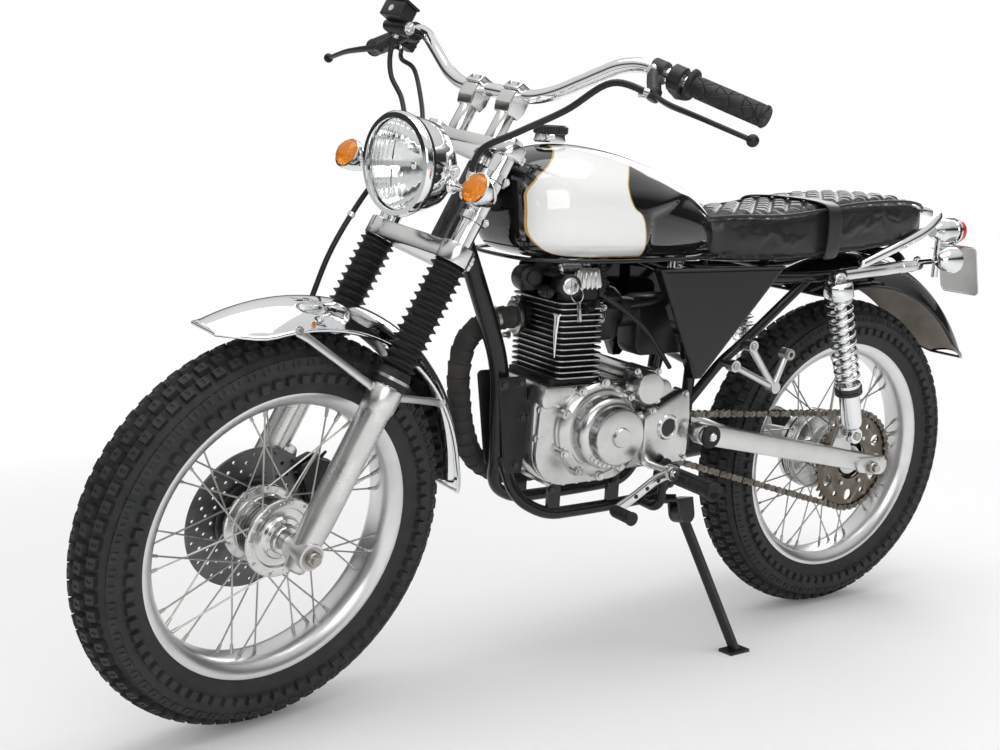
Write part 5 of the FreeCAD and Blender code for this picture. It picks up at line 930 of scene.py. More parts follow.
def seatLeather():
    material, tree, link, shader = newMaterial("seatLeather")
    place = tree.new("ShaderNodeTexCoord")
    grain = tree.new("ShaderNodeTexVoronoi")
    grain.feature = "DISTANCE_TO_EDGE"
    grain.inputs["Scale"].default_value = 520
    creases = tree.new("ShaderNodeTexNoise")
    creases.inputs["Scale"].default_value = 46
    creases.inputs["Detail"].default_value = 6
    link(place.outputs["Object"], grain.inputs["Vector"])
    link(place.outputs["Object"], creases.inputs["Vector"])
    marks = groupNode(tree, mottle, Scale=12.0, Grain=300.0, Cover=0.7)
    link(mixColours(tree, link, marks.outputs["Mask"], (0.011, 0.011, 0.012), (0.024, 0.023, 0.023)),
         shader.inputs["Base Color"])
    link(rangeOf(tree, link, marks.outputs["Mask"], 0.26, 0.42), shader.inputs["Roughness"])
    fine = reliefOf(tree, link, grain.outputs["Distance"], 0.35, 0.0004)
    link(reliefOf(tree, link, creases.outputs["Fac"], 0.35, 0.0025, fine), shader.inputs["Normal"])
    return material


paints["tankPaint"] = tankPaint()
paints["seatLeather"] = seatLeather()
settle(tank, bike, "frame", paints["tankPaint"], 40)
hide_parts("fuel_tank")
settle(tankSeam, bike, "frame", paints["glossBlack"], 60)
settle(seat, bike, "frame", paints["seatLeather"], 60)
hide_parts("seat")
pipings = []
for side in (1, -1):
    edge = [(x, side * (half - 5), high - 3.5) for x, half, low, high in seatValues["stations"][1:]]
    pipings.append(pipe("seatPiping", edge, 3.0))
backEdge = [(-124, 80, 515), (-131, 50, 519), (-134, 0, 521), (-131, -50, 519), (-124, -80, 515)]
pipings.append(pipe("seatPiping", backEdge, 3.0))
settle(joined("seatPiping", pipings), bike, "frame", paints["seatLeather"], 60)


def makeStrap(x, width):
    half, low, high = seatTop(x)
    shares = [(0.93, -0.02), (1.035, 0.06), (1.055, 0.45), (1.045, 0.86), (0.99, 0.985), (0.80, 1.045),
              (0.40, 1.075), (0.0, 1.08)]
    line = [(half * a, low + (high - low) * b) for a, b in shares]
    line = line + [(-y, z) for y, z in line[-2::-1]]
    rings = []
    for y, z in line:
        rings.append([(x - width / 2, y, z), (x + width / 2, y, z)])
    mesh = bpy.data.meshes.new("seatStrap")
    points = [Vector(p) * mm for ring in rings for p in ring]
    mesh.from_pydata(points, [], [(2 * i, 2 * i + 1, 2 * i + 3, 2 * i + 2) for i in range(len(rings) - 1)])
    piece = cleaned(linked("seatStrap", mesh))
    apply(piece, "SUBSURF", levels=2)
    apply(piece, "SOLIDIFY", thickness=3 * mm, offset=1)
    return apply(piece, "BEVEL", width=0.8 * mm, segments=2, limit_method="ANGLE")


settle(makeStrap(172, 34), bike, "frame", paints["seatLeather"], 40)
print("tank and seat dressed")

# more modelling helpers: lathes, plates, swept bars and bent paths
def lathe(name, profile, start, direction, steps=48):
    # an outline of (radius, distance from start along the direction), spun
    piece = turned(name, profile, steps)
    piece.matrix_world = Matrix.Translation(Vector(start) * mm) @ Vector(direction).to_track_quat("Y",
            "Z").to_matrix().to_4x4()
    return fix(piece)


def plateOf(name, circles, low, high, axis="Y", edge=1.2, steps=20):
    # a plate whose outline wraps round circles of (across, up, radius); it spans low to high along the axis
    spots = [Vector((u + r * math.cos(2 * math.pi * k / steps), v + r * math.sin(2 * math.pi * k / steps)))
             for u, v, r in circles for k in range(steps)]
    outline = [spots[i] for i in geometry.convex_hull_2d(spots)]
    order = {"X": lambda u, v, w: (w, u, v), "Y": lambda u, v, w: (u, w, v), "Z": lambda u, v,
             w: (u, v, w)}[axis]
    piece = lofted(name, [[order(p.x, p.y, low) for p in outline], [order(p.x, p.y, high) for p in outline]])
    return bevelled(piece, edge, 2, 40) if edge else piece


def arcPath(points, share=0.45, steps=6):
    # straight runs joined by tangent arcs
    points = [Vector(p) for p in points]
    made = [points[0]]
    for before, here, after in zip(points, points[1:], points[2:]):
        u, v = before - here, after - here
        trim = share * min(u.length, v.length)
        a, b = here + u.normalized() * trim, here + v.normalized() * trim
        turn = math.pi - u.angle(v)
        radius = trim / math.tan(turn / 2)
        centre = here + (u.normalized() + v.normalized()).normalized() * math.hypot(radius, trim)
        first, last = a - centre, b - centre
        for k in range(steps + 1):
            made.append(centre + first.slerp(last, k / steps) * radius)
    made.append(points[-1])
    return made


def tubeAlong(name, points, radius, sides=12):
    return pipe(name, arcPath(points), radius, smooth=False, sides=sides)


def swept(name, points, sizes, up=(0, 0, 1), sides=20, square=2.0):
    # a bar through the points; sizes gives (half width, half height) at each of them
    points = [Vector(p) for p in points]
    rings = []
    for i, place in enumerate(points):
        along = (points[min(i + 1, len(points) - 1)] - points[max(i - 1, 0)]).normalized()
        side = along.cross(Vector(up)).normalized()
        rise = side.cross(along).normalized()
        wide, tall = sizes[i]
        ring = []
        for k in range(sides):
            c, s = math.cos(2 * math.pi * k / sides), math.sin(2 * math.pi * k / sides)
            ring.append(place + side * wide * math.copysign(abs(c) ** (2 / square), c)
                        + rise * tall * math.copysign(abs(s) ** (2 / square), s))
        rings.append(ring)
    return lofted(name, rings)


def bolt(place, direction, radius=5.0, height=4.0, sides=6):
    start, way = Vector(place), Vector(direction).normalized()
    head = rod("bolt", start, start + way * height, radius, sides=sides)
    bevelled(head, radius * 0.16, 1)
    washer = rod("washer", start - way * 0.4, start + way * 0.8, radius * 1.4, sides=24)
    return joined("bolt", [head, washer])


def bothSides(parts):
    twins = [mirroredTwin(part) for part in parts]
    return parts + twins


def firstOnly(parts):
    # the first of the parts; the others are removed
    for spare in parts[1:]:
        bpy.data.objects.remove(spare)
    return parts[:1]


def place(name, parts, where, body, material, node=None, smooth=34, slot=None):
    # joins parts, settles them on a body and lets them stand for a CAD node
    piece = joined(name, parts)
    settle(piece, where, body, material, smooth)
    if node:
        for one in node.split():
            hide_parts(one)
    return piece


def onBike(name, parts, look, node=None, smooth=34, slot=None):
    return place(name, parts, bike, "frame", paints[look], node, smooth, slot)


def onFork(name, parts, look, node=None, smooth=34, slot=None, where=fork):
    return place(name, parts, where, "steering", paints[look], node, smooth, slot)


def clearGlass(name, colour, roughness=0.04, through=1.0):
    material, tree, link, shader = newMaterial(name)
    shader.inputs["Base Color"].default_value = (*colour, 1)
    shader.inputs["Roughness"].default_value = roughness
    shader.inputs["Transmission Weight"].default_value = through
    shader.inputs["IOR"].default_value = 1.5
    return material


def wrapCloth():
    # charcoal heat wrap: a coarse weave
    material, tree, link, shader = newMaterial("wrapCloth")
    where = tree.new("ShaderNodeTexCoord")
    weave = tree.new("ShaderNodeTexVoronoi")
    weave.inputs["Scale"].default_value = 420
    marks = groupNode(tree, mottle, Scale=22.0, Grain=600.0, Cover=0.8)
    link(where.outputs["Object"], weave.inputs["Vector"])
    link(mixColours(tree, link, marks.outputs["Mask"], (0.022, 0.021, 0.021), (0.06, 0.055, 0.05)),
         shader.inputs["Base Color"])
    shader.inputs["Roughness"].default_value = 0.85
    link(reliefOf(tree, link, weave.outputs["Distance"], 0.7, 0.0008), shader.inputs["Normal"])
    return material


def gripRubber():
    # black rubber with a hexagonal pattern of raised cells
    material, tree, link, shader = newMaterial("gripRubber")
    where = tree.new("ShaderNodeTexCoord")
    cells = tree.new("ShaderNodeTexVoronoi")
    cells.feature = "DISTANCE_TO_EDGE"
    cells.inputs["Scale"].default_value = 58
    cells.inputs["Randomness"].default_value = 0.1
    step = tree.new("ShaderNodeMapRange")
    step.inputs["From Max"].default_value = 0.07
    link(where.outputs["Object"], cells.inputs["Vector"])
    link(cells.outputs["Distance"], step.inputs["Value"])
    shader.inputs["Base Color"].default_value = (0.013, 0.013, 0.014, 1)
    shader.inputs["Roughness"].default_value = 0.55
    link(reliefOf(tree, link, step.outputs["Result"], 0.9, 0.0020), shader.inputs["Normal"])
    return material


paints["lampGlass"] = clearGlass("lampGlass", (0.96, 0.97, 0.97))
paints["amberGlass"] = clearGlass("amberGlass", (1.0, 0.36, 0.02), 0.08, 0.55)
paints["redGlass"] = clearGlass("redGlass", (0.78, 0.012, 0.012), 0.10, 0.12)
paint("reflector", (0.93, 0.93, 0.93), (0.86, 0.86, 0.86), (0.03, 0.08), metal=1.0, bump=0.0)
paints["wrapCloth"] = wrapCloth()
paints["gripRubber"] = gripRubber()
paint("finBlack", (0.007, 0.007, 0.008), (0.018, 0.017, 0.016), (0.32, 0.5), grain=800, bump=0.3,
      specular=0.25)
paint("finEdge", (0.62, 0.62, 0.61), (0.32, 0.32, 0.31), (0.25, 0.42), metal=1.0, cloud=60, cover=0.9)

# fork: sliders, gaiters, tubes, clamps and risers
forkValues = {"x": 50.0, "y": 90.0, "tube": 17.5, "gaiterLow": 284.0, "gaiterHigh": 499.0, "folds": 13}


def makeSliders():
    legs = []
    x, y = forkValues["x"], forkValues["y"]
    line = [(0, -33), (13, -33), (17, -29), (19, -18), (22, 12), (24.6, 48), (25, 64), (25, 236), (26, 244),
            (28.4, 250), (28.6, 264), (28.6, 279), (27, 284), (19, 285), (0, 285)]
    for side in (1, -1):
        legs.append(lathe("slider", line, (x, side * y, 0), (0, 0, 1), 64))
        legs.append(bevelled(rod("axleLug", (x, side * y - 25, 0), (x, side * y + 25, 0), 22.5), 2, 2))
        legs.append(plateOf("pinchLug", [(x - 20, -6, 9), (x - 20, 8, 9), (x, 0, 18)], side * y - 12,
                            side * y + 12))
        legs.append(bolt((x - 22, side * (y + 12), 1), (0, side, 0), 4.2, 5))
        legs.append(rod("drain", (x - 24, side * y, 34), (x - 29, side * y, 34), 4, sides=12))
        legs.append(plateOf("stayLug", [(x - 24, 268, 8), (x - 10, 268, 14), (x + 18, 268, 8)],
                            side * (y - 8), side * (y + 6)))
    legs.append(plateOf("caliperLugs", [(x - 18, 60, 14), (x - 30, 96, 9), (x - 20, 120, 12)], -y + 12,
                        -y + 26))
    nuts = []
    for side in (1, -1):
        nuts.append(bolt((x, side * (y + 25), 0), (0, side, 0), 13, 9))
        nuts.append(rod("axleEnd", (x, side * (y + 25), 0), (x, side * (y + 40), 0), 7.6, sides=24))
        nuts.append(rod("spacer", (x, side * 42, 0), (x, side * 66, 0), 14.5, 13, sides=32))
    onFork("forkSlidersPiece", legs, "forkAluminium", "fork_sliders", 34)
    onFork("frontAxleNuts", nuts, "steel", slot="chrome_trim")


def makeGaiters():
    low, high, folds = forkValues["gaiterLow"] + 30, forkValues["gaiterHigh"], forkValues["folds"]
    line = [(18.2, forkValues["gaiterLow"] + 2), (29, forkValues["gaiterLow"] + 2), (29.4, low - 8),
            (27, low - 5), (27, low)]
    pitch = (high - low) / folds
    for i in range(folds):
        for share, radius in ((0.12, 22.6), (0.3, 25.5), (0.42, 29.2), (0.5, 30.4), (0.58, 29.2),
                              (0.7, 25.5), (0.88, 22.6)):
            line.append((radius, low + (i + share) * pitch))
    line += [(26, high), (18.2, high)]
    parts = [lathe("gaiter", line, (forkValues["x"], side * forkValues["y"], 0), (0, 0, 1), 56)
             for side in (1, -1)]
    onFork("forkGaitersPiece", parts, "rubber", "fork_gaiters", 60)
    bands = [lathe("band", [(29.6, 0), (30.6, 0), (30.6, 5), (29.6, 5)],
                   (forkValues["x"], side * forkValues["y"], 296), (0, 0, 1), 48) for side in (1, -1)]
    onFork("gaiterBands", bands, "steel", slot="chrome_trim")


def makeClamps():
    x, y = forkValues["x"], forkValues["y"]
    parts = []
    for low, high in ((501, 531), (690, 711)):
        parts.append(plateOf("clamp", [(0, 0, 30), (x, y, 22), (x, -y, 22), (x + 12, 40, 4),
                                       (x + 12, -40, 4)], low, high, "Z", 3))
        for side in (1, -1):
            parts.append(bevelled(rod("clampRing", (x, side * y, low - 1), (x, side * y, high + 1), 27.5,
                                      sides=48), 2, 2))
            parts.append(block("clampEar", (x - 26, side * (y + 6), (low + high) / 2),
                               (16, 12, high - low - 6)))
            bevelled(parts[-1], 2)
            parts.append(bolt((x - 26, side * (y + 12), (low + high) / 2), (0, side, 0), 4.4, 5))
    for side in (1, -1):
        parts.append(bevelled(rod("riserPost", (48, side * 45, 709), (48, side * 45, 764), 15.5, 14.5, 40),
                              1.5))
        parts.append(plateOf("riserFoot", [(36, 762, 3), (60, 762, 3), (65, 774, 3), (65, 793, 2.5),
                                           (31, 793, 2.5), (31, 774, 3)], side * 45 - 17, side * 45 + 17,
                             "Y", 2.5))
        parts.append(plateOf("riserCap", [(31, 800, 2.5), (65, 800, 2.5), (59, 811, 2.5), (37, 811, 2.5)],
                             side * 45 - 17, side * 45 + 17, "Y", 2))
        for bx in (36, 60):
            for by in (-10, 10):
                parts.append(bolt((bx, side * 45 + by, 809), (0.25 if bx > 48 else -0.25, 0, 1), 3.6, 4, 12))
    onFork("clampsPiece", parts, "polishedAluminium", "fork_crown", 34)
    tubes = []
    for side in (1, -1):
        tubes.append(rod("tube", (x, side * y, 284), (x, side * y, 720), forkValues["tube"], sides=48))
        tubes.append(lathe("tubeCap", [(0, 0), (17, 0), (17, 5), (14, 7), (11, 7), (11, 11), (0, 11)],
                           (x, side * y, 711), (0, 0, 1)))
        tubes.append(bolt((x, side * y, 719), (0, 0, 1), 8.5, 5))
    tubes.append(lathe("stemNut", [(0, 0), (19, 0), (19, 3), (15, 5), (0, 5)], (0, 0, 711), (0, 0, 1)))
    tubes.append(bolt((0, 0, 715), (0, 0, 1), 14, 8))
    tubes.append(rod("stem", (0, 0, 503), (0, 0, 711), 14.6, sides=32))
    onFork("forkTubes", tubes, "chrome", slot="chrome_trim")


makeSliders()
makeGaiters()
makeClamps()
print("fork made")

# handlebar, grips, levers, reservoir and switches
barValues = {"x": 48.0, "z": 797.0, "half": 458.0, "radius": 11.1,
             "shares": [(0, 0.186, 0), (0.002, 0.277, 0.033), (0.007, 0.493, 0.166), (-0.007, 0.572, 0.19),
                        (-0.157, 1, 0.151)]}
barLine = [Vector((barValues["x"] + a * barValues["half"], b * barValues["half"],
                   barValues["z"] + c * barValues["half"])) for a, b, c in barValues["shares"]]
barEnd, barWay = barLine[-1], (barLine[-2] - barLine[-1]).normalized()


def onBar(distance):
    return barEnd + barWay * distance


def barSleeve(name, start, profile, steps=40):
    return lathe(name, profile, onBar(start), barWay, steps)


def makeBar():
    whole = [Vector((p.x, -p.y, p.z)) for p in reversed(barLine)] + barLine
    bar = tubeAlong("bar", whole, barValues["radius"], 20)
    onFork("handlebarPiece", [bar], "chrome", "handlebar", 60)
    line = [(11.2, 0), (15, 0), (17, 1.5), (17, 5), (15.4, 7)]
    line += [(16.4, 9), (16.6, 60), (16.4, 112), (15.4, 114), (15.4, 117), (15.8, 119), (22, 121), (24, 124),
             (24, 127), (21, 128), (11.2, 128)]
    grips = bothSides([barSleeve("grip", 0, line, 48),
                       lathe("plug", [(0, -1.5), (14, -1.5), (15, 0), (0, 0)], barEnd, barWay)])
    onFork("gripsPiece", grips, "gripRubber", "handlebar_grips", 34)


perch = onBar(180)
leverLine = [perch + Vector(share) * 174 for share in
             ((0.143, 0.195, -0.289), (0.189, 0.402, -0.370), (0.143, 0.70, -0.404), (-0.026, 1.183, -0.444))]


def makeLever():
    path = arcPath([perch + Vector((14, 12, -30))] + leverLine, 0.45, 5)
    count = len(path) - 1
    blade = swept("blade", path, [(4.4 + 4.6 * (1 - i / count), 3.4 + 1.2 * (1 - i / count))
                                  for i in range(count + 1)], (0, 0, 1), 16, 2.6)
    tip = ball("tip", leverLine[-1], 9)
    pivot = rod("pivot", leverLine[0] + Vector((0, 0, -9)), leverLine[0] + Vector((0, 0, 9)), 9, sides=32)
    bevelled(pivot, 1.5)
    arm = swept("perchArm", [perch + Vector((8, 0, -8)), perch + Vector((17, 14, -26)), leverLine[0]],
                [(11, 10), (10, 9), (10, 8)], (0, 0, 1), 16, 3.2)
    clamp = barSleeve("perchClamp", 168, [(11.2, 0), (16, 0), (17.4, 2), (17.4, 22), (16, 24), (11.2, 24)])
    screws = [bolt(leverLine[0] + Vector((0, 0, 9)), (0, 0, 1), 4.5, 3),
              bolt(perch + Vector((-12, 4, 12)), (-0.5, 0, 1), 3.4, 3)]
    return [blade, tip, pivot, arm, clamp] + screws


def makeSwitch():
    body = barSleeve("switch", 137, [(11.2, 0), (18, 0), (20.4, 2), (20.4, 20), (18, 22), (11.2, 22)])
    mid = onBar(148)
    pod = block("switchPod", mid + Vector((-13, 0, -2)), (26, 22, 38))
    bevelled(pod, 3, 3)
    keys = [block("key", mid + Vector((-29, 0, z)), (4, 10, 5)) for z in (-6, 6)]
    return [body, pod] + [bevelled(key, 1) for key in keys]


def mirrorAway(parts):
    # turns parts into their mirror images and drops the originals
    made = []
    for part in parts:
        made.append(mirroredTwin(part))
        bpy.data.objects.remove(part)
    return made


def makeControls():
    onFork("leftControlsPiece", makeLever() + makeSwitch(), "satinBlack", "left_controls", 34)
    collar = lathe("cableCollar", [(0, 0), (7, 0), (7, 8), (5, 12), (5, 22), (0, 22)],
                   leverLine[0] + Vector((-6, -8, 2)), (0.1, -0.8, -0.1), 20)
    boss = lathe("perchBoss", [(0, 0), (9, 0), (9, 5), (6, 8), (0, 8)], perch + Vector((12, -2, -6)),
                 (1, 0, -0.2), 32)
    onFork("clutchAdjuster", [collar, boss], "polishedAluminium", slot="chrome_trim")
    master = Vector((perch.x + 45, perch.y - 14, perch.z - 16))
    tub = bevelled(block("tub", master + Vector((14, 0, 20)), (34, 56, 30)), 3.5, 3)
    lid = bevelled(block("lid", master + Vector((14, 0, 37)), (37, 60, 5)), 1.6)
    screws = [bolt(master + Vector((14 + sx, sy, 39)), (0, 0, 1), 3, 1.6, 16) for sx,
              sy in ((11, 22), (-11, -22))]
    pump = lathe("pump", [(0, -32), (9, -32), (12, -30), (14, -24), (14, 20), (12, 24), (10, 32), (0, 32)],
                 master, (0, 1, 0), 36)
    link = swept("link", [perch, Vector((master.x - 6, perch.y - 4, master.z))], [(12, 11), (12, 11)],
                 (0, 1, 0), 20, 3.4)
    right = mirrorAway(makeLever() + makeSwitch() + [tub, lid, pump, link] + screws)
    onFork("rightControlsPiece", right, "satinBlack", "right_controls", 34)
    banjo = mirrorAway([bolt(master + Vector((0, -32, 0)), (0, -1, 0), 8, 7),
                        rod("banjo", master + Vector((0, -34, -8)), master + Vector((0, -34, 8)), 6)])
    window = mirrorAway([lathe("window", [(0, 0), (6, 0), (6, 1.6), (0, 1.6)], master + Vector((31, 0, 18)),
                               (1, 0, 0), 24)])
    onFork("banjoBolt", banjo + window, "polishedAluminium", slot="chrome_trim")


makeBar()
makeControls()
print("handlebar made")

# front mudguard with its rolled edge and stays
guardValues = {"crown": 382.0, "edge": 344.0, "half": 58.0, "wall": 2.2, "start": 40.0, "end": 151.0,
               "bead": 3.4}


def guardSection(values, angle, narrowing=1.0, sink=0.0, count=16):
    # one cross-section of a mudguard at an angle from forward, outside then inside
    half = values["half"] * narrowing
    rise = values["crown"] - values["edge"]
    a = math.radians(angle)
    points = []
    for wall, way in ((0.0, 1), (values["wall"], -1)):
        for k in range(count + 1):
            t = (2 * k / count - 1) * way
            r = values["crown"] - sink - wall - rise * (t * narrowing) ** 2
            points.append((r * math.cos(a), (half - wall * 0.7) * t, r * math.sin(a)))
    return points


def makeGuard(name, values, steps=44):
    rings, left = [], []
    for i in range(steps + 1):
        share = i / steps
        angle = values["start"] + (values["end"] - values["start"]) * share
        near = min(share, 1 - share) * (values["end"] - values["start"])
        narrow = 1 - 0.46 * max(0, 1 - near / 13) ** 2
        rings.append(guardSection(values, angle, narrow))
        left.append(rings[-1][16])
    bead = pipe("bead", left + [(x, -y, z) for x, y, z in reversed(left)], values["bead"], smooth=False,
                sides=8, cyclic=True)
    return [lofted(name, rings), bead]


def flatStay(start, end, width=9, thick=4):
    start, end = Vector(start), Vector(end)
    mid = (start + end) / 2
    return [swept("stay", [start, start + (end - start) * 0.12, mid, end - (end - start) * 0.12, end],
                  [(width, thick / 2), (width * 0.72, thick), (width * 0.66, thick), (width * 0.72, thick),
                   (width, thick / 2)], (0, 1, 0.2), 16, 3),
            bolt(start + Vector((0, 3, 1)), (0.2, 1, 0.3), 5, 4),
            bolt(end + Vector((0, 3, 0)), (0, 1, 0.1), 5, 4)]


def makeFrontGuard():
    onFork("frontMudguardPiece", makeGuard("guard", guardValues), "chrome", "front_mudguard", 50,
           where=frontAxle)
    stays = flatStay((178, 56.9, 296.4), (15.3, 90.9, 272)) + flatStay((-15.3, 90.9, 272),
            (-157.4, 56.9, 304.1))
    bow = swept("bow", [(15, y, 300 + 46 * (1 - (y / 88) ** 2) ** 0.5)
                        for y in (-86, -76, -60, -40, -20, 0, 20, 40, 60, 76, 86)], [(9, 2.2)] * 11,
                (1, 0, 0.3), 12, 3)
    onFork("frontStays", bothSides(stays) + [bow], "satinAluminium", slot="chrome_trim", where=frontAxle)


makeFrontGuard()
print("front guard made")

# caliper, with its bolts and pads
def makeCaliper():
    ray = math.radians(130)
    turnIn = Matrix.Translation(Vector((96 * math.cos(ray), 0,
                                        96 * math.sin(ray))) * mm) @ Matrix.Rotation(math.radians(-40), 4,
            "Y")
    parts = []
    for low, high in ((-76, -58), (-50, -32)):
        parts.append(plateOf("half", [(-34, 8, 8), (34, 8, 8), (34, 40, 6), (20, 54, 8), (-20, 54, 8),
                                      (-34, 40, 6)], low, high, "Y", 3, 16))
    parts.append(plateOf("bridge", [(-26, 36, 6), (26, 36, 6), (18, 56, 6), (-18, 56, 6)], -74, -34, "Y", 3,
                         16))
    for x in (-17, 17):
        parts.append(bevelled(rod("bore", (x, -84, 26), (x, -70, 26), 15, sides=40), 2.5, 2))
        parts.append(rod("dimple", (x, -86, 26), (x, -82, 26), 9, sides=24))
        parts.append(bolt((x * 1.7, -76, 44), (0, -1, 0), 4.5, 5))
    parts.append(bolt((0, -76, 12), (0, -1, 0), 4, 6))
    parts.append(rod("bleed", (24, -62, 58), (28, -62, 70), 3.2, 2.4, 16))
    for part in parts:
        fix(part)
        part.matrix_world = turnIn
    onFork("caliperPiece", parts, "satinBlack", "brake_caliper", 34, where=frontAxle)
    pads = [block("pad", (0, y, 18), (52, 4, 30)) for y in (-58, -50)] + [bolt((-28, -64, 52), (0, 0, 1), 6,
            6)]
    for part in pads:
        fix(part)
        part.matrix_world = turnIn
    onFork("brakePads", pads, "steel", slot="disc_steel", where=frontAxle)


makeCaliper()

# headlight with its lens, front indicators, and the bolts of the headlight brackets
headValues = {"x": 128.0, "z": 617.0, "radius": 76.0, "depth": 84.0, "ring": 82.0}
headPlace = fork @ Matrix.Translation((headValues["x"] * mm, 0,
                                       headValues["z"] * mm)) @ Matrix.Rotation(math.radians(28.5), 4, "Y")


def makeHeadlight():
    r, back = headValues["radius"], -headValues["depth"] / 2
    shell = lathe("shell", [(0, back - 12), (18, back - 11), (38, back - 6), (56, back + 6), (68, back + 22),
                            (r - 2, back + 46), (r, 30), (r - 2, 30), (r - 4, back + 46), (52, back + 10),
                            (0, back - 8)], (0, 0, 0), (1, 0, 0), 96)
    ring = lathe("ring", [(r - 3, 30), (r + 3, 30), (r + 6, 34), (r + 6, 40), (r + 3, 45), (r - 5, 46),
                          (r - 6, 43), (r - 4, 38), (r - 6, 30)], (0, 0, 0), (1, 0, 0), 96)
    screw = bolt((38, 0, -r - 4), (0.2, 0, -1), 3.4, 4, 20)
    joint = [ball("plug", (back, 0, -r * 0.55), 11, (1, 1, 1))]
    onFork("headlightPiece", [shell, ring, screw] + joint, "chrome", "headlight", 50, where=headPlace)
    seal = lathe("seal", [(r - 1, 25.5), (r + 3.2, 25.5), (r + 3.2, 30), (r - 1, 30)], (0, 0, 0), (1, 0, 0),
                 96)
    onFork("headlightSeal", [seal], "rubber", slot="gaiter_rubber", where=headPlace)
    bowl = lathe("bowl", [(5, -34), (24, -28), (46, -12), (62, 10), (71, 33), (69, 33), (60, 12), (44, -9),
                          (23, -25), (5, -31)], (0, 0, 0), (1, 0, 0), 72)
    cap = lathe("bulbCap", [(0, -32), (9, -32), (9, 4), (7, 8), (0, 9)], (0, 0, 0), (1, 0, 0), 32)
    onFork("headlightReflector", [bowl, cap], "reflector", slot="lamp_chrome", smooth=60, where=headPlace)


def makeLens():
    # clear glass with upright flutes inside
    count, rows, radius = 96, 14, 71.0
    rings = []
    for side in (1, -1):
        for j in (range(1, rows + 1) if side > 0 else range(rows, 0, -1)):
            rr = radius * j / rows
            ring = []
            for k in range(count):
                a = 2 * math.pi * k / count
                y, z = rr * math.cos(a), rr * math.sin(a)
                dome = 14 * (1 - (rr / radius) ** 2)
                flute = 1.1 * abs(math.sin(y / 6.4 * math.pi / 2)) * (1 if rr < 66 else 0)
                ring.append((36 + dome if side > 0 else 31 + dome - flute, y, z))
            rings.append(ring)
    lens = lofted("lens", rings)
    onFork("headlightLensPiece", [lens], "lampGlass", "headlight_lens", 30, where=headPlace)


def indicatorParts(centre, way, stalkFrom):
    # chrome body on a stalk, with its nut; the body faces along way
    y = centre[1]
    body = lathe("body", [(0, -23), (7, -23), (12, -20), (19, -8), (24, 6), (26, 14), (26, 21), (24, 22),
                          (24, 14), (18, 0), (0, -10)], centre, (way, 0, 0), 48)
    stalk = lathe("stalk", [(0, 0), (9, 0), (10, 3), (7, 6), (6, 12), (6, y - stalkFrom[1] - 24),
                            (9, y - stalkFrom[1] - 19), (0, y - stalkFrom[1] - 15)], stalkFrom,
                  Vector(centre) - Vector(stalkFrom), 32)
    nut = bolt(stalkFrom, Vector(centre) - Vector(stalkFrom), 9, 5)
    return [body, stalk, nut]


def facetedLens(centre, way, radius=24.0, rise=13.0, facets=12):
    # a cut-glass dome: rings of flat facets, each turned half a step from the last
    x, y, z = centre
    rings = [[(x + way * 12, y + 3 * math.cos(2 * math.pi * k / facets),
               z + 3 * math.sin(2 * math.pi * k / facets)) for k in range(facets)]]
    for j, (share, depth) in enumerate(((1.0, 12), (1.0, 21), (0.86, 27), (0.62, 31.5), (0.34, 33.6),
                                        (0.1, 34.2))):
        phase = 0.5 * (j % 2)
        rings.append([(x + way * depth, y + radius * share * math.cos(2 * math.pi * (k + phase) / facets),
                       z + radius * share * math.sin(2 * math.pi * (k + phase) / facets))
                      for k in range(facets)])
    return lofted("lens", rings)


def makeFrontIndicators():
    centre = (118, 158, 602)
    bodies = bothSides(indicatorParts(centre, 1, (118, 88, 602)))
    onFork("frontIndicatorsPiece", bodies, "chrome", "front_indicators", 40)
    lenses = bothSides([facetedLens(centre, 1)])
    onFork("frontIndicatorLenses", lenses, "amberGlass", slot="amber_lens", smooth=0)
    backs = bothSides([lathe("back", [(0, 6), (22, 6), (23.5, 12), (0, 11)], centre, (1, 0, 0), 40)])
    onFork("frontIndicatorBacks", backs, "reflector", slot="lamp_chrome")


def makeEars():
    parts = []
    for holeZ in (604, 630):
        parts.append(lathe("rim", [(7.9, 0), (10.4, 0), (10.4, 1.6), (7.9, 1.6)], (89, 88, holeZ), (0, 1, 0),
                           32))
    parts.append(bolt((127, 88, 622), (0, 1, 0), 7.5, 6))
    for z in (580, 652):
        parts.append(bolt((44, 114, z), (-0.2, 1, 0), 4.6, 4))
        parts.append(lathe("band", [(20.6, 0), (22.4, 0), (22.4, 12), (20.6, 12)], (50, 90, z - 6),
                           (0, 0, 1), 48))
    onFork("earBolts", bothSides(parts), "polishedAluminium", slot="clamp_aluminium")


makeHeadlight()
makeLens()
makeFrontIndicators()
makeEars()
print("front lamps made")

# cables and hose, smooth, with metal ends
cableValues = {"clutch": 5.2, "throttle": 4.2, "hose": 4.6}
clutchRun = [tuple(leverLine[0]), (88, 262, 826), (90, 205, 770), (112, 158, 712), (126, 118, 666),
             (96, 90, 628)]
throttleRun = [(23, -318, 862), (27, -296, 832), (36, -236, 812), (36, -180, 760), (40, -140, 715),
               (46, -108, 664)]
hoseRun = [(74, -282, 864), (64, -282, 822), (54, -262, 784), (42, -222, 752), (50, -176, 708),
           (84, -138, 662), (88, -122, 600), (96, -123, 542), (101, -124, 486), (100, -126, 434),
           (94, -125, 380), (86, -122, 322), (72, -121, 268), (50, -120, 222)]


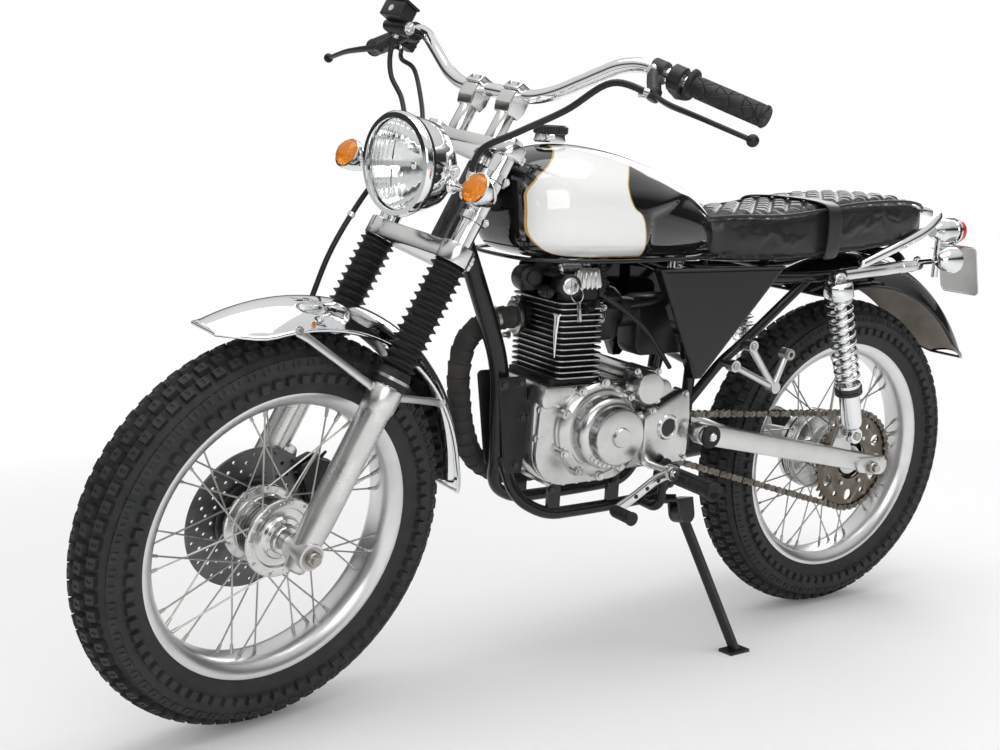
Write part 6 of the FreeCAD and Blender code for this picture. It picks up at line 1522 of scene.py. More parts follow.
def spline(points, count=8):
    # a smooth run that passes through every point
    points = [Vector(p) for p in points]
    full = [2 * points[0] - points[1]] + points + [2 * points[-1] - points[-2]]
    made = []
    for i in range(1, len(full) - 2):
        p0, p1, p2, p3 = full[i - 1:i + 3]
        for k in range(count):
            t = k / count
            made.append(0.5 * ((2 * p1) + (p2 - p0) * t + (2 * p0 - 5 * p1 + 4 * p2 - p3) * t * t
                               + (3 * p1 - p0 - 3 * p2 + p3) * t ** 3))
    return made + [points[-1]]


def makeCables():
    lines = [pipe(name, spline(run), cableValues[name], smooth=False, sides=12)
             for name, run in (("clutch", clutchRun), ("throttle", throttleRun), ("hose", hoseRun))]
    onFork("controlCablesPiece", lines, "cableBlack", "control_cables", 60)
    ends = []
    for run, radius in ((clutchRun, 6.4), (throttleRun, 5.2), (hoseRun, 6.0)):
        path = spline(run)
        for a, b in ((path[0], path[2]), (path[-1], path[-3])):
            ends.append(lathe("ferrule", [(0, 0), (radius, 0), (radius, 12), (radius * 0.86, 16), (0, 16)],
                              a, b - a, 20))
    for i in (60, 84):
        path = spline(hoseRun)
        ends.append(lathe("clip", [(0, -4), (6.4, -4), (6.4, 4), (0, 4)], path[i], path[i + 1] - path[i], 24))
    onFork("cableFerrules", ends, "polishedAluminium", slot="chrome_trim")


makeCables()
print("cables made")

# engine: crankcase with round covers, bolt bosses and a sprocket cover with its window
engineValues = {"x": 666.0, "z": 130.0, "side": 88.0, "starter": (584.0, 204.0), "window": (531.0, 127.0)}


def bossed(x, z, low, high, radius=8.0, side=1):
    # a bolt boss across the case, with its socket screw
    return [bevelled(rod("boss", (x, side * low, z), (x, side * high, z), radius, sides=24), 1.2, 2),
            bevelled(rod("screw", (x, side * high, z), (x, side * (high + 5), z), radius * 0.62, sides=20),
                     0.8, 1), rod("socket", (x, side * (high + 4.9), z), (x, side * (high + 5.3), z),
                                  radius * 0.3, sides=6)]


def makeCase():
    x, z, side = engineValues["x"], engineValues["z"], engineValues["side"]
    parts = [plateOf("crankcase", [(632, 92, 62), (728, 92, 62), (742, 162, 48), (610, 176, 34)], -side, 64,
                     "Y", 5, 32)]
    parts.append(plateOf("caseFlange", [(630, 92, 62), (726, 92, 62), (736, 160, 48), (616, 174, 34)], 56,
                         74, "Y", 3, 32))
    parts.append(plateOf("caseJoint", [(632, 92, 63.5), (728, 92, 63.5), (742, 162, 49.5), (610, 176, 35.5)],
                         -3, 3, "Y", 1, 32))
    parts.append(plateOf("barrelFoot", [(650, 190, 14), (772, 186, 14), (772, 204, 8), (650, 204, 8)], -82,
                         82, "Y", 4, 20))
    parts.append(plateOf("gearbox", [(500, 60, 22), (500, 180, 22), (600, 60, 22), (600, 186, 22)], -side,
                         56, "Y", 5, 20))
    parts.append(lathe("drum", [(0, 0), (84, 0), (84, 14), (82, 16), (82, 19), (84, 21), (84, 26), (78, 33),
                                (70, 36), (0, 36)], (x, 62, z), (0, 1, 0), 96))
    parts.append(lathe("alternator", [(0, 0), (66, 0), (67, 3), (66, 10), (65, 28), (62, 36), (56, 40),
                                      (52, 41), (51, 44), (51, 59), (49.5, 62.5), (46, 64), (18, 64),
                                      (17, 66), (17, 68), (15.5, 70), (0, 70)], (x, side, z), (0, 1, 0), 96))
    for k in range(11):
        a = math.radians(212 + k * 10.5)
        parts.append(rod("stud", (x + 57 * math.cos(a), 126, z + 57 * math.sin(a)),
                         (x + 57 * math.cos(a), 129.6, z + 57 * math.sin(a)), 3.1, sides=12))
    for degrees, reach, low in ((24, 82, 10), (58, 84, -20), (92, 84, 10), (168, 84, 40), (206, 84, 20),
                                (236, 86, 30), (268, 84, 0), (300, 84, -10), (334, 84, 0)):
        a = math.radians(degrees)
        parts += bossed(x + reach * math.cos(a), z + reach * math.sin(a), low, 96, 9)
    for bx, bz in ((780, 118), (776, 168), (722, 206)):
        parts += bossed(bx, bz, -60, 70, 9.5)
    sx, sz = engineValues["starter"]
    parts.append(lathe("starterDisc", [(0, 0), (30, 0), (30, 22), (29, 24), (29, 33), (27.5, 35.5), (26, 36),
                                       (0, 36.4)], (sx, side, sz), (0, 1, 0), 64))
    for bx, bz in ((sx - 24, sz + 27), (sx + 32, sz - 16), (sx - 26, sz - 26), (sx + 22, sz + 30)):
        parts += bossed(bx, bz, 84, 110, 6.5)
    parts.append(lathe("motor", [(0, 0), (14, 0), (16, 2), (17, 5), (17, 60), (15.4, 62), (15.4, 158),
                                 (17, 160), (17, 212), (14, 218), (0, 220)], (sx - 6, -110, 220.5),
                       (0, 1, 0), 40))
    parts += bossed(sx + 12, 226, 92, 112, 5)
    parts.append(plateOf("sprocketCover", [(498, 76, 18), (572, 68, 12), (572, 142, 12), (568, 150, 10),
                                           (496, 178, 14), (486, 140, 8)], 86, 112, "Y", 6, 20))
    wx, wz = engineValues["window"]
    parts.append(lathe("windowRing", [(15, 0), (24, 0), (24, 3), (21, 6), (17, 6), (15, 3)], (wx, 110, wz),
                       (0, 1, 0), 56))
    for k in range(4):
        a = math.radians(45 + 90 * k)
        parts.append(rod("screw", (wx + 20 * math.cos(a), 115, wz + 20 * math.sin(a)),
                         (wx + 20 * math.cos(a), 117.4, wz + 20 * math.sin(a)), 2.4, sides=12))
    for bx, bz in ((488, 66), (560, 58), (494, 186), (566, 160)):
        parts += bossed(bx, bz, 80, 112, 7)
    parts.append(lathe("rightCover", [(0, 0), (77, 0), (78, 4), (78, 26), (74, 34), (62, 40), (30, 43),
                                      (28, 44), (26, 44), (0, 44)], (x - 4, -side, z), (0, -1, 0), 96))
    parts.append(plateOf("rightWing", [(520, 90, 34), (520, 150, 34), (600, 80, 40), (600, 170, 36)], -116,
                         -88, "Y", 5, 24))
    for k in range(9):
        a = math.radians(20 + 40 * k)
        parts += bossed(x - 4 + 76 * math.cos(a), z + 76 * math.sin(a), 88, 118, 7, -1)
    parts.append(bolt((x - 40, -125, z + 62), (0, -1, 0), 9, 7))
    for u in range(6):
        parts.append(block("sumpRib", (606 + u * 28, 0, 29), (5, 128, 6)))
    parts.append(bolt((680, 30, 30), (0, 0, -1), 9, 6))
    onBike("engineCasePiece", parts, "castAluminium", "engine_case", 36)
    glass = [lathe("glass", [(0, 0), (15.2, 0), (15.2, 2), (0, 2.4)], (wx, 110.5, wz), (0, 1, 0), 40)]
    onBike("windowPane", glass, "glossBlack", slot="control_black")


def makeBarrel():
    # black finned barrel and head; the fins' rims are bare metal
    parts, rims = [], []
    parts.append(plateOf("core", [(680, -56, 12), (738, -56, 12), (738, 56, 12), (680, 56, 12)], 206, 398,
                         "Z", 2, 20))
    parts.append(plateOf("sleeve", [(668, -62, 8), (756, -62, 8), (756, 62, 8), (668, 62, 8)], 206, 222, "Z",
                         1.5, 16))
    for i in range(14):
        z = 222 + i * 10
        grow = 0 if i < 9 else 2
        corners = [(676, -68, 13), (742 + grow, -66, 13), (742 + grow, 66, 13), (676, 68, 13)]
        parts.append(plateOf("fin", corners, z, z + 3.4, "Z", 0.6, 28))
        rims.append(plateOf("finRim", [(u, v, r + 0.7) for u, v, r in corners], z + 0.8, z + 2.6, "Z", 0, 28))
    for u, v in ((690, 30), (730, 34), (690, -30), (730, -34)):
        parts.append(rod("stud", (u, v, 388), (u, v, 404), 7, sides=24))
    parts.append(plateOf("head", [(684, -48, 14), (736, -46, 14), (736, 58, 14), (684, 60, 14)], 350, 399,
                         "Z", 4, 20))
    parts.append(lathe("exhaustPort", [(0, -20), (27, -20), (27, 20), (24, 22), (0, 22)], (744, -40, 322),
                       (0.86, -0.02, -0.1), 40))
    parts.append(lathe("cable", [(0, 0), (8, 0), (8, 22), (5, 26), (5, 46), (0, 46)], (706, 78, 344),
                       (0.1, 1, 0.35), 24))
    onBike("engineCylinderPiece", parts, "finBlack", "engine_cylinder", 34)
    onBike("finRims", rims, "finEdge", slot="engine_aluminium", smooth=40)
    clip = []
    for y in (74, 84):
        clip.append(swept("clipLeg", [(764, y, 336), (766, 79 + (y - 79) * 0.55, 304), (765, 79, 262)],
                          [(1.9, 2.2), (1.7, 2.0), (0.9, 1.0)], (1, 0, 0), 10))
    clip.append(rod("clipBar", (764, 70, 336), (764, 88, 336), 2.2, sides=12))
    onBike("finClip", clip, "chrome", slot="chrome_trim")


def makeHead():
    # polished cover with its ridges, bolts, and the black bodies beside it
    parts = [plateOf("cover", [(676, -38, 6), (732, -38, 6), (732, 38, 6), (676, 38, 6)], 396, 413, "Z", 3,
                     16)]
    for u in (682, 692, 702, 712, 722):
        parts.append(bevelled(block("ridge", (u, 0, 414), (4, 76, 5)), 1.2))
    parts.append(plateOf("badge", [(684, 6, 3), (724, 6, 3), (724, 33, 3), (684, 33, 3)], 412, 418.5, "Z",
                         1.2, 12))
    for u, v in ((675, 36), (675, -36), (733, 36), (733, -36)):
        parts.append(bolt((u, v, 413), (0, 0, 1), 5, 4))
    parts.append(plateOf("cheek", [(678, 384, 6), (726, 384, 6), (720, 408, 6), (684, 408, 6)], 70, 79, "Y",
                         3, 14))
    for u in (686, 696, 706, 716):
        parts.append(bevelled(block("cheekRidge", (u, 80, 392), (3.4, 4, 30)), 1))
    onBike("engineHeadCoverPiece", parts, "polishedAluminium", "engine_head_cover", 34)
    lock = [lathe("lockBody", [(0, 0), (16, 0), (18, 3), (18, 40), (19.4, 42), (19.4, 52), (17, 54),
                               (0, 54)], (748, 60, 386), (0.28, 1, 0.05), 40),
            lathe("coil", [(0, 0), (21, 0), (23, 4), (23, 40), (20, 46), (12, 48), (12, 56), (0, 56)],
                  (776, -16, 388), (0.2, 1, 0.1), 36), block("lockArm", (752, 44, 400), (20, 60, 7))]
    for i in range(7):
        lock.append(lathe("spring", [(5, -1.7), (9.5, -1.7), (11, 0), (9.5, 1.7), (5, 1.7)],
                          (664, 62, 372 + i * 6.5), (0, 0, 1), 24))
    lock.append(lathe("breather", [(0, 0), (7, 0), (7, 56), (9, 58), (9, 66), (0, 66)], (664, 62, 362),
                      (0, 0, 1), 24))
    lock += bossed(770, 372, 40, 62, 11)
    onBike("ignitionSwitch", lock, "satinBlack", slot="control_black")
    face = Vector((748, 60, 386)) + Vector((0.28, 1, 0.05)).normalized() * 53.5
    bright = [lathe("lockFace", [(0, 0), (14.5, 0), (14.5, 2), (11, 3.4), (9, 2.4), (0, 2.4)], face,
                    (0.28, 1, 0.05), 40), block("keyBow", face + Vector((0, 12, 0)), (2.6, 16, 14)),
              lathe("ring", [(12.2, -0.8), (13.8, -0.8), (13.8, 0.8), (12.2, 0.8)],
                    face + Vector((-2, 17, -12)), (1, 0.25, 0), 40),
              block("keyTag", face + Vector((-6, 20, -40)), (2.4, 9, 34), (10, 0, 0))]
    onBike("ignitionKey", [bevelled(part, 0.8) for part in bright], "polishedAluminium", slot="chrome_trim")


def makeIntake():
    parts = [lathe("carb", [(0, 0), (24, 0), (24, 12), (30, 14), (30, 20), (24, 22), (24, 60), (27, 62),
                            (27, 72), (24, 74), (24, 86), (0, 86)], (566, 0, 322), (1, 0, 0), 48),
             lathe("bowl", [(0, -50), (14, -50), (23, -46), (26, -40), (27, -10), (27, 10), (0, 10)],
                   (606, 0, 322), (0, 0, 1), 48), lathe("dome",
                 [(0, 0), (31, 0), (31, 8), (28, 12), (18, 22), (8, 25), (8, 32), (0, 32)], (608, 0, 346),
                 (0, 0, 1), 48)]
    for k in range(4):
        a = math.radians(45 + 90 * k)
        parts.append(bolt((608 + 26 * math.cos(a), 26 * math.sin(a), 354), (0, 0, 1), 3.4, 3, 20))
        parts.append(rod("bowlScrew", (606 + 24 * math.cos(a), 24 * math.sin(a), 280),
                         (606 + 24 * math.cos(a), 24 * math.sin(a), 300), 3.4, sides=16))
    parts.append(plateOf("airbox", [(352, 262, 20), (352, 332, 20), (532, 262, 20), (532, 332, 20)], -29, 29,
                         "Y", 6, 20))
    parts.append(lathe("horn", [(18, 0), (26, 0), (28, 8), (28, 30), (18, 30)], (550, 0, 322), (1, 0, 0), 40))
    onBike("carburettorPiece", parts, "satinBlack", "carburettor", 34)
    ring = [lathe("bootRing", [(26, 0), (31.5, 0), (32.5, 2), (32.5, 10), (31, 12), (26, 12)], (626, 0, 322),
                  (1, 0, 0), 56)]
    ring += [bolt((632, 34 * s, 322 + 14 * s), (0, s, 0), 4, 4) for s in (1, -1)]
    onBike("bootRing", ring, "castAluminium", slot="intake_grey")
    tap = [lathe("tapBody", [(0, 0), (12, 0), (13, 4), (13, 26), (9, 30), (0, 30)], (498, 62, 398),
                 (0, 0, 1), 32), lathe("tapArm", [(0, 0), (8, 0), (8, 20), (5, 22), (0, 22)], (498, 66, 410),
                                       (0.2, 1, -0.2), 24), bolt((498, 50, 410), (0, -1, 0), 7, 5),
           rod("tapLever", (500, 88, 406), (506, 92, 382), 3.4, 4.4, 16)]
    onBike("fuelTap", tap, "polishedAluminium", slot="chrome_trim")
    hoses = [pipe("hose", spline(run), 4.2, smooth=False, sides=12) for run in (
        [(498, 62, 400), (504, 64, 372), (530, 54, 348), (572, 32, 336)],
        [(490, 70, 400), (484, 82, 350), (474, 88, 290), (470, 92, 232)],
        [(664, 62, 364), (628, 84, 340), (584, 92, 306), (546, 94, 262), (520, 92, 232)],
        [(470, 84, 404), (462, 92, 350), (462, 96, 300), (458, 94, 240)])]
    onBike("engineHoses", hoses, "cableBlack", slot="cable_black", smooth=60)


makeCase()
makeBarrel()
makeHead()
makeIntake()
print("engine made")

# exhaust: a header wrapped in overlapping bands, clamps, and the silencer
headerRun = [(769, -40, 314), (822, -46, 311), (868, -49, 277), (878, -51, 212), (863, -57, 122),
             (827, -77, 50), (754, -93, 7.5), (660, -107, 4), (561, -143, 0), (473, -157, 0)]


def makeHeader():
    path = arcPath(headerRun, 0.42, 8)
    # even steps along the run
    evenly, gap = [path[0]], 0.0
    for a, b in zip(path, path[1:]):
        length, at = (b - a).length, 0.0
        while gap + length - at >= 5.0:
            at += 5.0 - gap
            gap = 0.0
            evenly.append(a + (b - a) * (at / length))
        gap += length - at
    bands, sizes = [], []
    for i, spot in enumerate(evenly[:-1]):
        band, r = i % 5, 21.3 - 0.5 * (i % 5) + 0.3 * math.sin(i * 1.7)
        bands.append(spot)
        sizes.append((r, r))
        if band == 4:
            bands.append(spot + (evenly[i + 1] - spot) * 0.86)
            sizes.append((18.9, 18.9))
    wrap = swept("wrap", bands, sizes, (0, 1, 0), 28)
    onBike("exhaustHeaderPiece", [wrap], "wrapCloth", "exhaust_header", 40)
    collar = [lathe("flange", [(16, 0), (30, 0), (31, 2), (31, 8), (24, 10), (16, 10)], (767, -40, 314),
                    (1, -0.1, -0.05), 40)]
    for s in (1, -1):
        collar.append(bolt((776, -40 + s * 34 * 0.35, 314 + s * 34), (1, 0, 0), 5.5, 12))
    ties = [lathe("tie", [(20, -3), (22.2, -3), (22.2, 3), (20, 3)], evenly[i], evenly[i + 1] - evenly[i],
                  40) for i in (8, len(evenly) - 6)]
    onBike("headerClamps", collar + ties, "steel", slot="lever_aluminium")


def makeSilencer():
    start, end = Vector((473, -157, 0)), Vector((-75, -197, 12))
    length = (end - start).length
    line = [(19, 0), (22, 0), (24, 6), (24, 24), (26, 30), (38, 74), (40, 84), (40, length - 52),
            (41.5, length - 50), (41.5, length - 40), (39.5, length - 38), (38, length - 20),
            (30, length - 6), (24, length), (17, length), (17, length - 60), (0, length - 60)]
    body = lathe("body", line, start, end - start, 72)
    way = (end - start).normalized()
    bands = [lathe("band", [(40, -9), (41.8, -9), (41.8, 9), (40, 9)], start + way * at, way, 72)
             for at in (180, 330)]
    hook = [plateOf("tab", [(310, 44, 9), (342, 44, 9), (326, 18, 12)], -175, -169, "Y", 1.2),
            bolt((326, -175, 44), (0, -1, 0), 6, 5)]
    onBike("mufflerPiece", [body] + bands, "satinBlack", "muffler", 34)
    onBike("mufflerTab", hook, "steel", slot="lever_aluminium")


makeHeader()
makeSilencer()
print("exhaust made")

# frame details: mount plates, bolts and pivot caps
def makeFrameDetails():
    parts = []
    for s in (1, -1):
        y = s * 34
        parts.append(plateOf("mountPlate", [(800, 214, 9), (838, 214, 9), (792, 150, 10), (824, 120, 10),
                                            (800, 60, 10), (816, 60, 10)], y - 3, y + 3, "Y", 1.2, 14))
        for u, v in ((802, 212), (836, 210), (796, 150), (806, 66)):
            parts.append(bolt((u, y + s * 3, v), (0, s, 0), 6.5, 6))
        parts.append(plateOf("headPlate", [(742, 400, 8), (716, 424, 8), (772, 410, 8)], s * 22 - 2.5,
                             s * 22 + 2.5, "Y", 1, 12))
        parts.append(bolt((742, s * 25, 402), (0, s, 0), 6, 5))
    for u in (604, 746):
        for s in (1, -1):
            parts.append(bolt((u, s * 66, 22), (0, s, 0), 6, 6))
    onBike("mountPlates", parts, "satinBlack", slot="frame_black")
    pivot = []
    for s in (1, -1):
        pivot.append(lathe("pivotCollar", [(9, 0), (17, 0), (18, 2), (18, 12), (16, 14), (9, 14)],
                           (452, s * 126, 109), (0, s, 0), 48))
        pivot.append(bolt((452, s * 144, 109), (0, s, 0), 9, 6))
    onBike("pivotCollars", pivot, "polishedAluminium", slot="arm_aluminium")
    caps = [lathe("pivotCap", [(9, 0), (18, 0), (21, 3), (21, 8), (18, 11), (9, 11)], (452, s * 136, 109),
                  (0, s, 0), 48) for s in (1, -1)]
    onBike("pivotCaps", caps, "rubber", slot="peg_black")


makeFrameDetails()

# swingarm: smooth box arms, adjusters and the axle
def makeSwingarm():
    parts = []
    for s in (1, -1):
        low, high = sorted((s * 100, s * 126))
        parts.append(plateOf("arm", [(452, 109, 20), (460, 109, 12), (-22, 0, 18), (-30, 14, 4),
                                     (-30, -14, 4)], low, high, "Y", 3.5, 28))
        parts.append(plateOf("endPlate", [(26, 6, 16), (-26, 0, 19)], s * 128 - 3, s * 128 + 3, "Y", 1.2, 20))
        parts.append(rod("adjuster", (-20, s * 113, 0), (-62, s * 113, 0), 4, sides=20))
        parts.append(bolt((-50, s * 113, 0), (-1, 0, 0), 7, 6))
        parts.append(bevelled(block("adjusterCap", (-42, s * 113, 0), (6, 24, 34)), 1.5))
        parts.append(bevelled(rod("eyeBoss", (78, s * 113, 77), (78, s * 131, 77), 11, sides=32), 1.5))
        parts.append(plateOf("shockLug", [(78, 77, 15), (52, 22, 8), (104, 32, 8)], s * 113 - 4, s * 113 + 4,
                             "Y", 1.2, 20))
        parts.append(rod("shockPin", (78, s * 113, 77), (78, s * 152, 77), 7.8, sides=24))
    parts.append(rod("pivotTube", (452, -136, 109), (452, 136, 109), 9.9, sides=40))
    parts.append(rod("axle", (0, -146, 0), (0, 146, 0), 7.9, sides=32))
    parts.append(rod("crossTube", (330, -100, 79.7), (330, 100, 79.7), 17, sides=48))
    onBike("swingarmPiece", parts, "satinAluminium", "swingarm", 34)
    nuts = []
    for s in (1, -1):
        nuts.append(bolt((0, s * 131, 0), (0, s, 0), 13, 9))
        nuts.append(rod("axleTip", (0, s * 139, 0), (0, s * 147, 0), 7.9, sides=32))
        nuts.append(bolt((78, s * 151, 77), (0, s, 0), 9, 6))
        nuts.append(bolt((168, s * 151, 388), (0, s, 0), 9, 6))
        for u in (10, 22):
            nuts.append(rod("mark", (-u, s * 131, 12), (-u, s * 131.6, 16), 0.7, sides=8))
    nuts.append(rod("rearSpacer", (0, 62, 0), (0, 99, 0), 13, sides=32))
    nuts.append(rod("rearSpacer", (0, -99, 0), (0, -84, 0), 13, sides=32))
    onBike("axleNuts", nuts, "steel", slot="shock_chrome")


def makeShocks():
    top, low = Vector((168, 142, 388)), Vector((78, 142, 77))
    way = (top - low).normalized()
    length = (top - low).length
    steel, springs = [], []
    body = [(0, 16), (14, 16), (18, 22), (20, 30), (20, 104), (24, 106), (24, 112), (19, 114), (12, 116),
            (12, length - 36), (26, length - 36), (28, length - 33), (28, length - 10), (24, length - 4),
            (0, length - 4)]
    steel.append(lathe("body", body, low, way, 56))
    for centre in (top, low):
        steel.append(lathe("eye", [(8, -10), (15, -10), (16, -8), (16, 8), (15, 10), (8, 10)], centre,
                           (0, 1, 0), 48))
    start, end, turns = 114.0, length - 37, 10
    across = way.cross(Vector((0, 1, 0))).normalized()
    rise = way.cross(across).normalized()
    coil = []
    for k in range(turns * 24 + 1):
        a = 2 * math.pi * k / 24
        coil.append(low + way * (start + (end - start) * k / (turns * 24))
                    + (across * math.cos(a) + rise * math.sin(a)) * 22.2)
    springs.append(pipe("spring", coil, 3.0, smooth=False, sides=10))
    onBike("rearShocksPiece", bothSides(steel + springs), "chrome", "rear_shocks", 60)
    rings = [lathe("ring", [(24, -3), (26.4, -3), (26.4, 3), (24, 3)], low + way * at, way, 48)
             for at in (94, 102)]
    onBike("shockRings", bothSides(rings), "blackPlastic", slot="control_black")


makeSwingarm()
makeShocks()
print("rear suspension made")

# rear mudguard: black outside, stained inside
rearGuardValues = {"half": 76.0, "wall": 2.4, "start": 62.0, "end": 152.0, "bead": 3.0}


def makeRearGuard():
    outer = dict(rearGuardValues)
    outer["crown"], outer["edge"] = guardReach("rear_mudguard")
    onBike("rearMudguardPiece", makeGuard("guard", outer), "glossBlack", "rear_mudguard", 50)
    lining = dict(outer, crown=outer["crown"] - 2.8, edge=outer["edge"] - 2.4, half=outer["half"] - 3,
                  wall=0.8, start=outer["start"] + 0.8, end=outer["end"] - 0.8)
    onBike("rearMudguardLining", firstOnly(makeGuard("lining", lining)), "mudguardInside",
           slot="mudguard_dark", smooth=50)


def guardReach(name):
    # crown and edge radius of a mudguard about the rear axle
    toBike = bike.inverted() @ nodes[name].matrix_world
    crown, edge = 0.0, 9e9
    for corner in nodes[name].data.vertices:
        p = toBike @ corner.co
        reach = math.hypot(p.x, p.z) / mm
        crown = max(crown, reach)
        if abs(p.y) / mm > rearGuardValues["half"] - 0.5:
            edge = min(edge, reach)
    return crown, edge


makeRearGuard()

# chrome loop, tail lamp, plate and rear indicators
grabRun = [(56, 99.7, 413), (-25, 117, 450), (-105, 112, 478), (-182, 77, 506), (-214, 32, 512)]


def makeTail():
    whole = grabRun + [(x, -y, z) for x, y, z in reversed(grabRun)]
    loop = [tubeAlong("loop", whole, 10.0, 16)]
    for s in (1, -1):
        loop.append(ball("loopEnd", (56, s * 99.7, 413), 10))
    onBike("grabRailPiece", loop, "chrome", "grab_rail", 60)
    lamp = [lathe("lampBody", [(0, 0), (13, 0), (14, 2), (20, 14), (25, 26), (25.5, 34), (25.5, 60),
                               (30, 61), (31, 63), (31, 65), (27, 66), (0, 66)], (-262, 0, 466), (-1, 0, 0),
                  64), rod("lampPost", (-287, 0, 366), (-287, 0, 450), 7, sides=24),
            bevelled(block("lampBracket", (-318, 0, 428), (66, 30, 4)), 1.4),
            bolt((-270, 24, 466), (0, 1, 0), 4, 3)]
    onBike("tailLampPiece", lamp, "chrome", "tail_lamp", 40)
    lens = [lathe("lampLens", [(0, 0), (25.5, 0), (25.5, 15), (24, 19), (17, 21.5), (8, 22.4), (0, 22.4)],
                  (-328, 0, 466), (-1, 0, 0), 56)]
    onBike("tailLampLensPiece", lens, "redGlass", "tail_lamp_lens", 50)
    backing = [lathe("lampBack", [(0, 0), (22, 0), (21, 3), (0, 2)], (-326, 0, 466), (-1, 0, 0), 40)]
    onBike("tailLampBack", backing, "reflector", slot="lamp_chrome")
    tilt = Matrix.Translation(Vector((-352, 0, 436)) * mm) @ Matrix.Rotation(math.radians(15), 4, "Y")
    edge = [(1.6, 47, -6), (1.6, 49, -14), (1.6, 49, -98), (1.6, 43, -108), (1.6, -43, -108),
            (1.6, -49, -98), (1.6, -49, -14), (1.6, -43, -3), (1.6, 43, -3)]
    trim = [pipe("plateEdge", edge, 1.5, smooth=False, sides=8, cyclic=True)]
    trim += [bolt((-0.4, y, z), (-1, 0, 0), 3.6, 2, 20) for y in (-26, 26) for z in (-16, -94)]
    for part in trim:
        fix(part)
        part.matrix_world = tilt
    onBike("plateTrim", trim, "polishedAluminium", slot="plate_blank")


def makeRearIndicators():
    centre, foot = (-98, 172, 426), (-98, 104, 414)
    bodies = bothSides(firstOnly(indicatorParts(centre, -1, foot)))
    stalks = bothSides([rod("stalk", foot, (-98, 152, 423), 6, sides=24), bolt(foot, (0, 1, 0.2), 9, 6),
                        lathe("stalkCollar", [(0, 0), (9, 0), (8, 8), (0, 8)], (-98, 146, 421.5),
                              (0, 1, 0.15), 24)])
    onBike("rearIndicatorsPiece", bodies + stalks, "chrome", "rear_indicators", 40)
    lenses = bothSides([facetedLens(centre, -1, 23.5, 12)])
    onBike("rearIndicatorLenses", lenses, "redGlass", slot="red_lens", smooth=0)


railEnds = ((155.75, 388.1), (-109.6, 408.7))


def makeRailSleeves():
    parts = []
    for s in (1, -1):
        start, end = Vector((110, s * 100, railHeight(110))), Vector((-91, s * 100, railHeight(-91)))
        parts.append(lathe("sleeve", [(11.2, 0), (12.6, 0), (12.6, 160), (14, 162), (14, 180), (12.6, 182),
                                      (12.6, 200), (11.2, 200)], start, end - start, 40))
        parts.append(lathe("sleeveEnd", [(0, 0), (12, 0), (12, 4), (9, 7), (0, 7)], end, end - start, 40))
    onBike("railSleeves", parts, "polishedAluminium", slot="chrome_trim")


def railHeight(x):
    # height of the tail rails at a place along them
    (x0, z0), (x1, z1) = railEnds
    return z0 + (z1 - z0) * (x0 - x) / (x0 - x1)


makeTail()
makeRearIndicators()
makeRailSleeves()
print("tail made")

# footrests, levers, bolts of the passenger hangers, and the fuel cap
def makePegs():
    y0, y1 = 132.0, 256.0
    line = [(0, y0), (13, y0), (14, y0 + 2)]
    for i in range(9):
        at = y0 + 8 + i * 11
        line += [(14, at), (14.6, at + 1), (14.6, at + 6), (12, at + 7.2), (12, at + 9.4), (14, at + 10.4)]
    line += [(14, y1 - 10), (17, y1 - 8), (17.4, y1 - 3), (16, y1), (0, y1)]
    rubber = lathe("pegRubber", [(r, y - y0) for r, y in line], (536, y0, 46), (0, 1, 0), 40)
    base = block("pegFlat", (536, 190, 58), (16, 104, 6))
    rubbers = bothSides([rubber, bevelled(base, 2)])
    onBike("pegRubbers", rubbers, "rubber", slot="peg_black", smooth=34)
    yoke = [plateOf("yoke", [(524, 40, 8), (548, 40, 8), (536, 62, 10)], 118, 128, "Y", 2, 16),
            plateOf("yokeArm", [(512, 20, 10), (544, 30, 8), (540, 52, 9)], 104, 112, "Y", 2, 16),
            bolt((536, 128, 34), (0, 1, 0), 6, 5), rod("pegPin", (520, 124, 46), (552, 124, 46), 5, sides=20),
            bolt((514, 112, 22), (0, 1, 0), 7, 6)]
    onBike("pegYokes", bothSides(yoke), "satinBlack", slot="peg_black")


def makeLevers():
    pivot, toe = Vector((566, 172, 62)), Vector((690, 180, 10))
    way = toe - pivot
    path = [pivot, pivot + way * 0.3 + Vector((0, 0, 7)), pivot + way * 0.62 + Vector((0, 0, 2)), toe]
    blade = swept("blade", arcPath(path, 0.4, 4), [(9, 4.4)] * (2 + 2 * 5), (0, 1, 0), 16, 3)
    boss = lathe("leverBoss", [(7, -9), (13, -9), (14, -7), (14, 7), (13, 9), (7, 9)], pivot, (0, 1, 0), 40)
    parts = [blade, boss, bolt(pivot + Vector((0, 9, 0)), (0, 1, 0), 6, 4),
             rod("shaft", (566, 110, 62), (566, 178, 62), 7, sides=28)]
    brakeToe = Vector((676, -176, 14))
    arm = swept("brakeArm", arcPath([Vector((548, -160, 30)), Vector((600, -164, 2)), Vector((650, -172, 4)),
                                     brakeToe], 0.4, 4), [(8, 4.6)] * 12, (0, 1, 0), 16, 3)
    pad = block("brakePad", brakeToe + Vector((6, -14, 6)), (44, 40, 7))
    parts += [arm, bevelled(pad, 2.2), rod("brakeShaft", (548, -118, 30), (548, -166, 30), 9, sides=28)]
    onBike("footControlsPiece", parts, "polishedAluminium", "foot_controls", 34)
    rubber = [lathe("toeRubber", [(0, 0), (9, 0), (10, 2)] + [(r, 6 + i * 6 + a) for i in range(6) for r,
                        a in ((11, 0), (11, 3), (9.4, 4), (9.4, 5))] + [(10, 46), (12, 48), (12, 52),
                        (10, 54), (0, 54)], (690, 176, 10), (0, 1, 0), 32)]
    holes = []
    for share in (0.26, 0.46, 0.66):
        spot = pivot + way * share + Vector((0, 5, 5 - share * 3))
        holes.append(rod("hole", spot - Vector((0, 1, 0)), spot + Vector((0, 0.2, 0)), 3.8, sides=20))
    onBike("gearRubber", rubber + holes, "rubber", slot="peg_black")


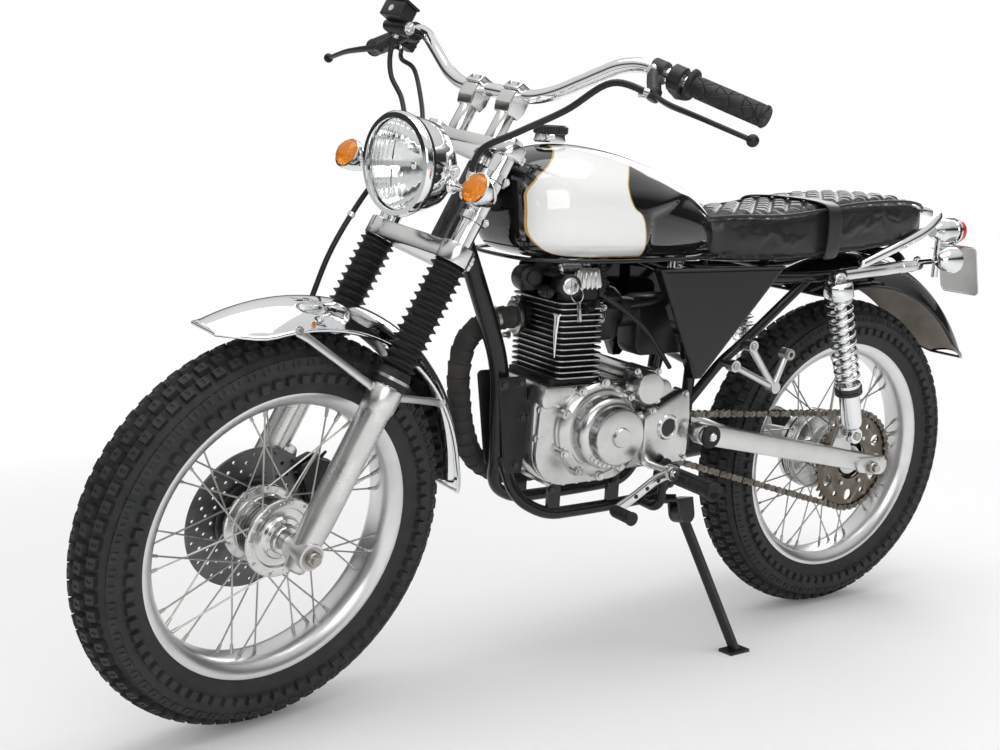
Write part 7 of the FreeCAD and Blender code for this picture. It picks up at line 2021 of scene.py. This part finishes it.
def makeHangerBolts():
    parts = []
    for s in (1, -1):
        for u, v in ((354, 268), (394, 233)):
            parts.append(bolt((u, s * 126, v), (0, s, 0), 7, 6))
        parts.append(lathe("hangerEye", [(4.4, 0), (9, 0), (10, 1.5), (10, 5), (4.4, 5)],
                           (262, s * 129, 248), (0, s, 0), 28))
    onBike("hangerBolts", parts, "steel", slot="lever_aluminium")


def makeCapTrim():
    ring = [lathe("neck", [(20, -14), (27, -14), (29, -11), (27, -6), (26, 0), (20, 0)], (745, 0, 634),
                  (0, 0, 1), 56)]
    onBike("capNeck", ring, "chrome", slot="chrome_trim")
    cap = [lathe("cap", [(0, 0), (28, 0), (28.4, 1), (28.4, 12), (26, 14.5), (20, 15), (18, 13.4),
                         (0, 13.4)], (745, 0, 634), (0, 0, 1), 64)]
    for k in range(36):
        a = 2 * math.pi * k / 36
        cap.append(rod("knurl", (745 + 28.6 * math.cos(a), 28.6 * math.sin(a), 635.5),
                       (745 + 28.6 * math.cos(a), 28.6 * math.sin(a), 646), 1.3, sides=6))
    cap.append(rod("lockSlot", (745, 0, 647), (745, 0, 648.6), 6, sides=24))
    onBike("fuelCapPiece", cap, "satinBlack", "fuel_cap", 34)


makePegs()
makeLevers()
makeHangerBolts()
makeCapTrim()
print("fittings made")

# the CAD nodes that show as they are; the others are replaced by pieces
dress("frame_tubes", paints["frameBlack"])
dress("side_stand rider_pegs", paints["satinBlack"])
dress("rear_brake_plate", paints["castAluminium"])
dress("side_covers", paints["glossBlack"])
dress("passenger_peg_hangers", paints["satinAluminium"])
dress("number_plate", paints["plateWhite"])

# floor, backdrop and lights
floorValues = {"side": 40, "roughness": 0.7, "fadeStart": 0.9, "fadeEnd": 3.2, "glowUnderBike": 0.05}
skyValues = {"soft": 0.62, "seen": 1.0, "mirrored": 0.9, "lowGrey": 0.50, "highGrey": 0.95,
             "greys": ((0.04, 0.42), (0.07, 0.03), (0.26, 0.05), (0.34, 0.30), (0.50, 0.75))}
clearSelection()
bpy.ops.mesh.primitive_plane_add(size=floorValues["side"])
studioFloor = named("studioFloor")
floorMaterial, tree, link, shader = newMaterial("studioFloor")
shader.inputs["Roughness"].default_value = floorValues["roughness"]
floorMarks = groupNode(tree, mottle, Scale=2.0, Grain=90.0, Cover=0.15)
floorTint = mixColours(tree, link, floorMarks.outputs["Mask"], (0.94, 0.94, 0.94), (0.91, 0.91, 0.91))
link(floorTint, shader.inputs["Base Color"])
floorPlace = tree.new("ShaderNodeTexCoord")
floorReach = tree.new("ShaderNodeVectorMath")
floorReach.operation = "LENGTH"
floorFade = tree.new("ShaderNodeMapRange")
floorFade.inputs["From Min"].default_value = floorValues["fadeStart"]
floorFade.inputs["From Max"].default_value = floorValues["fadeEnd"]
floorFade.inputs["To Min"].default_value = floorValues["glowUnderBike"]
link(floorPlace.outputs["Object"], floorReach.inputs[0])
link(floorReach.outputs["Value"], floorFade.inputs["Value"])
floorRays = tree.new("ShaderNodeLightPath")
floorSeen = mathNode(tree, link, "MULTIPLY", floorFade.outputs["Result"], floorRays.outputs["Is Camera Ray"])
glow = tree.new("ShaderNodeEmission")
glow.inputs["Strength"].default_value = 1.0
floorMix = tree.new("ShaderNodeMixShader")
link(floorSeen, floorMix.inputs["Fac"])
link(shader.outputs["BSDF"], floorMix.inputs[1])
link(glow.outputs["Emission"], floorMix.inputs[2])
link(floorMix.outputs["Shader"], tree["Material Output"].inputs["Surface"])
studioFloor.data.materials.append(floorMaterial)

world = bpy.data.worlds.new("studio")
bpy.context.scene.world = world
world.use_nodes = True
tree, link = world.node_tree.nodes, world.node_tree.links.new
soft = tree["Background"]
soft.inputs["Color"].default_value = (1, 1, 1, 1)
soft.inputs["Strength"].default_value = skyValues["soft"]
white = tree.new("ShaderNodeBackground")
white.inputs["Color"].default_value = (1, 1, 1, 1)
white.inputs["Strength"].default_value = skyValues["seen"]
rays = tree.new("ShaderNodeLightPath")
around3d = tree.new("ShaderNodeTexCoord")
parts3d = tree.new("ShaderNodeSeparateXYZ")
link(around3d.outputs["Generated"], parts3d.inputs[0])
heights = tree.new("ShaderNodeValToRGB")
ramp = heights.color_ramp
ramp.elements[0].position, ramp.elements[0].color = 0.0, (*[skyValues["lowGrey"]] * 3, 1)
ramp.elements[1].position, ramp.elements[1].color = 1.0, (*[skyValues["highGrey"]] * 3, 1)
for position, grey in skyValues["greys"]:
    ramp.elements.new(position).color = (grey, grey, grey, 1)
link(parts3d.outputs["Z"], heights.inputs["Fac"])
mirrorSky = tree.new("ShaderNodeBackground")
link(heights.outputs["Color"], mirrorSky.inputs["Color"])
mirrorSky.inputs["Strength"].default_value = skyValues["mirrored"]
lit = tree.new("ShaderNodeMixShader")
link(rays.outputs["Is Glossy Ray"], lit.inputs["Fac"])
link(soft.outputs["Background"], lit.inputs[1])
link(mirrorSky.outputs["Background"], lit.inputs[2])
choose = tree.new("ShaderNodeMixShader")
link(rays.outputs["Is Camera Ray"], choose.inputs["Fac"])
link(lit.outputs["Shader"], choose.inputs[1])
link(white.outputs["Background"], choose.inputs[2])
link(choose.outputs["Shader"], tree["World Output"].inputs["Surface"])


def softBox(name, place, aim, size, power):
    data = bpy.data.lights.new(name, "AREA")
    data.shape = "RECTANGLE"
    data.size, data.size_y = size
    data.energy = power
    lamp = linked(name, data)
    lamp.location = place
    lamp.rotation_euler = turnTo(Vector(place) - Vector(aim))


softBox("topBox", (0.2, 0.6, 3.4), (0, 0, 0.5), (3.2, 2.2), 46)
softBox("sideBox", (1.4, 3.4, 1.7), (0, 0, 0.6), (2.4, 1.8), 34)
softBox("rearBox", (-2.6, -1.6, 2.2), (0, 0, 0.6), (1.8, 1.6), 22)
print("stage set")
